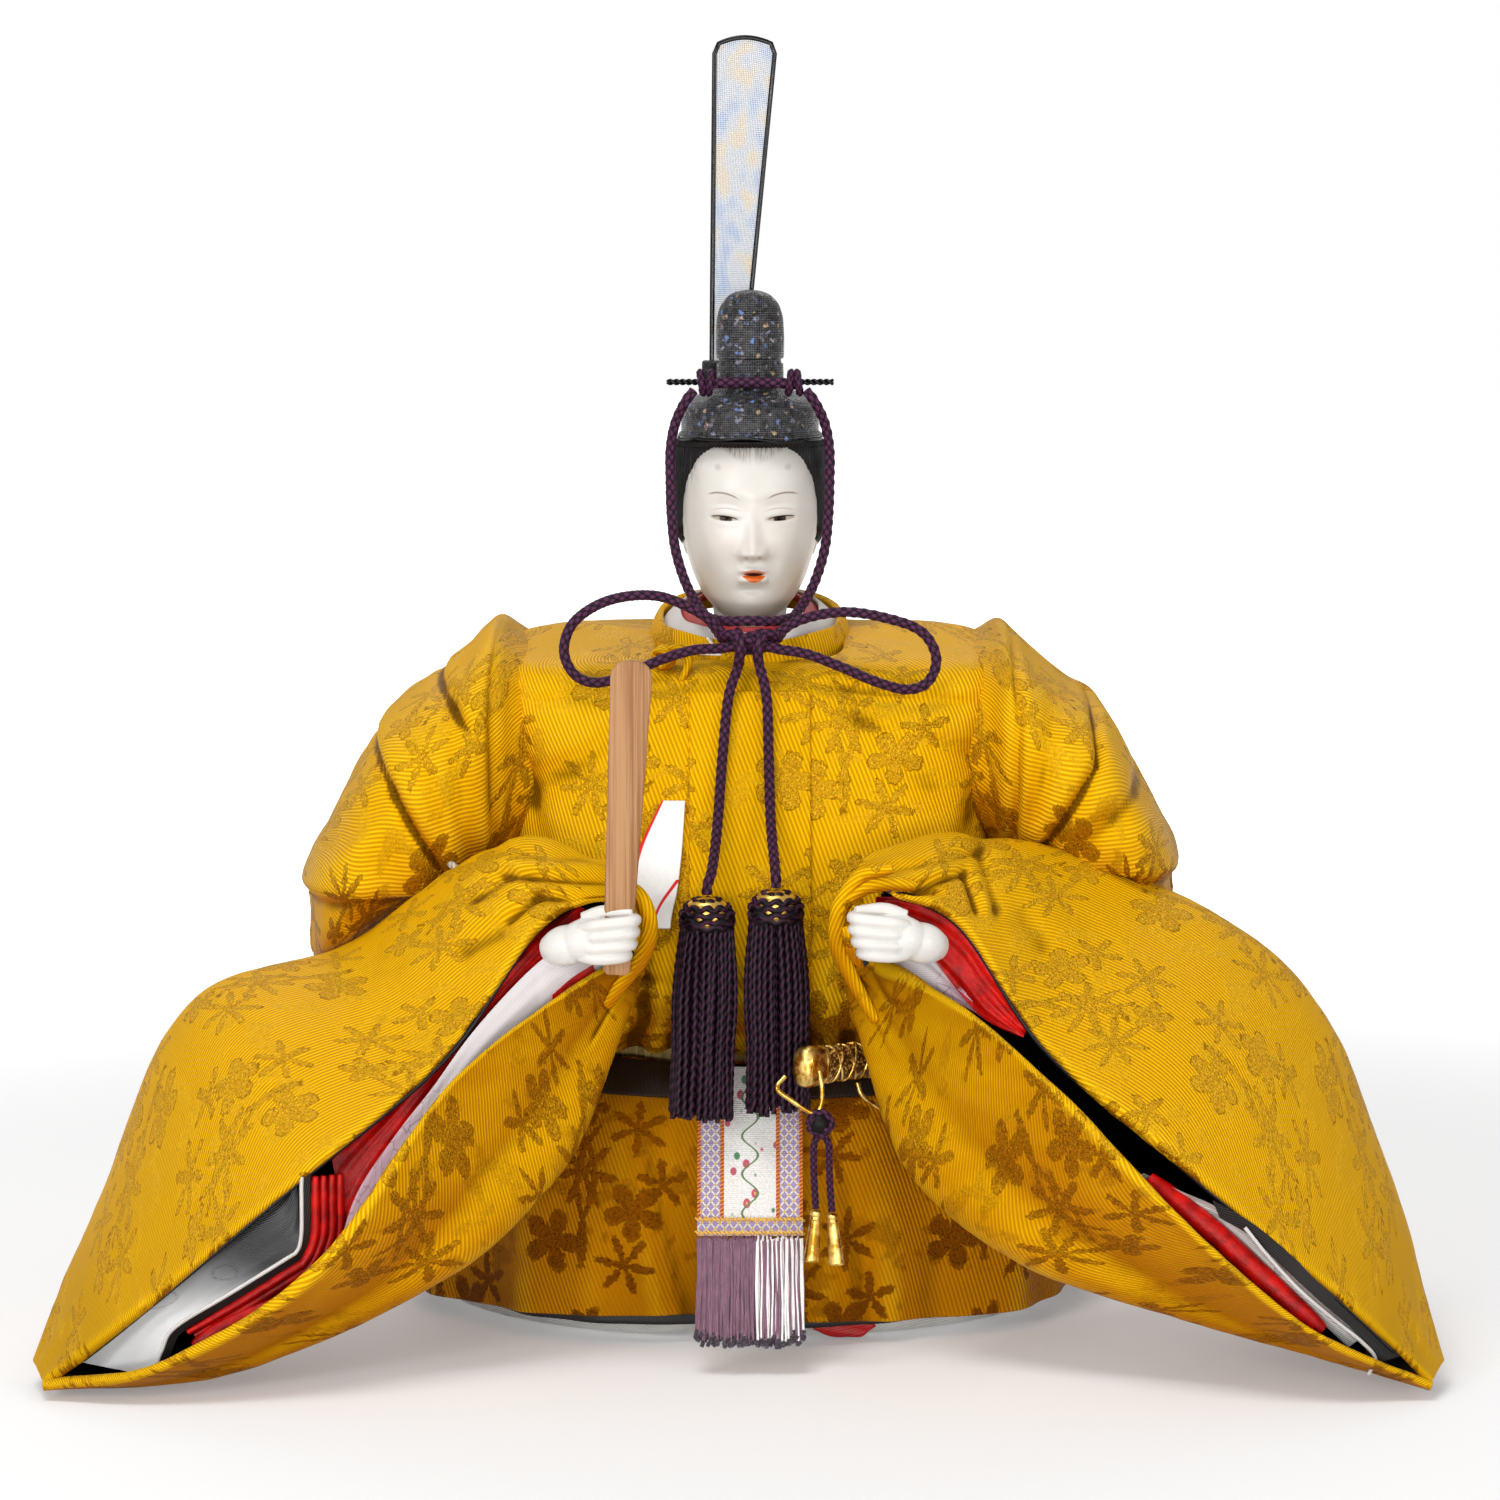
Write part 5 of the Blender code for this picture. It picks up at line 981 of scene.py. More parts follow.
# from wrist to tip: upper lip, ridge, back, keel and lower lip, as shares of
# the way from wrist to tip, of the reach forward and of the rise
SLEEVE = {
    "left": (
        ((0.037, 0.755, 0.970), (0.190, 0.745, 0.922), (0.358, 0.816, 0.655),
         (0.59, 0.891, 0.423), (0.834, 0.936, 0.18), (0.982, 0.945, 0.039)),
        ((0.068, 0.655, 0.996), (0.281, 0.491, 1.012), (0.549, 0.309, 0.787),
         (0.804, 0.291, 0.663), (0.944, 0.5, 0.285), (1.009, 0.836, 0.051)),
        ((0.081, 0.564, 0.89), (0.366, 0.364, 0.78), (0.529, 0.182, 0.52),
         (0.805, 0.109, 0.26), (0.927, 0.409, 0.08), (0.976, 0.764, 0.012)),
        ((0.036, 0.673, 0.807), (0.069, 0.636, 0.716), (0.17, 0.655, 0.411),
         (0.38, 0.709, 0.19), (0.71, 0.836, 0.035), (0.973, 0.891, 0.012)),
        ((0.051, 0.755, 0.813), (0.125, 0.782, 0.788), (0.33, 0.873, 0.607),
         (0.536, 0.964, 0.262), (0.785, 1, 0.072), (0.978, 0.955, 0.02))),
    "right": (
        ((0.021, 0.755, 0.992), (0.194, 0.745, 0.921), (0.339, 0.818, 0.676),
         (0.558, 0.891, 0.453), (0.802, 0.936, 0.206), (0.944, 0.945, 0.043)),
        ((0.052, 0.655, 1.008), (0.207, 0.491, 1.033), (0.464, 0.309, 0.956),
         (0.761, 0.291, 0.742), (0.91, 0.5, 0.388), (0.973, 0.836, 0.051)),
        ((0.066, 0.564, 0.9), (0.333, 0.364, 0.8), (0.488, 0.182, 0.54),
         (0.78, 0.109, 0.28), (0.91, 0.409, 0.09), (0.948, 0.764, 0.012)),
        ((0.004, 0.673, 0.815), (0.051, 0.636, 0.675), (0.13, 0.655, 0.391),
         (0.348, 0.709, 0.205), (0.669, 0.836, 0.101), (0.932, 0.891, 0.012)),
        ((0.04, 0.755, 0.817), (0.12, 0.782, 0.79), (0.273, 0.873, 0.676),
         (0.506, 0.964, 0.39), (0.726, 1, 0.152), (0.936, 0.955, 0.02)))}
SWELL = (0.4, 0.9, 1.0, 1.0, 0.7, 0.1)
BULGE = 3.0 * MM


def sleeve_middle(side):
    return Vector((side * 70 * MM, -60 * MM, 45 * MM))


def sleeve_columns(side, shares):
    upper, ridge, back, keel, lower = (
        [Vector((side * between(WRIST, REACH, x), -FORWARD * y, RISE * z)) for x, y, z in row] for row in shares)
    top = [(a + b) / 2 + Vector((side * 0.3, -0.2, 1.0)) * BULGE * g for a, b, g in zip(upper, ridge, SWELL)]
    rear = [(a + b) / 2 + Vector((side * 1.0, 0.5, 0.2)) * BULGE * g for a, b, g in zip(ridge, back, SWELL)]
    front = [(a + b) / 2 + Vector((side * -0.2, -0.8, -0.2)) * BULGE * g for a, b, g in zip(keel, lower, SWELL)]
    return [upper, top, ridge, rear, back, keel, front, lower]


def at_sleeve(columns, u, v):
    return blend_row([blend_row(c, u) for c in columns], v)


def drawn_in(side, columns, depth, shares):
    """The same columns, each moved square to the cloth, into the sleeve."""
    out = []
    for j, (column, share) in enumerate(zip(columns, shares)):
        row = []
        for i, p in enumerate(column):
            u, v, step = i / (len(column) - 1), j / (len(columns) - 1), 0.02
            along = at_sleeve(columns, min(u + step, 1), v) - at_sleeve(columns, max(u - step, 0), v)
            round_it = at_sleeve(columns, u, min(v + step, 1)) - at_sleeve(columns, u, max(v - step, 0))
            row.append(p - along.cross(round_it).normalized() * (side * depth * share))
        out.append(row)
    return out


def hemmed(row, inward, turn):
    """A row of the cloth with its two ends turned under in a soft hem."""
    first, last = (row[0] - row[1]).normalized(), (row[-1] - row[-2]).normalized()
    path = ((0.5, 0.35), (0.75, 1.0), (0.5, 1.75), (-0.4, 2.2), (-2.0, 2.4))
    return ([row[0] + (first * a + inward[0] * b) * turn for a, b in reversed(path)] + row
            + [row[-1] + (last * a + inward[1] * b) * turn for a, b in path])


def sleeve_rows(side, columns, along, across, start=0.0, end=1.0, turn=0.0):
    rows = []
    for i in range(along):
        u = between(start, end, i / (along - 1))
        points = [blend_row(c, u) for c in columns]
        row = smooth_row(points, across)
        if turn:
            step = 0.01
            inward = []
            for v, a, b in ((0.0, row[0], row[1]), (1.0, row[-2], row[-1])):
                ahead = (at_sleeve(columns, min(u + step, 1), v) - at_sleeve(columns, max(u - step, 0), v))
                inward.append(ahead.cross(b - a).normalized() * -side)
            row = hemmed(row, inward, turn)
        rows.append(row)
    return rows


# pleats drawn in over each hand, as seen from the front: start and end in mm,
# width, depth of the valley and step of the fold that lies over it
PLEATS = {
    "left": (((-48.4, 90.0), (-41.9, 95.4), 1.1, 1.6, 0.9), ((-42.5, 95.2), (-27.5, 95.9), 1.0, 1.7, 1.0),
             ((-56.0, 92.0), (-47.5, 98.2), 1.4, 1.5, 1.0), ((-48.5, 98.0), (-27.5, 98.6), 1.0, 1.8, 1.3),
             ((-50.0, 101.6), (-27.5, 101.6), 1.0, 1.2, 0.9), ((-58.0, 83.0), (-48.5, 89.0), 2.2, 1.2, 0.5),
             ((-61.0, 97.5), (-50.0, 101.8), 2.4, 1.2, 0.6)),
    "right": (((21.5, 95.5), (43.5, 99.6), 1.0, 1.8, 1.2), ((43.0, 99.5), (45.6, 92.0), 1.1, 1.8, 1.0),
              ((20.5, 99.5), (46.0, 102.0), 1.0, 1.5, 1.0), ((46.2, 101.5), (50.0, 91.0), 1.6, 1.5, 0.8),
              ((24.0, 97.2), (38.0, 96.8), 0.9, 1.5, 0.8), ((50.0, 96.0), (60.0, 84.0), 2.6, 1.1, 0.5))}
UNDER_PLEATS = {
    "left": (((-22.0, 78.0), (-30.0, 66.0), 1.4, 1.5, 0.8), ((-20.5, 72.0), (-24.0, 56.0), 1.6, 1.2, 0.6)),
    "right": (((21.5, 84.0), (27.5, 74.5), 1.3, 1.8, 1.0), ((19.5, 76.0), (24.5, 62.0), 1.5, 1.2, 0.6))}


def sleeve_sculpt(side):
    word = "left" if side < 0 else "right"

    def sculpt(u, v, p, normal):
        """Pleats gathered at the wrist, and slow folds towards the tip."""
        tip = 0.4 * math.exp(-(0.94 - v) / 0.10)
        move = 0.9 * math.exp(-(v / 0.12) ** 1.5) * math.sin(u * 58 + 5 * v) * (0.4 if u < 0.4 or u > 0.85 else 1.0)
        move += 0.4 * tip * math.sin(u * 50)
        move += 1.1 * noise.noise(p * 24) * min(1, v * 5) + 0.30 * noise.noise(p * 80)
        move += 0.10 * noise.noise(p * 260)
        if u < 0.45:
            for fold in PLEATS[word]:
                move += crease(p, *fold)
        elif u > 0.8:
            for fold in UNDER_PLEATS[word]:
                move += crease(p, *fold)
        return normal * (move * MM * min(1.0, (1 - v) * 12 + 0.15))
    return sculpt


for word, side in SIDES:
    columns = sleeve_columns(side, SLEEVE[word])
    sleeve = skin("lower_sleeve_" + word, sleeve_rows(side, columns, 170, 190, turn=0.9 * MM),
                  [gold_brocade, black_silk], away=sleeve_middle(side),
                  sculpt=sleeve_sculpt(side), grain=(23 * MM, 13 * MM), hollows=16)
    thicken(sleeve, 0.7 * MM, lining=True)
    settle(sleeve, "doll", "gold_silk", "sleeve_" + word)


# Layers inside each sleeve, nested like the robes they stand for: the black
# lining, a silver-white layer piped with white, red layers and a white one.

LIPS = {          # how far forward the lips lie, against the share from wrist to tip
    "left": (((0.037, 83), (0.2, 82), (0.37, 90), (0.59, 98), (0.83, 103), (0.98, 104)),
             ((0.05, 83), (0.125, 86), (0.33, 96), (0.54, 106), (0.785, 110), (0.978, 105))),
    "right": (((0.021, 83), (0.194, 82), (0.339, 90), (0.558, 98), (0.802, 103), (0.944, 104)),
              ((0.04, 83), (0.12, 86), (0.273, 96), (0.506, 106), (0.726, 110), (0.936, 105)))}


def at_share(table, share):
    for (t0, y0), (t1, y1) in zip(table, table[1:]):
        if share <= t1:
            return between(y0, y1, max(0.0, (share - t0) / (t1 - t0)))
    return table[-1][1]


def in_slit(word, x, z, sunk):
    """A point of the slit's mouth, sunk into the sleeve by so many mm."""
    share = (abs(x) * MM - WRIST) / (REACH - WRIST)
    upper, lower = LIPS[word]
    return Vector((x, sunk - (at_share(upper, share) + at_share(lower, share)) / 2, z)) * MM


def leaf(name, word, upper, lower, sunk, finish, thick=0.5 * MM, wide=26, count=120, ripple=0.0, puff=0.0):
    """A layer of silk between two lines that are seen in the slit's mouth."""
    top, low = (table(smooth_line(path, count)) for path in (upper, lower))
    rows = []
    for i in range(count):
        t = i / (count - 1)
        row = []
        for k in range(wide):
            s = k / (wide - 1)
            x, z = top[i].lerp(low[i], s)
            depth = between(sunk[0], sunk[1], s) - puff * math.sin(math.pi * s)
            depth += ripple * (math.sin(s * 13 + 5 * noise.noise(Vector((t * 3, s, 7))))
                               + 0.5 * math.sin(s * 27 + t * 4))
            row.append(in_slit(word, x, z, depth))
        rows.append(row + [p + Vector((0, thick, 0)) for p in reversed(row)] + row[:1])
    return skin(name, rows, [finish], ring=True, capped=True)


def fold_roll(path, word, sunk, wide, tall, finish, name="fold", dive=0.0):
    """One fold of satin: a flattened roll along a line in the slit's mouth."""
    count = 110
    line = [in_slit(word, x, z, sunk + dive * (i / (count - 1)) ** 3)
            for i, (x, z) in enumerate(smooth_line(path, count))]
    rows = []
    for i, p in enumerate(line):
        ahead = (line[min(i + 1, count - 1)] - line[max(i - 1, 0)]).normalized()
        out = Vector((0, -1, 0))
        side = ahead.cross(out).normalized()
        out = side.cross(ahead)
        end = math.sin(math.pi * between(0.03, 0.97, i / (count - 1))) ** 0.25
        row = []
        for k in range(29):
            a = math.tau * k / 28
            row.append(p + (side * math.cos(a) * wide / 2 + out * math.sin(a) * tall / 2) * (MM * end))
        rows.append(row)
    return skin(name, rows, [finish], ring=True, capped=True)


satin, tree, shader = begin("red_satin", "C40A04", 0.34, Specular_IOR_Level=0.22)
across, along = cloth_place(tree)
thread_place = flat_place(tree, times(tree, across, 7.0), times(tree, along, 0.5))
threads = speckle(tree, thread_place, 1.0, 3.0)
pulled = speckle(tree, own_place(tree), 240.0, 3.0)
tone = times_plus(tree, threads, 0.5, times(tree, pulled, 0.6))
coat(tree, shader, tint(tree, band(tree, tone, 0.35, 0.75), "6E0202", "D80E04"))
raise_up(tree, shader, tone, 0.16 * MM, 0.8)

silver_shaded_inside, tree, shader = begin("silver_silk_painted_shade", "D8D8D8", 0.38, Specular_IOR_Level=0.5)
across, along = cloth_place(tree)
share = written(tree, "share_along")
flat = flat_place(tree, across, along)
cells = add(tree, "TexVoronoi", {"Vector": flat, "Scale": 0.085, "Randomness": 0.6}).outputs[0]
ring = sine(tree, times(tree, cells, 42.0))
flower = times(tree, band(tree, cells, 0.36, 0.28), band(tree, ring, 0.0, 0.4))
flower = times(tree, flower, band(tree, speckle(tree, flat, 2.4, 3.0), 0.35, 0.6))
weave_line = ribs(tree, across, along, 0.4, 0.4)
silver = tint(tree, weave_line, "C9CACC", "E8E8E8")
silver = tint(tree, times(tree, flower, 0.85), silver, "5C5E62")
# painted shade: the panel turns black towards its upper end, where it lies deep in the sleeve
drift = times_plus(tree, speckle(tree, own_place(tree), 60.0, 2.0), 0.12, share)
coat(tree, shader, tint(tree, band(tree, drift, 0.42, 0.80), "0A0909", silver))
raise_up(tree, shader, plus(tree, weave_line, flower), 0.06 * MM, 0.6)

shaded_white_silk, tree, shader = begin("figured_white_silk", "E6E0E2", 0.5, Sheen_Weight=0.15)
across, along = cloth_place(tree)
share = written(tree, "share_along")
flat = flat_place(tree, across, along)
scribble = add(tree, "TexVoronoi", {"Vector": flat, "Scale": 0.32}, feature="DISTANCE_TO_EDGE").outputs[0]
scribble = times(tree, band(tree, scribble, 0.05, 0.02), band(tree, share, 0.5, 0.62))
white = tint(tree, ribs(tree, across, along, 0.42, 0.3), "C4BDBF", "DDD9D9")
# painted shade: the white turns pinkish grey along the layer, away from the hand, where it lies in shade
white = tint(tree, band(tree, share, 0.45, 0.8), white, "B996A2")
coat(tree, shader, tint(tree, times(tree, scribble, 0.5), white, "6E4A58"))
raise_up(tree, shader, speckle(tree, own_place(tree), 300.0, 3.0), 0.1 * MM, 0.7)

for word, side in SIDES:
    columns = sleeve_columns(side, SLEEVE[word])
    c = drawn_in(side, columns, 3.4 * MM, (0.55, 0.6, 0.9, 0.9, 0.9, 0.9, 0.6, 0.5))
    crest = [a.lerp(b, 0.5) for a, b in zip(c[1], c[2])]
    lining = skin("sleeve_lining_silk_" + word, sleeve_rows(side, [c[0], c[1], crest], 60, 24, 0.14, 0.92),
                  [black_silk], away=sleeve_middle(side))
    thicken(lining, 0.6 * MM, edge=0)
    settle(lining, "doll", "black_silk", "sleeve_lining_" + word)

PIPING = ((-87.4, 42.8), (-87.5, 40.6), (-87.5, 37.3), (-87.6, 31.4), (-88.4, 28.2), (-90.9, 26.4), (-101.4, 20.1),
          (-112.0, 13.8), (-114.6, 9.4), (-116.2, 4.6))
panel = leaf("sleeve_silver_silk_left", "left",
             ((-88.4, 45.5), (-95.0, 39.5), (-106.0, 30.0), (-118.7, 19.5), (-127.6, 12.5), (-134.0, 6.2)),
             ((-87.4, 40.0), (-87.8, 29.5), (-95.0, 23.9), (-104.0, 18.6), (-112.5, 13.2), (-116.4, 4.0)),
             (8.5, 4.6), silver_shaded_inside, ripple=0.12)
piping = tube("silver_piping", [in_slit("left", x, z, 4.6) for x, z in smooth_line(PIPING, 90)], 0.8 * MM,
              white_silk, 8)
border = []
for (x, z), (bx, bz) in zip(PIPING, PIPING[1:] + ((-116.8, 3.4),)):
    ahead = Vector((bx - x, bz - z)).normalized()
    border.append((x - ahead.y * 1.9, z + ahead.x * 1.9))
edging = leaf("silver_edging", "left", PIPING, border, (4.4, 5.2), black_silk, wide=6)
silver_left = joined("sleeve_silver_silk_left", [panel, piping, edging])
settle(silver_left, "doll", "silver_silk", "sleeve_silver_left")

folds = []
for n, (shift, sunk) in enumerate(((2.6, 5.2), (4.1, 5.8), (5.6, 6.4), (7.1, 7.0))):
    path = []
    for (x, z), (bx, bz) in zip(PIPING[:9], PIPING[1:]):
        ahead = Vector((bx - x, bz - z)).normalized()
        path.append((x - ahead.y * shift, z + ahead.x * shift))
    path = path[:-1] if n < 2 else path[:-2]
    folds.append(fold_roll(path, "left", sunk, 1.9, 2.2, satin))
folds.append(fold_roll(((-108.5, 9.4), (-104.0, 12.4), (-97.0, 15.4), (-88.0, 18.6), (-82.0, 20.5)), "left", 5.6, 4.2,
                       3.4, satin))
folds.append(fold_roll(((-105.0, 7.8), (-98.0, 10.2), (-90.0, 13.4), (-84.0, 16.0)), "left", 6.6, 3.6, 3.0, satin))
band_red = leaf("red_band", "left", ((-35.4, 94.6), (-41.8, 90.2), (-47.8, 83.4), (-55.9, 74.0), (-63.7, 63.8),
                                     (-70.4, 55.8), (-78.0, 48.4), (-82.0, 44.8)),
                ((-30.5, 90.4), (-35.3, 86.2), (-43.1, 79.3), (-52.8, 68.9), (-60.6, 58.5), (-67.5, 49.8),
                 (-74.9, 38.4), (-79.2, 27.0)), (10.0, 6.0), satin, ripple=0.28)
folds.append(band_red)
red_left = joined("red_layers_left", folds)
settle(red_left, "doll", "red_silk", "sleeve_red_left")
white_left = leaf("white_layer_left", "left",
                  ((-32.0, 91.2), (-37.0, 86.4), (-44.9, 79.8), (-54.6, 69.4), (-62.3, 59.0), (-69.1, 50.5),
                   (-76.8, 39.1), (-80.8, 27.0)),
                  ((-25.3, 78.0), (-34.5, 73.6), (-43.7, 66.0), (-53.4, 56.7), (-61.2, 46.7), (-69.7, 34.3),
                   (-77.2, 22.5), (-79.2, 20.4)), (3.6, 4.6), shaded_white_silk, ripple=0.10, puff=1.0, wide=30)
under_red = leaf("red_under_hand", "left", ((-31.0, 82.0), (-35.0, 79.6), (-39.0, 76.2)),
                 ((-29.0, 76.0), (-34.0, 73.0), (-38.5, 69.0)), (2.8, 3.2), satin, count=30, wide=10)
white_left = joined("white_layer_left", [white_left, under_red])
settle(white_left, "doll", "white_silk", "sleeve_cuff_left")
dark_left = leaf("black_layer_left", "left",
                 ((-34.0, 96.2), (-43.4, 91.0), (-49.4, 84.2), (-57.0, 75.0), (-65.0, 64.6)),
                 ((-33.0, 93.6), (-41.3, 88.2), (-46.6, 81.6), (-54.4, 72.4), (-63.2, 61.8)), (13.0, 7.5), black_silk)
settle(dark_left, "doll", "black_silk")
for word, path in (("left", ((-27.0, 99.0), (-22.6, 97.0), (-20.4, 93.4), (-19.8, 88.6), (-21.4, 83.6), (-25.0, 78.6),
                             (-28.2, 73.6))),
                   ("right", ((28.0, 101.6), (22.0, 100.0), (18.2, 95.0), (17.2, 90.6), (17.4, 86.0), (20.0, 79.6),
                              (24.8, 70.4))),
                   ("right", ((17.6, 92.0), (19.1, 95.4), (22.6, 97.8), (26.9, 98.4), (32.4, 97.6))),
                   ("right", ((19.0, 90.2), (19.9, 87.0), (21.0, 84.2), (23.2, 81.0)))):
    cuff = fold_roll(path, word, -0.6, 3.4, 3.2, gold_brocade, "cuff_fold_" + word, dive=5.0)
    settle(cuff, "doll", "gold_silk")

band_right = leaf("red_band_right", "right",
                  ((25.0, 95.0), (31.0, 94.8), (37.6, 92.6), (43.2, 88.8), (47.2, 82.6), (51.4, 75.4), (54.4, 70.4)),
                  ((24.3, 90.7), (30.0, 88.2), (35.4, 84.0), (40.6, 77.4), (45.2, 72.4), (49.7, 70.0), (53.6, 68.6)),
                  (6.5, 4.6), satin, ripple=0.28, puff=0.5)
roll_right = fold_roll(((77.9, 42.0), (84.0, 37.2), (91.5, 31.0), (99.2, 23.9), (106.9, 17.0), (111.6, 12.9)), "right",
                       5.4, 4.8, 4.2, satin)
roll_low = fold_roll(((80.9, 37.0), (87.7, 31.4), (95.5, 24.4), (103.2, 17.4), (109.6, 11.6)), "right",
                     6.8, 3.6, 3.4, satin)
red_right = joined("red_layers_right", [band_right, roll_right, roll_low])
settle(red_right, "doll", "red_silk", "sleeve_red_right")
inner_white = leaf("white_layer_right", "right",
                   ((24.3, 93.5), (30.0, 90.4), (35.4, 85.6), (40.6, 78.8), (46.2, 73.7)),
                   ((24.7, 78.7), (29.6, 77.8), (35.5, 76.1), (41.3, 74.3), (46.2, 71.7)), (5.0, 5.2), shaded_white_silk,
                   ripple=0.15, count=50)
under_right = leaf("red_under_hand_right", "right", ((26.0, 81.6), (30.0, 81.0), (33.5, 79.2)),
                   ((26.0, 77.4), (30.0, 76.6), (34.0, 75.2)), (4.4, 4.4), satin, count=30, wide=10)
settle(joined("white_layer_right", [inner_white, under_right]), "doll", "white_silk")
SILVER_EDGE = ((96.3, 33.4), (101.0, 27.6), (107.0, 21.2), (113.5, 15.6), (119.3, 10.9), (121.9, 7.6), (120.6, 4.5))
silver_right = leaf("sleeve_silver_silk_right", "right", ((77.0, 43.0), (83.8, 40.0), (91.0, 37.0), (98.0, 32.8),
                                                          (104.6, 27.0), (112.0, 20.5), (121.0, 12.5)),
                    ((74.2, 40.9), (81.9, 37.5), (88.6, 34.0), (94.4, 30.0), (101.0, 24.0), (109.0, 16.5),
                     (117.0, 9.0)), (4.8, 7.6), silver_silk, ripple=0.12)
edge_right = tube("silver_piping_right", [in_slit("right", x, z, 3.4) for x, z in smooth_line(SILVER_EDGE, 60)],
                  0.8 * MM, white_silk, 8)
cover = leaf("black_cover_right", "right",
             ((90.0, 38.6), (98.4, 33.8), (106.6, 27.0), (114.0, 20.0), (122.0, 13.0), (127.0, 8.0)),
             ((91.5, 35.0), (97.6, 31.4), (104.0, 25.4), (111.0, 18.9), (118.6, 12.0), (121.0, 6.0)),
             (3.8, 4.4), black_silk)
silver_right = joined("sleeve_silver_silk_right", [silver_right, edge_right, cover])
settle(silver_right, "doll", "silver_silk", "sleeve_silver_right")


# Hands: carved fists whitened with shell powder, four fingers and a thumb, on
# the ends of the arm wire. The left one grips the flat wooden sceptre.

shell_white, tree, shader = begin("shell_white", "DEDAD5", 0.38, Specular_IOR_Level=0.4, Coat_Weight=0.12,
                                  Coat_Roughness=0.3, Subsurface_Weight=0.08)
shader.inputs["Subsurface Scale"].default_value = 1.5 * MM
cloudy = speckle(tree, own_place(tree), 55.0, 3.0)
coat(tree, shader, tint(tree, band(tree, cloudy, 0.3, 0.7), "D3CFC9", "E0DDD8"))
raise_up(tree, shader, speckle(tree, own_place(tree), 700.0, 3.0), 0.02 * MM, 0.35)


def capsule(name, path, radii, sides=16):
    return tube(name, smooth_row(spots(path), 14), 2 * MM, shell_white, sides,
                taper=lambda t: blend_row([Vector((r, 0)) for r in radii], t).x)


def melted(name, pieces, voxel, finish):
    """Several shapes melted into one smooth body."""
    body = joined(name, pieces)
    remesh = body.modifiers.new("melt", "REMESH")
    remesh.mode = "VOXEL"
    remesh.voxel_size = voxel
    smooth = body.modifiers.new("polish", "SMOOTH")
    smooth.factor = 0.5
    smooth.iterations = 2
    graph = bpy.context.evaluated_depsgraph_get()
    mesh = bpy.data.meshes.new_from_object(body.evaluated_get(graph))
    mesh.name = name
    old = body.data
    body.modifiers.clear()
    body.data = mesh
    bpy.data.meshes.remove(old)
    mesh.shade_smooth()
    mesh.materials.clear()
    mesh.materials.append(finish)
    return body


def hand(word, side):
    """Shapes in mm from the middle of the fist; x runs towards the fingers."""
    low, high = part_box("hand_" + word)
    mid = (low + high) / 2 / MM

    def at(x, y, z):
        return (mid.x - side * x, mid.y + y, mid.z + z + 0.10 * x)
    shapes = []
    for z, reach, fat in ((3.5, 8.0, 1.28), (1.15, 7.7, 1.30), (-1.2, 7.2, 1.28), (-3.4, 6.3, 1.18)):
        shapes.append(capsule("finger", (at(-3.4, -2.6, z * 0.85), at(-0.6, -4.2, z * 0.96), at(reach - 3.0, -4.5, z),
                                         at(reach - 0.9, -3.0, z), at(reach - 1.0, 0.6, z * 0.95)),
                              (fat * 0.85, fat, fat, fat * 0.92, fat * 0.85)))
    shapes.append(capsule("palm", (at(-6.4, 0.4, -0.4), at(-3.0, -0.3, 0), at(0.5, 0.4, 0), at(3.6, 1.5, 0)),
                          (3.4, 4.5, 4.4, 3.1), 24))
    shapes.append(capsule("thumb", (at(-3.0, 1.0, 3.6), at(0.6, 0.8, 4.9), at(4.0, 0.2, 4.6), at(6.6, -0.6, 4.4)),
                          (2.0, 1.7, 1.5, 1.1)))
    shapes.append(capsule("wrist", (at(-10.4, 2.8, -1.4), at(-7.4, 0.9, -0.8), at(-3.0, 0.2, -0.2)), (2.5, 4.0, 3.7),
                          24))
    fist = melted("white_hand_" + word, shapes, 0.24 * MM, shell_white)
    settle(fist, "doll", "shell_white", "hand_" + word)


for word, side in SIDES:
    hand(word, side)


# Sceptre: a thin board of pale wood, straight-grained, wider at its rounded
# top and chamfered at the foot, held upright in the left hand.

FOOT = Vector((-0.5087 * BODY_HALF, -0.7909 * FORWARD, 0.81 * RISE))
SHAKU_LONG, SHAKU_TOP, SHAKU_FOOT, SHAKU_THICK = 62.0 * MM, 8.2 * MM, 5.4 * MM, 1.8 * MM
sceptre_wood, tree, shader = begin("sceptre_wood", "C7966B", 0.62, Specular_IOR_Level=0.3)
grain_place = stretched(tree, own_place(tree), 1500.0, 300.0, 22.0, (0, math.radians(-3), 0))
long_grain = speckle(tree, grain_place, 1.0, 3.0)
fine_grain = speckle(tree, stretched(tree, own_place(tree), 5200.0, 900.0, 90.0), 1.0, 2.0)
tone = plus(tree, times(tree, long_grain, 0.75), times(tree, fine_grain, 0.25))
coat(tree, shader, tint(tree, band(tree, tone, 0.36, 0.62), "8E603A", "B4865C"))
raise_up(tree, shader, tone, 0.06 * MM, 0.6)
half, chamfer = SHAKU_FOOT / 2, SHAKU_FOOT * 0.16
right = [(half - chamfer, 0.0), (half, chamfer), (SHAKU_TOP / 2, SHAKU_LONG - SHAKU_TOP * 0.42)]
for i in range(1, 12):
    a = math.pi / 2 * i / 12
    right.append((SHAKU_TOP / 2 * math.cos(a) ** 0.8, SHAKU_LONG - SHAKU_TOP * 0.42 * (1 - math.sin(a))))
outline = right + [(0.0, SHAKU_LONG)] + [(-x, z) for x, z in reversed(right)]
bm = bmesh.new()
face = bm.faces.new([bm.verts.new((x, -SHAKU_THICK / 2, z)) for x, z in outline])
made = bmesh.ops.extrude_face_region(bm, geom=[face])
bmesh.ops.translate(bm, verts=[v for v in made["geom"] if isinstance(v, bmesh.types.BMVert)], vec=(0, SHAKU_THICK, 0))
bmesh.ops.recalc_face_normals(bm, faces=bm.faces[:])
rims = [e for e in bm.edges if e.calc_face_angle(0) > math.radians(50)]
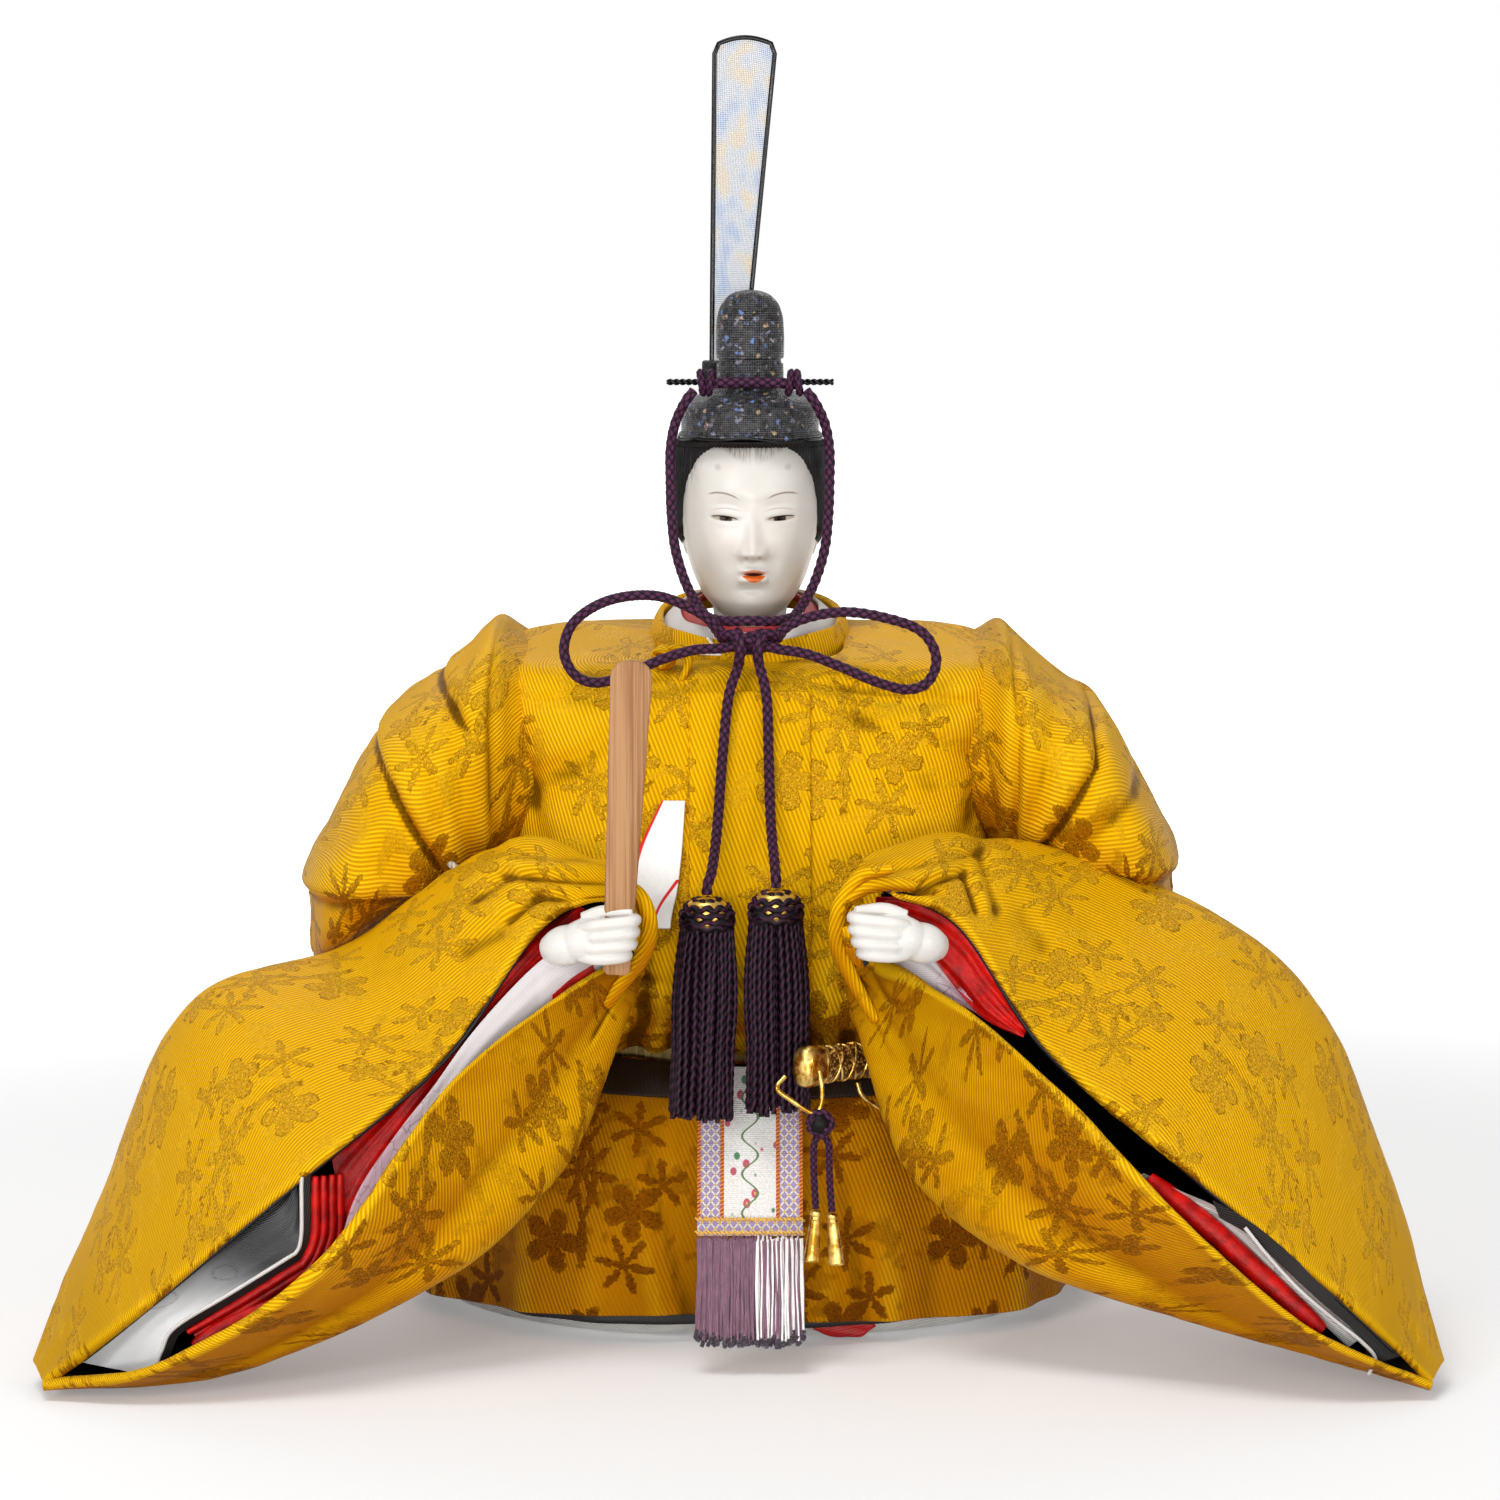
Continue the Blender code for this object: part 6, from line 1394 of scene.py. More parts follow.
bmesh.ops.bevel(bm, geom=rims, offset=0.35 * MM, affect="EDGES", segments=3, profile=0.5, material=-1)
bmesh.ops.rotate(bm, verts=bm.verts[:], cent=(0, 0, 0), matrix=Matrix.Rotation(math.radians(3), 3, "Y"))
bmesh.ops.translate(bm, verts=bm.verts[:], vec=FOOT)
sceptre = finish_mesh("sceptre_board", bm, [sceptre_wood], 35)
settle(sceptre, "sceptre", "wood", "shaku")


# Head: carved wood under polished shell-powder white, with narrow inset eyes,
# fine brush-drawn brows and hairline, and lips touched with orange red.

HEAD = table(((-0.022, 0.14, 0.46, 0.05), (-0.014, 0.25, 0.58, 0.20), (0.002, 0.37, 0.69, 0.34),
              (0.035, 0.49, 0.79, 0.45), (0.075, 0.59, 0.85, 0.53), (0.113, 0.675, 0.885, 0.60),
              (0.193, 0.79, 0.93, 0.74), (0.277, 0.875, 0.965, 0.89), (0.386, 0.955, 0.985, 1.0),
              (0.465, 0.992, 0.985, 1.03), (0.53, 1, 0.982, 1.03), (0.64, 0.986, 0.964, 1.03),
              (0.76, 0.945, 0.909, 0.988), (0.86, 0.849, 0.8, 0.873), (0.93, 0.712, 0.667, 0.715),
              (0.98, 0.445, 0.436, 0.448), (1, 0.178, 0.182, 0.182)))
FACE_MID = 0.6             # the face's middle line and the places of its features, mm
EYE_RISE, EYE_OUT, EYE_HALF = 165.7, 5.8, 3.3
BROW_RISE = 170.0
NOSE_RISE, NOSE_ROOT = 158.2, 168.5
MOUTH_RISE, MOUTH_HALF = 153.7, 2.5


def face_sculpt(u, v, p, normal):
    """Brow, eye sockets, nose, cheeks, lips and chin, carved as relief."""
    if p.y > 0:
        return Vector()
    x, z = p.x / MM - FACE_MID, p.z / MM
    front = min(1.0, max(0.0, -p.y / (6 * MM)))
    out = 0.0
    bridge = min(max((NOSE_ROOT - z) / (NOSE_ROOT - NOSE_RISE), 0.0), 1.0)
    if z > NOSE_RISE:
        slim = 1.15 + 1.0 * bridge ** 2
        out += (0.35 + 2.0 * bridge ** 1.4) * math.exp(-(abs(x) / slim) ** 1.8) * mound(z, NOSE_RISE, 11.0)
    else:
        out += 2.35 * math.exp(-(abs(x) / 2.25) ** 2.0) * math.exp(-((z - NOSE_RISE) / 1.15) ** 2)
    out += 0.60 * mound(x, 0, 1.6) * mound(z, NOSE_RISE + 0.2, 1.5)
    out += 0.85 * (mound(x, -2.15, 0.95) + mound(x, 2.15, 0.95)) * mound(z, NOSE_RISE + 0.1, 1.15)
    out -= 0.55 * (mound(x, -1.3, 0.55) + mound(x, 1.3, 0.55)) * mound(z, NOSE_RISE - 1.45, 0.5)
    for eye in (-EYE_OUT, EYE_OUT):
        outward = (x - eye) * (1 if eye > 0 else -1)
        slant = EYE_RISE + 0.07 * outward
        out -= 0.95 * mound(x, eye * 0.88, 4.4) * mound(z, slant + 1.6, 3.0)
        out += 0.75 * mound(x, eye, 3.7) * mound(z, slant + 1.3, 1.45)
        out -= 0.22 * mound(x, eye, 3.6) * mound(z, slant + 2.75 - 0.06 * outward ** 2, 0.42)
        across = outward / EYE_HALF
        if abs(across) < 1:
            bow = 0.30 * (1 - across ** 2)
            out -= 0.60 * (1 - across ** 2) ** 0.6 * mound(z, slant - 0.25 + bow * 0.4, 0.40)
            out += 0.10 * (1 - across ** 2) * mound(z, slant - 1.15 - bow, 0.55)
        out -= 0.12 * mound(x, eye, 3.4) * mound(z, slant - 2.3, 1.0)
    out += 0.40 * mound(z, BROW_RISE + 1, 2.4) * mound(abs(x), 6, 4.5)
    out += 0.50 * (mound(x, -7.6, 4) + mound(x, 7.6, 4)) * mound(z, 159.5, 4.2)
    out -= 0.35 * (mound(x, -4.6, 1.2) + mound(x, 4.6, 1.2)) * mound(z, 156.3, 2.4)
    out += 0.60 * mound(x, 0, 3.6) * mound(z, MOUTH_RISE, 2.4)
    if abs(x) < 4.5:
        lips = math.sqrt(max(0.0, 1 - (x / 3.3) ** 2))
        out += 0.60 * lips * mound(z, MOUTH_RISE + 0.95, 0.48) * (1 - 0.40 * mound(x, 0, 0.5))
        out += 0.78 * lips * mound(z, MOUTH_RISE - 1.15, 0.66)
        out -= 1.15 * math.sqrt(max(0.0, 1 - (x / 2.5) ** 2)) * mound(z, MOUTH_RISE + 0.15, 0.40)
        out -= 0.22 * mound(x, 0, 0.6) * mound(z, MOUTH_RISE + 2.6, 0.9)
        out -= 0.55 * mound(x, 0, 2.8) * mound(z, MOUTH_RISE - 3.1, 0.85)
    out += 0.55 * mound(x, 0, 3.6) * mound(z, 147.2, 2.2)
    return Vector((0, -1, 0)) * (out * front * MM) if abs(x) < 13 else Vector()


shell_face, tree, shader = begin("painted_shell_face", "DAD6CF", 0.36, Specular_IOR_Level=0.42, Coat_Weight=0.15,
                                 Coat_Roughness=0.28, Subsurface_Weight=0.10)
shader.inputs["Subsurface Scale"].default_value = 1.5 * MM
in_mm = add(tree, "VectorMath", {0: own_place(tree), "Scale": 1000.0}, operation="SCALE").outputs[0]
parts = add(tree, "SeparateXYZ", [in_mm]).outputs
px, py, pz = minus(tree, parts[0], FACE_MID), parts[1], parts[2]
front = band(tree, py, -3.0, -5.0)
side_x = size_of(tree, px)


def stroke(x, z, middle, half, height, bow, slant, thin, soft=0.10, fade=0.5):
    """A brush line: how much of it lies on the face at (x, z)."""
    along = calc(tree, "DIVIDE", minus(tree, x, middle), half)
    curve = times_plus(tree, times(tree, along, along), -bow, height)
    curve = times_plus(tree, along, slant, curve)
    off = size_of(tree, minus(tree, z, curve))
    ends = band(tree, size_of(tree, along), 1.0, 1.0 - fade)
    wide = times(tree, ends, thin)
    return times(tree, band(tree, minus(tree, off, wide), soft, -soft * 0.2), ends)


def lens(x, z, middle, half, height, up, down, slant=0.0):
    """Inside of a shape between an upper and a lower arc, 1 inside."""
    along = calc(tree, "DIVIDE", minus(tree, x, middle), half)
    span = larger(tree, minus(tree, 1.0, times(tree, along, along)), 0.0)
    mid = times_plus(tree, along, slant, height)
    rise = minus(tree, z, mid)
    over = minus(tree, times(tree, span, up), rise)
    under = plus(tree, times(tree, span, down), rise)
    return band(tree, calc(tree, "MINIMUM", over, under), -0.03, 0.06)


skin_tone = tint(tree, band(tree, speckle(tree, own_place(tree), 55.0, 3.0), 0.3, 0.7), "CEC9C1", "DBD7D0")
blush = times(tree, band(tree, side_x, 10.5, 6.0), band(tree, size_of(tree, minus(tree, pz, 160.0)), 7.0, 0.0))
skin_tone = tint(tree, times(tree, blush, 0.10), skin_tone, "E8C4B4")
hairs = speckle(tree, stretched(tree, own_place(tree), 6500.0, 200.0, 350.0), 1.0, 2.0)
reach = times_plus(tree, minus(tree, pz, 175.8), 1.45, 0.4)
fan = times(tree, band(tree, pz, 175.8, 180.2), band(tree, minus(tree, side_x, reach), 0.9, -0.9))
temple = times(tree, band(tree, side_x, 10.2, 13.2), band(tree, pz, 168.0, 178.0))
roots = larger(tree, times(tree, fan, 0.75), times(tree, temple, 0.8))
roots = times(tree, roots, band(tree, hairs, 0.38, 0.62))
roots = times(tree, roots, band(tree, side_x, 0.25, 0.6))
colour = tint(tree, roots, skin_tone, "5E5853")
dots = plus(tree, calc(tree, "POWER", minus(tree, side_x, 7.3), 2.0),
            calc(tree, "POWER", minus(tree, pz, 176.1), 2.0))
colour = tint(tree, times(tree, band(tree, dots, 0.8, 0.05), 0.26), colour, "6E6862")
brow = stroke(side_x, pz, 6.2, 4.0, BROW_RISE + 0.8, 1.15, 0.55, 0.13, 0.14, 0.5)
colour = tint(tree, times(tree, brow, 0.80), colour, "7A6658")
# painted shade along the crease of the upper lid
lid_crease_shade = stroke(side_x, pz, 5.6, 3.9, EYE_RISE + 1.95, 0.85, 0.1, 0.05, 0.10, 0.6)
colour = tint(tree, times(tree, lid_crease_shade, 0.5), colour, "8E7A6C")
lash = stroke(side_x, pz, 5.95, 3.4, EYE_RISE + 0.32, 0.55, 0.30, 0.10, 0.09, 0.35)
eye = lens(side_x, pz, 5.9, 3.1, EYE_RISE - 0.30, 0.62, 0.42, 0.20)
iris = plus(tree, calc(tree, "POWER", minus(tree, side_x, 5.6), 2.0),
            calc(tree, "POWER", minus(tree, pz, EYE_RISE - 0.1), 2.0))
eye_colour = tint(tree, band(tree, iris, 2.3, 1.2), "B4A89A", "3A2216")
eye_colour = tint(tree, band(tree, iris, 0.42, 0.20), eye_colour, "0A0605")
colour = tint(tree, eye, colour, eye_colour)
colour = tint(tree, times(tree, lash, 0.97), colour, "2A1C16")
lower_lip = lens(px, pz, 0.25, MOUTH_HALF, MOUTH_RISE - 0.05, 0.02, 1.45)
upper_lip = lens(px, pz, 0.25, MOUTH_HALF + 0.15, MOUTH_RISE + 0.35, 0.85, 0.2)
opening = lens(px, pz, 0.25, MOUTH_HALF - 0.25, MOUTH_RISE + 0.12, 0.42, 0.28)
colour = tint(tree, times(tree, upper_lip, 0.75), colour, "D8733C")
colour = tint(tree, lower_lip, colour, "D9661E")
colour = tint(tree, opening, colour, "35140C")
# painted shade in the nostrils
nostril = plus(tree, calc(tree, "POWER", minus(tree, side_x, 1.35), 2.0),
               calc(tree, "POWER", minus(tree, pz, NOSE_RISE - 0.75), 2.0))
colour = tint(tree, times(tree, band(tree, nostril, 0.30, 0.05), 0.45), colour, "8A6A5E")
coat(tree, shader, tint(tree, front, skin_tone, colour))
gloss = larger(tree, eye, lower_lip)
tree.links.new(band(tree, gloss, 0.0, 1.0, 0.36, 0.14), shader.inputs["Roughness"])
raise_up(tree, shader, speckle(tree, own_place(tree), 700.0, 3.0), 0.02 * MM, 0.3)

rows = []
for z, w, f, b in smooth_row(HEAD, 230):
    rows.append(oval(HEAD_RISE + HEAD_TALL * z, HEAD_HALF * w, HEAD_DEEP * f, HEAD_DEEP * b, 240, 2.1))
skull = skin("skull", rows, [shell_face], ring=True, capped=True, sculpt=face_sculpt)
neck_rows = [oval(HEAD_RISE + z * MM, r * MM, r * MM, r * MM, 60) for z, r in
             ((-28, 3.0), (-6.8, 3.0), (-6.6, 8.2), (-4.0, 8.0), (0.0, 7.6), (3.0, 8.0))]
neck = skin("neck", neck_rows, [shell_face], ring=True, capped=True)
ears = []
for side in (-1, 1):
    rows = []
    for i in range(33):
        t = i / 32
        fat = math.sin(math.pi * between(0.05, 0.95, t)) ** 0.6
        mid = Vector((side * (13.2 + 1.0 * t), 0.6 + 1.3 * t, 157.0 + 6.6 * t)) * MM
        rows.append([mid + Vector((side * math.cos(a) * 0.75 * fat,
                                   math.sin(a) * 1.7 * fat, 0)) * MM for a in
                     angles(20)])
    ears.append(skin("ear", rows, [shell_face], ring=True, capped=True))
face = joined("painted_head", [skull, neck, *ears])
settle(face, "head", "shell_white", "head")


# Hair: black silk thread laid in a close cap over the skull and down behind
# the ears, combed back in fine strands.

# rise, half width, hairline's distance from the middle in mm, back; tilt
HAIR = table((
    (0.375, 0.99, 13.6, 1.0, -0.22), (0.400, 1.03, 13.9, 1.045, -0.22), (0.445, 1.085, 14.0, 1.127, -0.20),
    (0.51, 1.105, 14.05, 1.15, -0.15), (0.578, 1.11, 13.9, 1.164, -0.10), (0.66, 1.105, 13.4, 1.15, -0.05),
    (0.73, 1.10, 12.5, 1.133, -0.02), (0.79, 1.095, 11.2, 1.12, 0), (0.84, 1.09, 9.4, 1.10, 0),
    (0.868, 1.09, 7.6, 1.09, 0)))
HAIR_TOP = table((
    (0.872, 1.088, 0.925, 1.088, 0), (0.899, 1.048, 0.965, 1.055, 0), (0.915, 0.95, 0.90, 0.94, 0),
    (0.976, 0.795, 0.739, 0.764, 0), (1.036, 0.616, 0.57, 0.582, 0), (1.058, 0.25, 0.24, 0.24, 0)))


def head_share(z):
    """Half width and front of the head at a share of its rise."""
    for a, b in zip(HEAD, HEAD[1:]):
        if z <= b[0]:
            return a.lerp(b, (z - a[0]) / (b[0] - a[0]))
    return HEAD[-1]


def hair_row(z, w, edge, b, tilt):
    """A ring of hair whose front dips into the face at the hairline."""
    deep = 10 * MM
    for _ in range(4):
        _, head_w, head_f, _ = head_share(z - tilt * deep / HEAD_TALL)
        share = min(edge * MM / (HEAD_HALF * head_w), 0.995)
        deep = HEAD_DEEP * head_f * (1 - share ** 2.1) ** (1 / 2.1)
    front = deep / (1 - (edge * MM / (HEAD_HALF * w)) ** 2.1) ** (1 / 2.1)
    return oval(HEAD_RISE + HEAD_TALL * z, HEAD_HALF * w, front, HEAD_DEEP * b, 360, 2.1, tilt)


hair_black, tree, shader = begin("hair_black", "0C0A0A", 0.42, Specular_IOR_Level=0.2)
across, along = cloth_place(tree)
strand_place = flat_place(tree, times(tree, across, 6.0), times(tree, along, 0.35))
strand = speckle(tree, strand_place, 1.0, 3.0, 0.6)
coat(tree, shader, tint(tree, band(tree, strand, 0.3, 0.7), "030202", "151211"))
raise_up(tree, shader, strand, 0.12 * MM, 0.9)


def strands(u, v, p, normal):
    comb = 0.10 * math.sin(u * 1500) + 0.10 * noise.noise(Vector((u * 160, v * 6, 0)))
    return normal * (comb * MM)


rows = [hair_row(*row) for row in smooth_row(HAIR, 80)]
rows += [oval(HEAD_RISE + HEAD_TALL * z, HEAD_HALF * w, HEAD_DEEP * f, HEAD_DEEP * b, 360, 2.1, tilt)
         for z, w, f, b, tilt in smooth_row(HAIR_TOP, 34)]
hair = skin("silk_hair", rows, [hair_black], ring=True, capped=True, sculpt=strands)
settle(hair, "head", "hair_black", "hair")


# Crown: stiffened black gauze, lacquered. A flared cap with a wavy wire rim
# carries the upright dome; a twisted pin runs across between the two.

CAP_LOW = HEAD_RISE + 37.7 * MM
CAP_HALF, CAP_FRONT, CAP_TALL = 14.5 * MM, 15.6 * MM, 10.9 * MM
DOME_LOW = HEAD_RISE + 48.9 * MM
DOME_HALF, DOME_DEEP, DOME_TALL = 7.1 * MM, 6.6 * MM, 19.6 * MM


def lacquered(name, pitch):
    """Open-weave gauze under black lacquer; its lighter thread crossings and the glitter on them are painted
    highlights.
    """
    finish, tree, shader = begin(name, "080708", 0.30, Specular_IOR_Level=0.22, Coat_Weight=0.08,
                                 Coat_Roughness=0.2)
    across, along = cloth_place(tree)
    warp = sine(tree, times(tree, across, math.tau / pitch))
    weft = sine(tree, times(tree, along, math.tau / pitch))
    grid = larger(tree, size_of(tree, warp), size_of(tree, weft))
    flat = flat_place(tree, across, along)
    glitter = add(tree, "TexVoronoi", {"Vector": flat, "Scale": 1.15}).outputs
    uneven = add(tree, "TexNoise", {"Vector": flat, "Scale": 0.8, "Detail": 3.0}).outputs[0]
    height = plus(tree, times(tree, grid, 0.7), times(tree, glitter[0], 0.8))
    shine = add(tree, "SeparateXYZ", [glitter[1]]).outputs[0]
    # painted highlights: the thread crossings turn grey, and scattered cells glint blue or gold
    crossing = times(tree, band(tree, size_of(tree, warp), 0.80, 0.98), 0.6)
    crossing = larger(tree, crossing, band(tree, size_of(tree, weft), 0.84, 0.98))
    colour = tint(tree, times(tree, crossing, band(tree, uneven, 0.30, 0.62, 0.25, 1.0)), "010101", "5A585C")
    hue = tint(tree, add(tree, "SeparateXYZ", [glitter[1]]).outputs[1], "5C7CB8", "B89A6C")
    colour = tint(tree, times(tree, band(tree, shine, 0.80, 0.95), band(tree, uneven, 0.36, 0.60)), colour, hue)
    coat(tree, shader, colour)
    tree.links.new(band(tree, uneven, 0.35, 0.65, 0.14, 0.34), shader.inputs["Roughness"])
    raise_up(tree, shader, height, 0.22 * MM, 1.0)
    return finish


cap_lacquer = lacquered("cap_lacquer", 0.9)
dome_lacquer = lacquered("dome_lacquer", 1.0)
CAP = table(((-0.02, 0.99), (0.03, 1.035), (0.08, 1.03), (0.13, 1.0), (0.30, 1.0), (0.56, 0.985), (0.66, 0.93),
             (0.74, 0.855), (0.84, 0.71), (0.93, 0.60), (1.0, 0.52)))


def rim_wave(u, v, p, normal):
    turn = math.atan2(p.y, p.x)
    wave = 0.35 * math.sin(3 * turn + 0.7) + 0.20 * math.sin(7 * turn)
    return Vector((0, 0, wave * MM * math.exp(-v * 7))) + normal * (0.06 * MM * noise.noise(p * 420))


rows = [oval(CAP_LOW + CAP_TALL * z, CAP_HALF * w, CAP_FRONT * w, CAP_FRONT * w, 160, 2.1)
        for z, w in smooth_row(CAP, 70)]
cap = skin("crown_cap_gauze", rows, [cap_lacquer], away=Vector((0, 0, CAP_LOW)), ring=True, sculpt=rim_wave)
thicken(cap, 0.9 * MM, edge=0.2 * MM)
top_rows = [oval(CAP_LOW + CAP_TALL * 1.0 - 0.1 * MM * i, CAP_HALF * w, CAP_FRONT * w, CAP_FRONT * w, 80, 2.1)
            for i, w in enumerate((0.53, 0.40, 0.2, 0.02))]
cap_top = skin("crown_cap_top", top_rows, [cap_lacquer], ring=True, capped=True)
settle(cap, "head", "black_lacquer", "crown_cap")
settle(cap_top, "head", "black_lacquer")

wire_path = []
for i in range(161):
    a = math.tau * i / 160
    c, s = math.cos(a), math.sin(a)
    r = boxed(c, s, 2.1)
    lift = 0.35 * math.sin(3 * a + 0.7) + 0.20 * math.sin(7 * a)
    wire_path.append(Vector((CAP_HALF * 1.04 * r * c, CAP_FRONT * 1.04 * r * s, CAP_LOW + lift * MM)))
lacquer_black, tree, shader = begin("lacquer_black", "0B0A0A", 0.3, Coat_Weight=0.1, Coat_Roughness=0.1,
                                    Specular_IOR_Level=0.25)
smear = speckle(tree, own_place(tree), 600.0, 3.0)
tree.links.new(band(tree, smear, 0.3, 0.7, 0.14, 0.34), shader.inputs["Roughness"])
raise_up(tree, shader, smear, 0.03 * MM, 0.5)
rim_wire = tube("crown_rim_wire", wire_path, 0.55 * MM, lacquer_black, 10, closed=True)
pegs = [tube("peg", [Vector((side * x, -2.0, z)) * MM for x, z in ((12.6, 182.2), (13.9, 182.0), (15.1, 181.6))],
             0.75 * MM, lacquer_black, 10) for side in (-1, 1)]
rim_wire = joined("crown_rim", [rim_wire, *pegs])
settle(rim_wire, "head", "black_lacquer")

DOME = table(((0, 0.995), (0.10, 0.995), (0.19, 0.99), (0.214, 0.985), (0.222, 0.94), (0.235, 0.925), (0.262, 0.925),
              (0.272, 0.94), (0.281, 0.995), (0.38, 1.005), (0.51, 1.007), (0.62, 0.998), (0.714, 0.972),
              (0.80, 0.905), (0.857, 0.831), (0.915, 0.70), (0.949, 0.592), (0.978, 0.42), (0.994, 0.25),
              (1.001, 0.06)))
rows = [oval(DOME_LOW + DOME_TALL * z, DOME_HALF * w, DOME_DEEP * w, DOME_DEEP * w, 140, 2.2)
        for z, w in smooth_row(DOME, 130)]
dome = skin("crown_dome_gauze", rows, [dome_lacquer], ring=True, capped=True,
            sculpt=lambda u, v, p, n: n * (0.07 * MM * noise.noise(p * 380) if v < 0.97 else 0))
TAIL_TALL, TAIL_BACK, TAIL_FOOT = 71.0 * MM, 8.0 * MM, DOME_LOW + 1.8 * MM
holder_mid = Vector(((-0.122 - 0.012) / 2 * TAIL_TALL, TAIL_BACK, TAIL_FOOT + 0.6 * MM))
bm = bmesh.new()
bmesh.ops.create_cube(bm, size=1)
bmesh.ops.scale(bm, vec=(10.8 * MM, 4.0 * MM, 4.2 * MM), verts=bm.verts[:])
bmesh.ops.bevel(bm, geom=bm.edges[:], offset=0.5 * MM, affect="EDGES", segments=3, profile=0.5, material=-1)
top = [f for f in bm.faces if f.normal.z > 0.99]
bmesh.ops.inset_region(bm, faces=top, thickness=0.9 * MM)
bmesh.ops.translate(bm, verts=list({v for f in top for v in f.verts}), vec=(0, 0, -2.2 * MM))
bmesh.ops.translate(bm, verts=bm.verts[:], vec=holder_mid)
holder = finish_mesh("tail_holder", bm, [lacquer_black], 35)
dome = joined("crown_dome_body", [dome, holder])
settle(dome, "head", "black_lacquer", "crown_dome")

pin_path = [Vector((17.3 * (i / 80 - 1), -7.55, 193.55)) * MM for i in range(161)]
pin_strands = []
for phase in (0, math.pi):
    path = [p + Vector((0, math.cos(i * 0.52 + phase), math.sin(i * 0.52 + phase))) * 0.36 * MM
            for i, p in enumerate(pin_path)]
    pin_strands.append(tube("pin_strand", path, 0.72 * MM, lacquer_black, 8))
pin = joined("twisted_pin", pin_strands)
settle(pin, "head", "black_lacquer", "crown_pin")


# Tail of the crown: one strip of fine gauze in a lacquered whalebone frame,
# slid upright into the holder at the back of the dome.

def tail_outline(inset):
    low, high = TAIL_FOOT + inset, TAIL_FOOT + TAIL_TALL - inset
    rise = TAIL_TALL * 0.028
    f0, f1, h0, h1, mid = (TAIL_TALL * s for s in (-0.122, -0.012, -0.112, 0.082, -0.020))
    left = [(between(f0, h0, t) + inset, between(low, high - rise, t)) for t in (0, 0.25, 0.5, 0.75, 0.98)]
    arch = [(between(h0 + inset, h1 - inset, t), high - rise + rise * math.sin(math.pi * between(0.06, 0.94, t)))
            for t in (i / 14 for i in range(1, 14))]
    right = [(between(f1, h1, t) - inset, between(low, high - rise, t)) for t in (0.98, 0.75, 0.5, 0.25, 0)]
    return [Vector((x, TAIL_BACK, z)) for x, z in left + arch + right]


edge = tail_outline(0.5 * MM)
edge.append(edge[0])
BONE = ((-1, -0.6), (-0.6, -1), (0.6, -1), (1, -0.6), (1, 0.6), (0.6, 1), (-0.6, 1), (-1, 0.6), (-1, -0.6))
frame_rows = []
middle = sum(edge[:-1], Vector()) / (len(edge) - 1)
for i in range(len(edge)):
    a, b = edge[i - 1 if i else -2], edge[i + 1 if i + 1 < len(edge) else 1]
    ahead = (b - a).normalized()
    out = ahead.cross(Vector((0, 1, 0))).normalized()
    if out.dot(edge[i] - middle) < 0:
        out = -out
    frame_rows.append([edge[i] + out * (0.5 * MM * x) + Vector((0, 0.55 * MM * y, 0)) for x, y in BONE])
tail_frame = skin("tail_frame_bone", frame_rows, [lacquer_black], ring=True)
settle(tail_frame, "crown_tail", "black_lacquer", "tail_frame")

gauze_thread, tree, shader = begin("gauze_thread", "C9CDD3", 0.5, Sheen_Weight=0.2)
hue = speckle(tree, stretched(tree, own_place(tree), 260.0, 100.0, 150.0), 1.0, 1.0)
shade = tint(tree, band(tree, hue, 0.30, 0.5), "7F9AC6", "B4B9C2")
shade = tint(tree, band(tree, hue, 0.5, 0.65), shade, "CDB68E")
coat(tree, shader, shade)
bm = bmesh.new()
bmesh.ops.create_grid(bm, x_segments=30, y_segments=165, size=1)
for vert in bm.verts:
    t = (vert.co.y + 1) / 2
    low, high = TAIL_FOOT + 0.9 * MM, TAIL_FOOT + TAIL_TALL - 0.9 * MM
    f0, f1, h0, h1 = (TAIL_TALL * s for s in (-0.122, -0.012, -0.112, 0.082))
    left, right = between(f0, h0, t) + 0.8 * MM, between(f1, h1, t) - 0.8 * MM
    across = (vert.co.x + 1) / 2
    sag = TAIL_TALL * 0.028 * (1 - math.sin(math.pi * between(0.06, 0.94, across))) * t ** 6
    vert.co = Vector((between(left, right, across), TAIL_BACK, between(low, high, t) - sag))
gauze = finish_mesh("tail_gauze_net", bm, [gauze_thread])
net = gauze.modifiers.new("threads", "WIREFRAME")
net.thickness = 0.19 * MM
net.use_replace = True
net.use_even_offset = False
settle(gauze, "crown_tail", "gauze", "tail_gauze")


# Chin braid: one round braid of purple silk, tied to the pin, brought down the
# cheeks, knotted in a bow under the chin and hung down the breast.

CORD_THICK = 2.2 * MM
purple_braid, tree, shader = begin("purple_braid", "4A2A3F", 0.5, Sheen_Weight=0.03, Sheen_Roughness=0.4,
                                   Sheen_Tint=dye("B08AA4"), Specular_IOR_Level=0.2)
strand_fibre = written(tree, "fibre")
depth_share = written(tree, "raised")
fine = sine(tree, strand_fibre)
# painted shade: the braid is darker where strands pass under and lighter on the raised strands
tone = times_plus(tree, fine, 0.16, depth_share)
coat(tree, shader, tint(tree, band(tree, tone, 0.25, 1.0), "080306", "55264A"))
raise_up(tree, shader, fine, 0.05 * MM, 0.6)


def even(points, count):
    fine_path = smooth_row(points, 400)
    run = [0.0]
    for a, b in zip(fine_path, fine_path[1:]):
        run.append(run[-1] + (b - a).length)
    out, j = [], 0
    for k in range(count):
        goal = run[-1] * k / (count - 1)
        while j < len(run) - 2 and run[j + 1] < goal:
            j += 1
        out.append(fine_path[j].lerp(fine_path[j + 1], (goal - run[j]) / (run[j + 1] - run[j])))
    return out, run[-1]


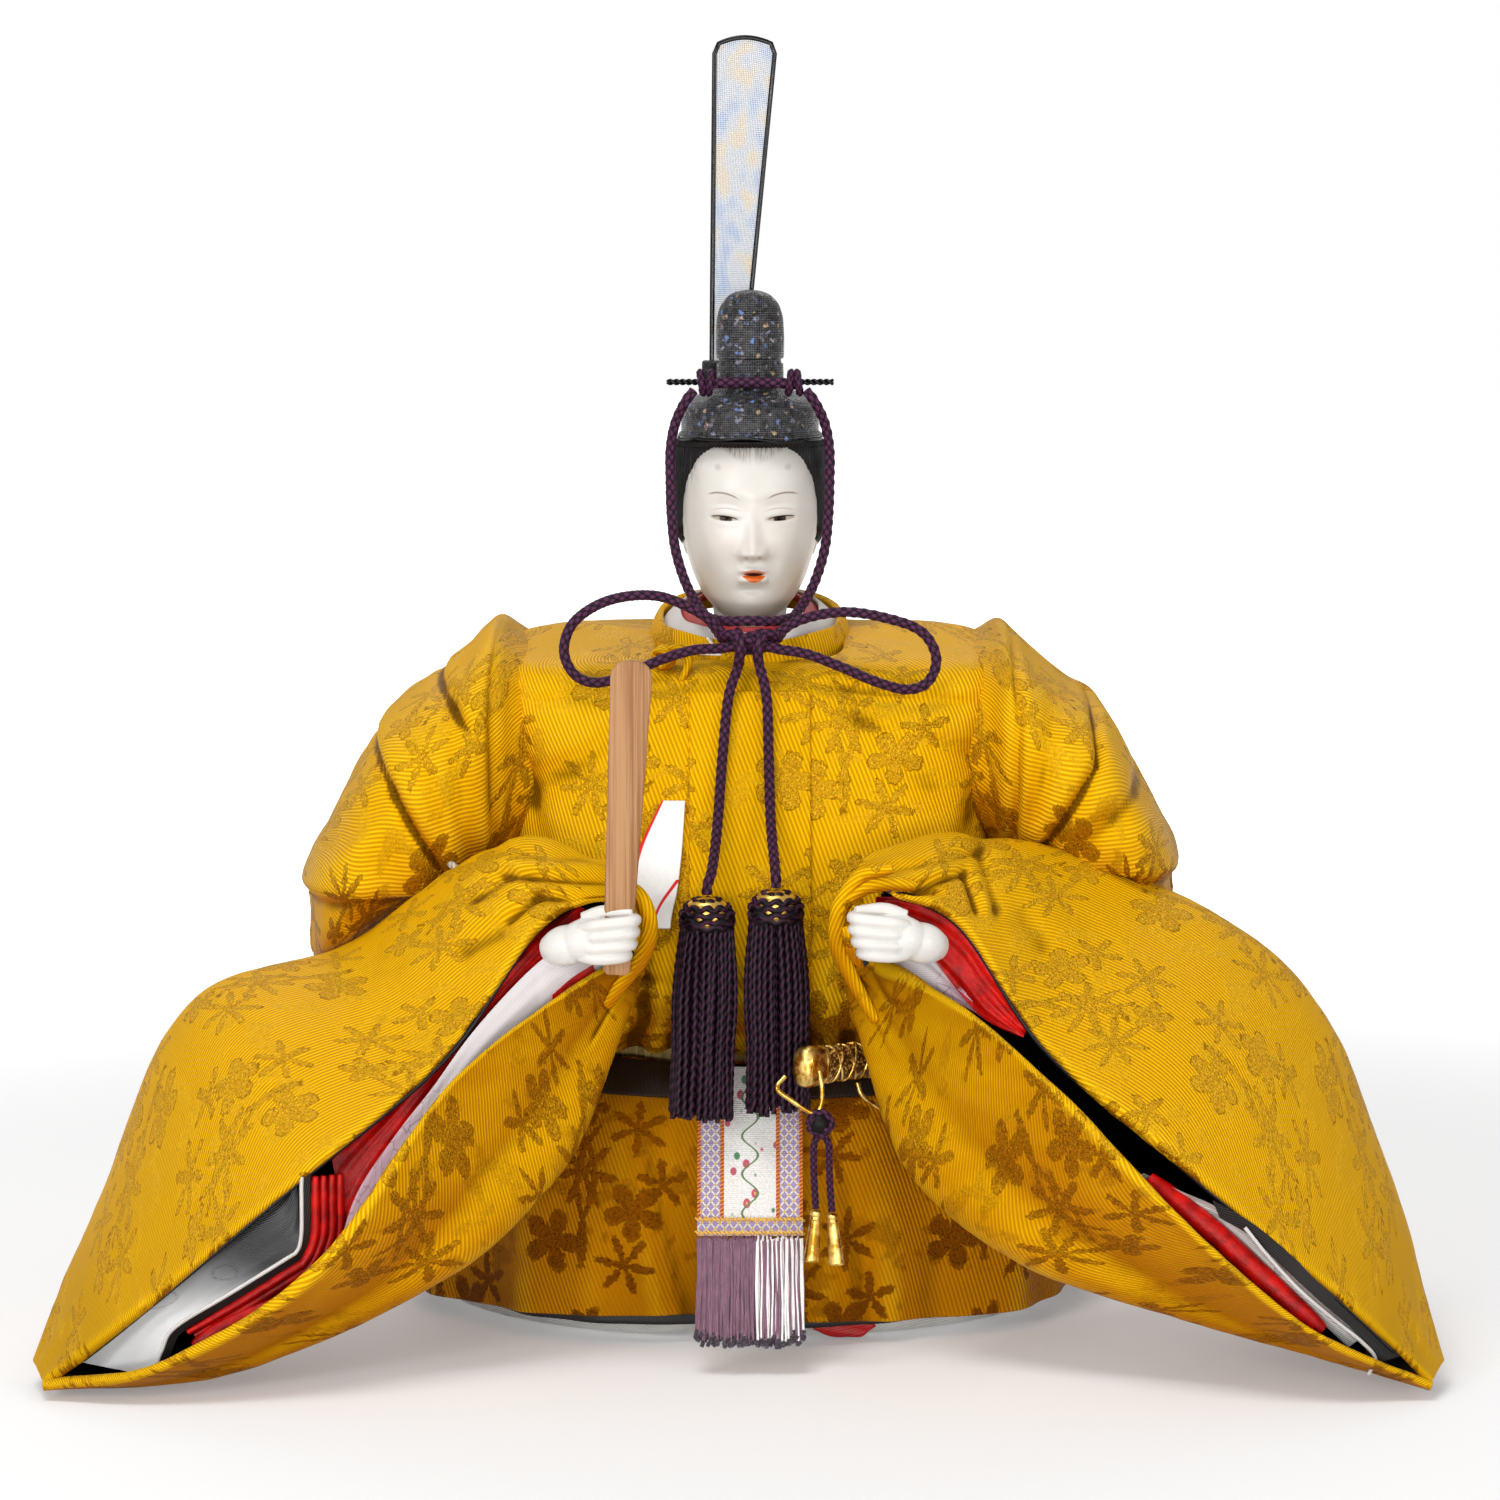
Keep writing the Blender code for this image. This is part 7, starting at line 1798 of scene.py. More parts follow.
def mark(cord, word, values, sides, count):
    """Writes one value for each point of a cord's rows on its mesh."""
    shares = [round(d.value * sides) % sides for d in cord.data.attributes["share_across"].data]
    places = [round(d.value * (count - 1)) for d in cord.data.attributes["share_along"].data]
    layer = cord.data.attributes.new(word, "FLOAT", "POINT")
    layer.data.foreach_set("value", [values[i * sides + k] for k, i in zip(shares, places)])


BRAID_STRANDS, BRAID_RISE = 4, 0.95


def braid(name, path, thick, step=0.16, sides=32):
    """A round braid along a path: strands pass over and under each other."""
    length = sum((b - a).length for a, b in zip(path, path[1:]))
    count = max(8, int(length / (step * MM)))
    path, length = even(path, count)
    rows, marks = [], []
    side = None
    for i, p in enumerate(path):
        ahead = (path[min(i + 1, count - 1)] - path[max(i - 1, 0)]).normalized()
        if side is None:
            side = ahead.orthogonal().normalized()
        side = (side - ahead * side.dot(ahead)).normalized()
        up = ahead.cross(side)
        run = length * i / (count - 1)
        row = []
        for k in range(sides + 1):
            a = math.tau * k / sides
            left = BRAID_STRANDS * a / math.tau + run / (BRAID_RISE * thick)
            right = BRAID_STRANDS * a / math.tau - run / (BRAID_RISE * thick)
            s, t = left % 1, right % 1
            if (math.floor(left) + math.floor(right)) % 2 == 0:
                over, fibre = math.sin(math.pi * s) ** 0.6 * (0.45 + 0.55 * math.sin(math.pi * t)), s
            else:
                over, fibre = math.sin(math.pi * t) ** 0.6 * (0.45 + 0.55 * math.sin(math.pi * s)), t
            radius = thick / 2 * (0.80 + 0.22 * over)
            if i in (0, count - 1):
                radius *= 0.6
            row.append(p + (side * math.cos(a) + up * math.sin(a)) * radius)
            if k < sides:
                marks.append((over, fibre * 26.0))
        rows.append(row)
    cord = skin(name, rows, [purple_braid], ring=True, capped=True)
    mark(cord, "raised", [m[0] for m in marks], sides, count)
    mark(cord, "fibre", [m[1] for m in marks], sides, count)
    return cord, path, length


CHEEK = ((-11.6, -10.9, 192.0), (-13.6, -11.2, 189.4), (-15.6, -9.6, 185.0), (-16.6, -9.4, 179.5),
         (-16.6, -10.4, 173.0), (-16.4, -11.0, 166.5), (-15.6, -12.0, 159.0), (-13.4, -14.4, 152.0),
         (-10.6, -19.0, 147.4), (-8.2, -25.4, 145.0), (-5.5, -32.9, 141.9))
CORDS = (
    ("cheek_braid_left", "cheek_cord_left", "doll", CHEEK, "knot"),
    ("cheek_braid_right", "cheek_cord_right", "doll", tuple((-x, y, z) for x, y, z in CHEEK), "knot"),
    ("bow_braid_left", "bow_loop_left", "doll",
     ((-5.7, -34.9, 143.5), (-10.2, -36.0, 147.6), (-19.0, -36.6, 151.2), (-28.6, -37.0, 150.4),
      (-35.7, -37.4, 146.2), (-38.0, -37.8, 140.4), (-36.0, -38.2, 135.4), (-31.5, -38.6, 133.6),
      (-25.2, -38.8, 135.2), (-18.4, -38.4, 138.2), (-11.6, -37.8, 140.2), (-6.1, -36.4, 140.4), (-3.0, -35.0, 140.8)),
     "knot"),
    ("bow_braid_right", "bow_loop_right", "doll",
     ((5.6, -34.9, 143.5), (10.8, -36.0, 146.4), (18.6, -36.6, 147.9), (26.6, -37.0, 147.0),
      (34.7, -37.4, 144.2), (38.0, -37.8, 139.0), (36.6, -38.2, 134.0), (32.2, -38.6, 132.2),
      (25.8, -38.8, 133.8), (18.4, -38.4, 136.9), (11.6, -37.8, 139.4), (6.1, -36.4, 140.2), (3.0, -35.0, 140.8)),
     "knot"),
    ("hanging_braid_left", "hanging_cord_left", "tassel_left",
     ((-2.4, -36.4, 136.8), (-4.4, -39.6, 130.6), (-5.6, -45.4, 119.0), (-6.6, -53.6, 106.0),
      (-7.6, -61.6, 98.4), (-8.5, -64.3, 95.6), (-8.6, -64.4, 93.6)), "knot"),
    ("hanging_braid_right", "hanging_cord_right", "doll",
     ((1.8, -36.9, 137.5), (3.4, -40.2, 130.6), (3.8, -45.6, 119.0), (4.2, -53.6, 107.0),
      (4.9, -61.6, 99.8), (5.2, -64.3, 97.0), (5.2, -64.4, 95.0)), "knot"))
braided = {}
for name, node, body, route, end in CORDS:
    cord, path, length = braid(name, even(spots(route), 60)[0], CORD_THICK)
    settle(cord, body, "purple_cord", node)
    braided[node] = (cord, path, length, end)

knot_turns = []
for fat, points in (
        (1.0, ((-5.6, -34.8, 143.0), (-3.2, -36.6, 143.2), (0.0, -37.4, 142.2), (3.2, -36.6, 140.9),
               (5.8, -35.6, 140.6))),
        (1.0, ((5.6, -34.8, 143.0), (3.2, -36.2, 143.4), (0.2, -36.4, 142.9), (-3.0, -36.2, 141.0),
               (-5.8, -35.6, 140.4))),
        (1.05, ((-2.6, -34.6, 143.6), (-2.2, -37.4, 142.8), (-1.8, -38.2, 140.8), (-2.2, -37.4, 138.4),
                (-2.4, -36.4, 136.8))),
        (1.05, ((2.4, -34.6, 143.4), (2.4, -37.4, 142.8), (1.7, -38.2, 141.0), (1.6, -37.6, 139.0),
                (1.8, -36.9, 137.5))),
        (1.0, ((-9.6, -27.2, 146.2), (-5.4, -32.6, 145.7), (0.0, -35.2, 146.0), (5.4, -32.6, 145.7),
               (9.6, -27.2, 146.2))),
        (1.0, ((-4.8, -33.2, 141.8), (-2.0, -33.0, 140.0), (2.0, -33.0, 140.0), (4.8, -33.2, 141.8)))):
    turn, _, _ = braid("knot_turn", spots(points), CORD_THICK * fat, step=0.2, sides=24)
    knot_turns.append(turn)
knot = joined("chin_bow_knot", knot_turns)
settle(knot, "doll", "purple_cord", "chin_knot")

crown_path = [Vector((21.0 * (i / 20 - 0.5), -9.9, 193.6 - 0.5 * abs(i / 10 - 1) ** 2)) * MM for i in range(21)]
crown_band, _, _ = braid("crown_band_braid", crown_path, 2.3 * MM, sides=28)
ties = []
for side in (-1, 1):
    for shift, lean in ((-0.9, 0.3), (0.9, -0.3)):
        ring = []
        for i in range(25):
            a = math.tau * i / 24
            ring.append(Vector((side * (9.2 + shift) + lean * math.sin(a), -9.2 + 2.0 * math.cos(a),
                                193.5 + 2.1 * math.sin(a))) * MM)
        ties.append(braid("tie_turn", ring, 1.7 * MM, step=0.2, sides=20)[0])
crown_band = joined("crown_band_braid_tied", [crown_band, *ties])
settle(crown_band, "head", "purple_cord", "crown_cord")


# Tassels: a netted head over a round core with glints of gold thread, and a
# skirt of twisted silk cords that hang straight and spread a little.

twist_silk, tree, shader = begin("twist_silk", "341A2B", 0.5, Sheen_Weight=0.02, Sheen_Roughness=0.35,
                                 Sheen_Tint=dye("A98A9C"), Specular_IOR_Level=0.2)
raised = written(tree, "raised")
# painted shade in the grooves between the plies, lighter on their raised backs
coat(tree, shader, tint(tree, band(tree, raised, 0.2, 1.0), "050204", "3A1830"))
gold_thread, tree, shader = begin("gold_thread", "E8B83A", 0.3, Metallic=0.85)
coat(tree, shader, tint(tree, speckle(tree, own_place(tree), 2500.0, 2.0), "C58A1C", "FFDD78"))
draw = random.Random(7)
TASSEL_LONG, TASSEL_HEAD = 38.0, 6.3        # mm


def twisted(name, path, thick, finish, pitch=2.0 * MM, sides=8, phase=0.0):
    """A two-ply twisted cord along a path."""
    rows, marks = [], []
    for i, p in enumerate(path):
        ahead = (path[min(i + 1, len(path) - 1)] - path[max(i - 1, 0)]).normalized()
        side = Vector((0, 1, 0)).cross(ahead).normalized()
        up = ahead.cross(side)
        run = (p - path[0]).length
        row = []
        for k in range(sides + 1):
            a = math.tau * k / sides
            ply = math.cos(2 * (a - math.pi * run / pitch) + phase)
            row.append(p + (side * math.cos(a) + up * math.sin(a)) * (thick / 2 * (0.86 + 0.18 * ply)))
            if k < sides:
                marks.append(0.5 + 0.5 * ply)
        rows.append(row)
    cord = skin(name, rows, [finish], ring=True, capped=True)
    mark(cord, "raised", marks, sides, len(path))
    return cord


for word, body, sway in (("left", "tassel_left", -1.1), ("right", "doll", 0.5)):
    cord, path, length, end = braided["hanging_cord_" + word]
    top = path[-1] - Vector((0, 0, 0.6 * MM))
    turns = []
    for level, (radius, drop) in enumerate(((2.6, 0.9), (4.3, 2.0), (5.0, 3.3), (5.2, 4.6), (4.9, 5.8))):
        ring = []
        for i in range(61):
            a = math.tau * i / 60 + 0.4 * level
            wave = 0.32 * math.sin(a * 9 + level * math.pi)
            ring.append(top + Vector((math.cos(a) * (radius + 0.1 * wave), math.sin(a) * (radius + 0.1 * wave) * 0.8,
                                      -drop + wave)) * MM)
        turns.append(twisted("netting", ring, 1.5 * MM, twist_silk, 1.5 * MM, 8))
    rows = []
    for t, w in smooth_row(table(((0.02, 0.35), (0.12, 0.75), (0.35, 0.95), (0.7, 1.0), (1.0, 0.93))), 20):
        rows.append([top + Vector((math.cos(a) * 4.6 * w, math.sin(a) * 3.7 * w, -TASSEL_HEAD * t)) * MM
                     for a in angles(32)])
    core = skin("tassel_core", rows, [gold_thread], ring=True, capped=True)
    head_piece = joined("tassel_head_net_" + word, [*turns, core])
    settle(head_piece, body, "purple_cord", "tassel_head_" + word)
    foot = top - Vector((0, 0, TASSEL_HEAD * MM))
    strands = []
    for ring_half, ring_deep, count in ((5.7, 3.7, 26), (4.4, 2.6, 18), (2.6, 1.4, 9)):
        for n in range(count):
            a = math.tau * (n + draw.uniform(-0.2, 0.2)) / count
            start = foot + Vector((math.cos(a) * ring_half * 0.86, math.sin(a) * ring_deep * 0.9, 0.3)) * MM
            spread = draw.uniform(0.98, 1.12)
            tip = foot + Vector((math.cos(a) * ring_half * spread + sway, math.sin(a) * ring_deep * spread,
                                 -TASSEL_LONG + draw.uniform(-1.0, 1.0))) * MM
            bow = Vector((draw.uniform(-0.5, 0.5), draw.uniform(-0.25, 0.25), 0)) * MM
            outward = Vector((math.cos(a) * 0.55, math.sin(a) * 0.3, 0))
            fall = []
            for i in range(60):
                t = i / 59
                fall.append(start.lerp(tip, t) + bow * math.sin(math.pi * t)
                            + outward * MM * math.sin(math.pi * min(1, t * 1.6)))
            strands.append(twisted("strand", fall, 1.25 * MM, twist_silk, 2.1 * MM, 7, draw.uniform(0, 6)))
    skirt_piece = joined("tassel_skirt_cords_" + word, strands)
    settle(skirt_piece, body, "purple_cord", "tassel_skirt_" + word)
    tuple(path[0])
    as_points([tuple(p) for p in path[::12]] + [tuple(path[-1])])
for node in ("cheek_cord_left", "cheek_cord_right", "bow_loop_left", "bow_loop_right"):
    cord, path, length, end = braided[node]
    tuple(path[0])
    "hanging" if "cheek" in node else "loose"
    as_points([tuple(p) for p in path[::12]] + [tuple(path[-1])])


# Hirao strap: a flat woven band of lilac silk with a white centre panel,
# stitched in orange, hung from the belt, ending in a fringe under clear film.

STRAP_HALF, STRAP_THICK = 10.6 * MM, 1.0 * MM
STRAP_LINE = [Vector((0, y, z)) * MM for y, z in ((-54.6, 57), (-57.2, 50), (-62.6, 42), (-68, 34), (-72.6, 26))]
lilac_weave, tree, shader = begin("lilac_weave", "9C86B4", 0.6, Sheen_Weight=0.3, Sheen_Roughness=0.4)
across, along = cloth_place(tree)
inward = size_of(tree, across)
flat = flat_place(tree, across, along)
lean_a = sine(tree, times(tree, plus(tree, across, times(tree, along, 0.8)), 3.4))
lean_b = sine(tree, times(tree, minus(tree, across, times(tree, along, 0.8)), 3.4))
lilac = tint(tree, band(tree, speckle(tree, flat, 3.0, 3.0), 0.3, 0.7), "8F7AA8", "B3A0C6")
lattice = larger(tree, band(tree, lean_a, 0.62, 0.86), band(tree, lean_b, 0.62, 0.86))
lilac = tint(tree, lattice, lilac, "E9E3DC")
crossing = times(tree, band(tree, lean_a, 0.3, 0.7), band(tree, lean_b, 0.3, 0.7))
lilac = tint(tree, crossing, lilac, "D8B24A")
white = tint(tree, band(tree, speckle(tree, flat, 2.2, 3.0), 0.35, 0.65), "E4E0DC", "F6F4F1")
panel = band(tree, inward, 5.35, 5.15)
low_panel = band(tree, along, 32.6, 32.3)
leaf_shift = times(tree, sine(tree, times(tree, along, 0.75)), 1.6)
stem = band(tree, size_of(tree, minus(tree, across, leaf_shift)), 0.32, 0.16)
leaves = add(tree, "TexVoronoi", {"Vector": stretched(tree, flat, 0.42, 0.30, 1.0, (0, 0, 0.5)), "Scale": 1.0,
                                  "Randomness": 0.75}).outputs
leaf = band(tree, leaves[0], 0.34, 0.28)
kind = add(tree, "SeparateXYZ", [leaves[1]]).outputs[0]
white = tint(tree, times(tree, leaf, band(tree, kind, 0.40, 0.45)), white, "C4566A")
white = tint(tree, times(tree, leaf, band(tree, kind, 0.45, 0.40)), white, "4F8A5C")
white = tint(tree, times(tree, band(tree, leaves[0], 0.12, 0.06), 0.9), white, "E9C65A")
white = tint(tree, stem, white, "5D7F4A")
colour = tint(tree, times(tree, panel, low_panel), lilac, white)
seam = larger(tree, band(tree, size_of(tree, minus(tree, inward, 5.6)), 0.42, 0.30), band(tree, inward, 9.85, 10.0))
seam = times(tree, seam, low_panel)
dash = band(tree, sine(tree, times(tree, plus(tree, along, times(tree, across, 0.6)), 7.5)), -0.5, 0.2)
colour = tint(tree, seam, colour, tint(tree, dash, "9A3D12", "E8892E"))
coat(tree, shader, colour)
rows_of_weft = sine(tree, times(tree, along, math.tau / 0.42))
weft_and_lattice = times_plus(tree, lattice, 1.5, times_plus(tree, seam, 2.0, rows_of_weft))
raise_up(tree, shader, weft_and_lattice, 0.06 * MM, 0.8)
gold_stitch, tree, shader = begin("gold_stitch", "D9A032", 0.4, Metallic=0.55)
coat(tree, shader, tint(tree, speckle(tree, own_place(tree), 1800.0, 2.0), "A8641A", "F0C65A"))


def strap_row(p, low, half, thick):
    """One row across the strap: flat, with slightly rounded edges."""
    out = Vector((0, low.z, -low.y))
    return [p + Vector((half * s, 0, 0)) + out * (-thick * (0.5 - 0.14 * s * s))
            for s in (i / 44 - 1 for i in range(89))]


STRAP_ROWS = 170
strap_path, strap_long = even(STRAP_LINE, STRAP_ROWS)
rows = []
for i, p in enumerate(strap_path):
    ahead = (strap_path[min(i + 1, STRAP_ROWS - 1)] - strap_path[max(i - 1, 0)]).normalized()
    rows.append(strap_row(p, ahead, STRAP_HALF, STRAP_THICK))
strap = skin("woven_strap", rows, [lilac_weave], away=Vector((0, 0, 40 * MM)),
             sculpt=lambda u, v, p, n: n * (0.10 * MM * math.sin(v * 9 + 1) + 0.05 * MM * noise.noise(p * 160)))
thicken(strap, STRAP_THICK * 0.9)
stitches = []
for rise in (3.6, 0.7):
    base = strap_path[STRAP_ROWS - 1 - int(rise * MM / strap_long * (STRAP_ROWS - 1))]
    for n in range(26):
        x = between(-10.5, 10.5, n / 25)
        path = [base + Vector((x - 0.45 + 0.9 * s, -0.75 - 0.14 * math.sin(math.pi * s), 0.35 - 0.7 * s)) * MM
                for s in (0, 0.25, 0.5, 0.75, 1)]
        stitches.append(tube("stitch", path, 0.5 * MM, gold_stitch, 6))
strap = joined("woven_strap_stitched", [strap, *stitches])
settle(strap, "doll", "lilac", "waist_strap")

FRINGE_LINE = [Vector((0, y, z)) * MM for y, z in ((-72.9, 25.3), (-75.6, 21), (-78.6, 16), (-81.2, 11), (-83, 7))]
mauve_thread, tree, shader = begin("mauve_thread", "6E4258", 0.55, Sheen_Weight=0.3)
coat(tree, shader, tint(tree, speckle(tree, stretched(tree, own_place(tree), 900.0, 900.0, 120.0), 1.0, 2.0), "4A2436",
                        "8E6078"))
pale_thread, tree, shader = begin("pale_thread", "E9E6E4", 0.55, Sheen_Weight=0.3)
coat(tree, shader, tint(tree, speckle(tree, own_place(tree), 700.0, 2.0), "D0CBCB", "F6F4F2"))
dark_tuft, tree, shader = begin("dark_tuft", "1C1220", 0.7, Sheen_Weight=0.4)
coat(tree, shader, tint(tree, speckle(tree, own_place(tree), 1600.0, 2.0), "0C060E", "3E2A40"))
fringe_path = even(FRINGE_LINE, 40)[0]
draw = random.Random(11)
FRINGE_THREADS = 150
threads, tufts = [], []
for n in range(FRINGE_THREADS):
    s = -1 + 2 * (n + 0.5) / FRINGE_THREADS
    level = draw.uniform(-1, 1)
    white_part = s > 0.12 and (n % 7 < 4)
    path = []
    shift, roam = draw.uniform(-0.25, 0.25), draw.uniform(0, 6)
    for i in range(0, 40, 2):
        t = i / 39
        p = fringe_path[i]
        half = STRAP_HALF * (0.98 + 0.03 * t)
        depth = 1.05 * (1 + 1.3 * t) * level * math.sqrt(max(0, 1 - s * s * 0.8))
        path.append(p + Vector((s * half / MM + shift * t + 0.12 * math.sin(roam + 6 * t), 0.83 * -depth,
                                -0.55 * depth)) * MM)
    threads.append(tube("thread", path, 0.52 * MM, pale_thread if white_part else mauve_thread, 5))
    base = path[-1]
    for _ in range(2):
        tip = base + Vector((draw.uniform(-0.5, 0.5), draw.uniform(-0.6, 0.3), draw.uniform(-1.0, 1.2))) * MM
        root = base + Vector((draw.uniform(-0.2, 0.2), 0.3, -0.3)) * MM
        tufts.append(tube("tuft", [root, base.lerp(tip, 0.5), tip], 0.9 * MM, dark_tuft, 5))
fringe = joined("fringe_threads", [*threads, *tufts])
settle(fringe, "fringe", "fringe_mauve", "strap_fringe")

film, tree, shader = begin("clear_film", "FFFFFF", 0.06, Transmission_Weight=1.0, IOR=1.12, Alpha=0.34)
rows = []
for i in range(0, 40, 3):
    t = i / 39
    p = fringe_path[i]
    half = STRAP_HALF * (1.01 + 0.02 * t)
    depth = 1.9 * (1 + 1.0 * t)
    rows.append([p + Vector((half / MM * math.cos(a), -0.9 * depth * math.sin(a) * (1 + 0.05 * math.sin(5 * a + 3 * t)),
                             -0.4 * depth * math.sin(a))) * MM for a in angles(72)])
wrap = skin("film_wrap", rows, [film], ring=True,
            sculpt=lambda u, v, p, n: n * (0.16 * MM * noise.noise(p * 300)))
settle(wrap, "fringe", "fringe_mauve")


# Court sword: gilt pommel, rayskin grip and a lacquered scabbard worn through
# the sash on a gilt wire hoop, with a purple wrist cord at the pommel.

SWORD_AT = Vector((9.6, -75.2, 60.4)) * MM
SWORD_ALONG = Vector((math.cos(math.radians(45)), math.sin(math.radians(45)), -0.0349)).normalized()
SWORD_SIDE = Vector((0, 0, 1)).cross(SWORD_ALONG).normalized()
SWORD_UP = SWORD_ALONG.cross(SWORD_SIDE)
gilt, tree, shader = begin("gilt", "E0B24A", 0.25, Metallic=0.95)
wear = speckle(tree, own_place(tree), 420.0, 4.0)
coat(tree, shader, tint(tree, band(tree, wear, 0.35, 0.7), "B07C22", "FFDF86"))
tree.links.new(band(tree, wear, 0.3, 0.7, 0.16, 0.40), shader.inputs["Roughness"])
raise_up(tree, shader, wear, 0.03 * MM, 0.5)


def sword_rows(stations, wide, thick, steps=48, boxy=BOXY):
    """Cross-sections along the sword: (distance in mm, share) pairs."""
    rows = []
    for run, share in stations:
        mid = SWORD_AT + SWORD_ALONG * (run * MM)
        row = []
        for k in range(steps + 1):
            a = math.tau * k / steps
            c, s = math.cos(a), math.sin(a)
            r = boxed(c, s, boxy)
            row.append(mid + SWORD_UP * (wide / 2 * share * r * c * MM) + SWORD_SIDE * (thick / 2 * share * r * s * MM))
        rows.append(row)
    return rows


pommel_line = smooth_row(table(((0.05, 0.35), (0.5, 0.72), (1.3, 0.93), (2.4, 1.0), (4.2, 0.96), (5.6, 0.90),
                                (6.2, 0.93), (6.8, 0.88))), 40)
pommel = skin("pommel_cap", sword_rows(pommel_line, 8.2, 5.25), [gilt], ring=True, capped=True,
              sculpt=lambda u, v, p, n: n * (0.22 * MM * abs(noise.noise(p * 520)) + 0.06 * MM))
settle(pommel, "sword", "gilt", "sword_pommel")

rayskin, tree, shader = begin("rayskin", "8A5A1E", 0.35, Metallic=0.25, Coat_Weight=0.35, Coat_Roughness=0.15)
pearls = add(tree, "TexVoronoi", {"Vector": own_place(tree), "Scale": 1500.0}).outputs
pearl = band(tree, pearls[0], 0.55, 0.2)
coat(tree, shader, tint(tree, pearl, "4A2A0C", "D9A44A"))
raise_up(tree, shader, pearl, 0.12 * MM, 0.9)
grip_line = [(7.1 + 25.7 * i / 60, 1 + 0.02 * math.sin(i * 0.8)) for i in range(61)]
grip = skin("grip_skin", sword_rows(grip_line, 7.0, 4.2), [rayskin], ring=True, capped=True,
            sculpt=lambda u, v, p, n: n * (0.16 * MM * max(0.0, noise.noise(p * 900))))
wraps = []
for phase in (0, math.pi):
    for hand_side in (1, -1):
        path = []
        for i in range(121):
            t = i / 120
            a = hand_side * math.tau * 3.0 * t + phase
            c, s = math.cos(a), math.sin(a)
            r = boxed(c, s)
            path.append(SWORD_AT + (SWORD_ALONG * (8.0 + 23.6 * t) + SWORD_UP * (3.62 * r * c)
                                    + SWORD_SIDE * (2.22 * r * s)) * MM)
        wraps.append(tube("grip_wrap", path, 0.5 * MM, gilt, 6))
grip = joined("grip_wrapped", [grip, *wraps])
settle(grip, "sword", "rayskin", "sword_grip")

scabbard_lacquer, tree, shader = begin("scabbard_lacquer", "16100E", 0.18, Coat_Weight=0.8, Coat_Roughness=0.06)
dust = speckle(tree, own_place(tree), 2600.0, 3.0)
coat(tree, shader, tint(tree, band(tree, dust, 0.62, 0.72), "120C0A", "B98A34"))
guard = skin("guard_plate", sword_rows([(33.2, 1.25), (33.4, 1.5), (34.3, 1.5), (34.6, 1.25)], 6.6, 4.4), [gilt],
             ring=True, capped=True)
body = skin("scabbard_shell", sword_rows([(34.6 + 56.0 * i / 60, 1 - 0.12 * i / 60) for i in range(61)] +
                                         [(91.4, 0.80), (92.2, 0.60), (92.6, 0.30)], 6.4, 4.0), [scabbard_lacquer],
            ring=True, capped=True)
fittings = []
for low, high in ((34.8, 37.6), (46.5, 48.5), (74.0, 76.0), (88.0, 92.4)):
    rows = sword_rows([(low, 0.98), (low + 0.15, 1.07), (high - 0.15, 1.05), (high, 0.95 if high < 92 else 0.62)], 6.5,
                      4.1)
    fittings.append(skin("fitting", rows, [gilt], ring=True, capped=True))
scabbard = joined("scabbard_fitted", [guard, body, *fittings])
settle(scabbard, "sword", "black_lacquer", "sword_scabbard")

loop_wire = tube("pommel_loop_wire", even(spots((
    (6.9, -78.4, 59.2), (5.4, -79.9, 57), (8.6, -80, 54.4), (11.8, -79.4, 52.2), (13.4, -79, 52.2),
    (14.2, -78.8, 54.4), (14.2, -78.6, 57.4), (13.8, -77.8, 60.2))), 60)[0], 0.95 * MM, gilt, 12)
settle(loop_wire, "sword", "gilt", "sword_wire_loop")
hoop = tube("sash_hoop_wire", even(spots((
    (25.4, -57, 63), (24.6, -57.6, 66), (26, -57.2, 68.6), (28.6, -55.4, 69.2), (30.2, -53.8, 66.8),
    (30, -53.6, 63.2))), 40)[0], 0.95 * MM, gilt, 12)
hanger = tube("sash_hanger_wire", even(spots((
    (21.6, -64.2, 55.4), (22.6, -64.6, 52.8), (26, -62.6, 50), (30, -60, 47))), 30)[0], 0.9 * MM, gilt, 12)
settle(joined("sash_wires", [hoop, hanger]), "doll", "gilt")

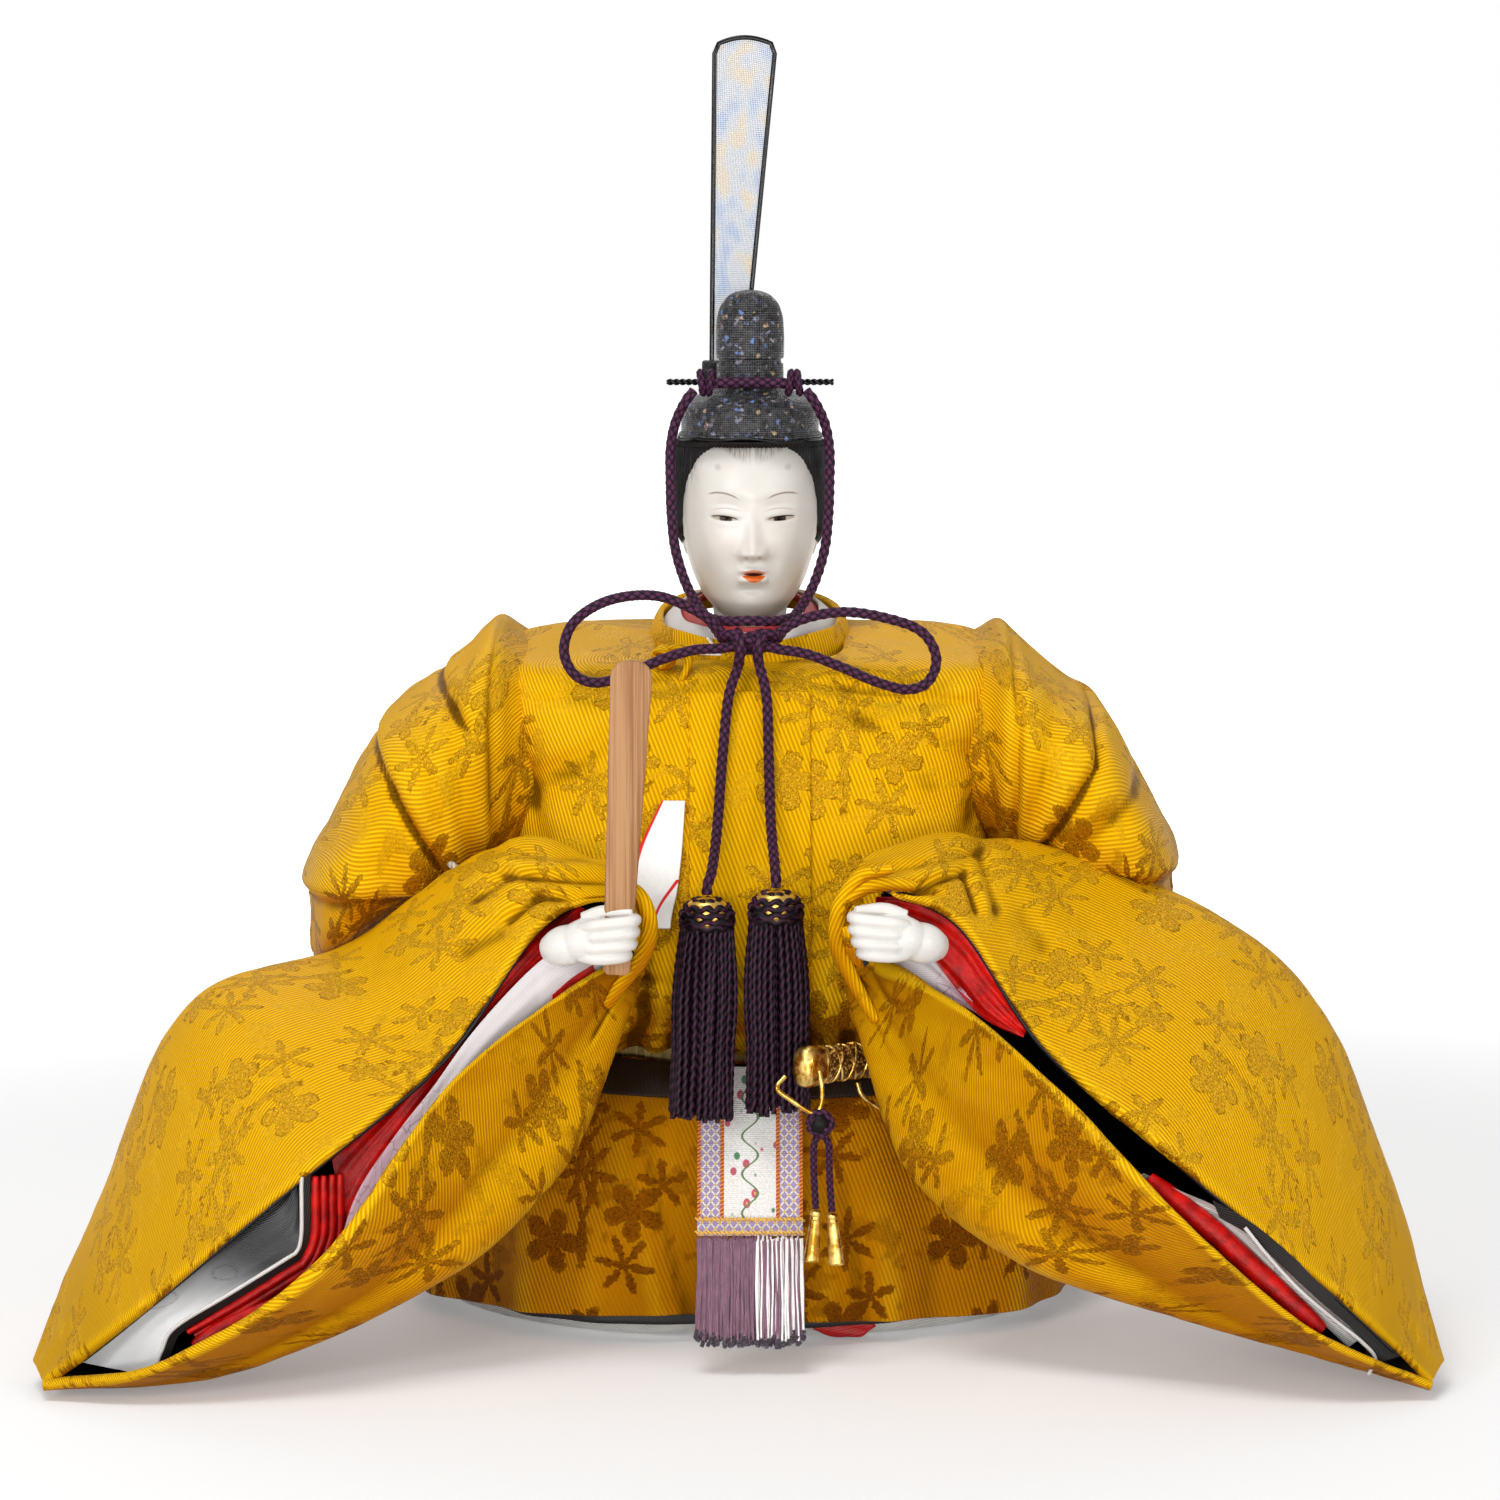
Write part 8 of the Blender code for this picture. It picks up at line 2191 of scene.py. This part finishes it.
DROP = spots((
    (13.1, -79.0, 32.6), (12.8, -79.0, 37.0), (12.6, -79.0, 42.0), (12.7, -79.0, 45.6), (13.3, -79.0, 47.0),
    (14.2, -79.0, 47.4), (15.0, -79.0, 46.9), (15.6, -79.0, 45.5), (15.7, -79.0, 42.0), (15.9, -79.0, 37.0),
    (16.3, -79.0, 32.0)))
drop, drop_path, drop_long = braid("wrist_cord_braid", DROP, 1.5 * MM, sides=24, step=0.14)
settle(drop, "sword", "purple_cord", "drop_cord")
knot_parts = []
for ring in (((11.6, 49.4), (12.6, 51.6), (14.6, 51.8), (16.0, 50.0), (15.0, 48.2), (12.8, 48.2), (11.6, 49.4)),
             ((12.0, 51.0), (13.6, 49.8), (15.6, 48.6))):
    knot_parts.append(braid("wrist_turn", [Vector((x, -79.0 - 0.7 * (len(ring) == 3), z)) * MM for x, z in ring],
                            1.9 * MM, step=0.2, sides=20)[0])
core_rows = [[Vector((13.8, -79.0, 49.9)) * MM + Vector((math.cos(a) * math.sin(b), math.sin(a) * math.sin(b),
              math.cos(b))) * (2.1 * MM) for a in angles(24)]
             for b in (math.pi * between(0.03, 0.97, j / 12) for j in range(13))]
knot_parts.append(skin("wrist_core", core_rows, [purple_braid], ring=True, capped=True))
wrist_knot = joined("wrist_cord_knot", knot_parts)
settle(wrist_knot, "sword", "purple_cord", "drop_knot")
tips = {}
for word, tip_top, lean in (("left", DROP[0], -0.9), ("right", DROP[-1], 0.9)):
    start = tip_top - Vector((0, 0, 0.3 * MM))
    rows = []
    for t, radius in smooth_row(table((
            (0.0, 0.80), (0.02, 1.06), (0.08, 1.10), (0.11, 0.98), (0.16, 1.10), (0.20, 1.04), (0.55, 1.34),
            (0.93, 1.60), (0.97, 1.72), (1.0, 1.62))), 50):
        rows.append([start + Vector((math.cos(a) * radius + lean * t, math.sin(a) * radius, -10.2 * t)) * MM
                     for a in angles(28)])
    tips[word] = skin("wrist_cord_tip_" + word, rows, [gilt], ring=True, capped=True)
    settle(tips[word], "sword", "gilt", "drop_tip_" + word)
tuple(drop_path[0])
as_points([tuple(p) for p in drop_path[::8]] + [tuple(drop_path[-1])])

dress("sword_sling", gilt)
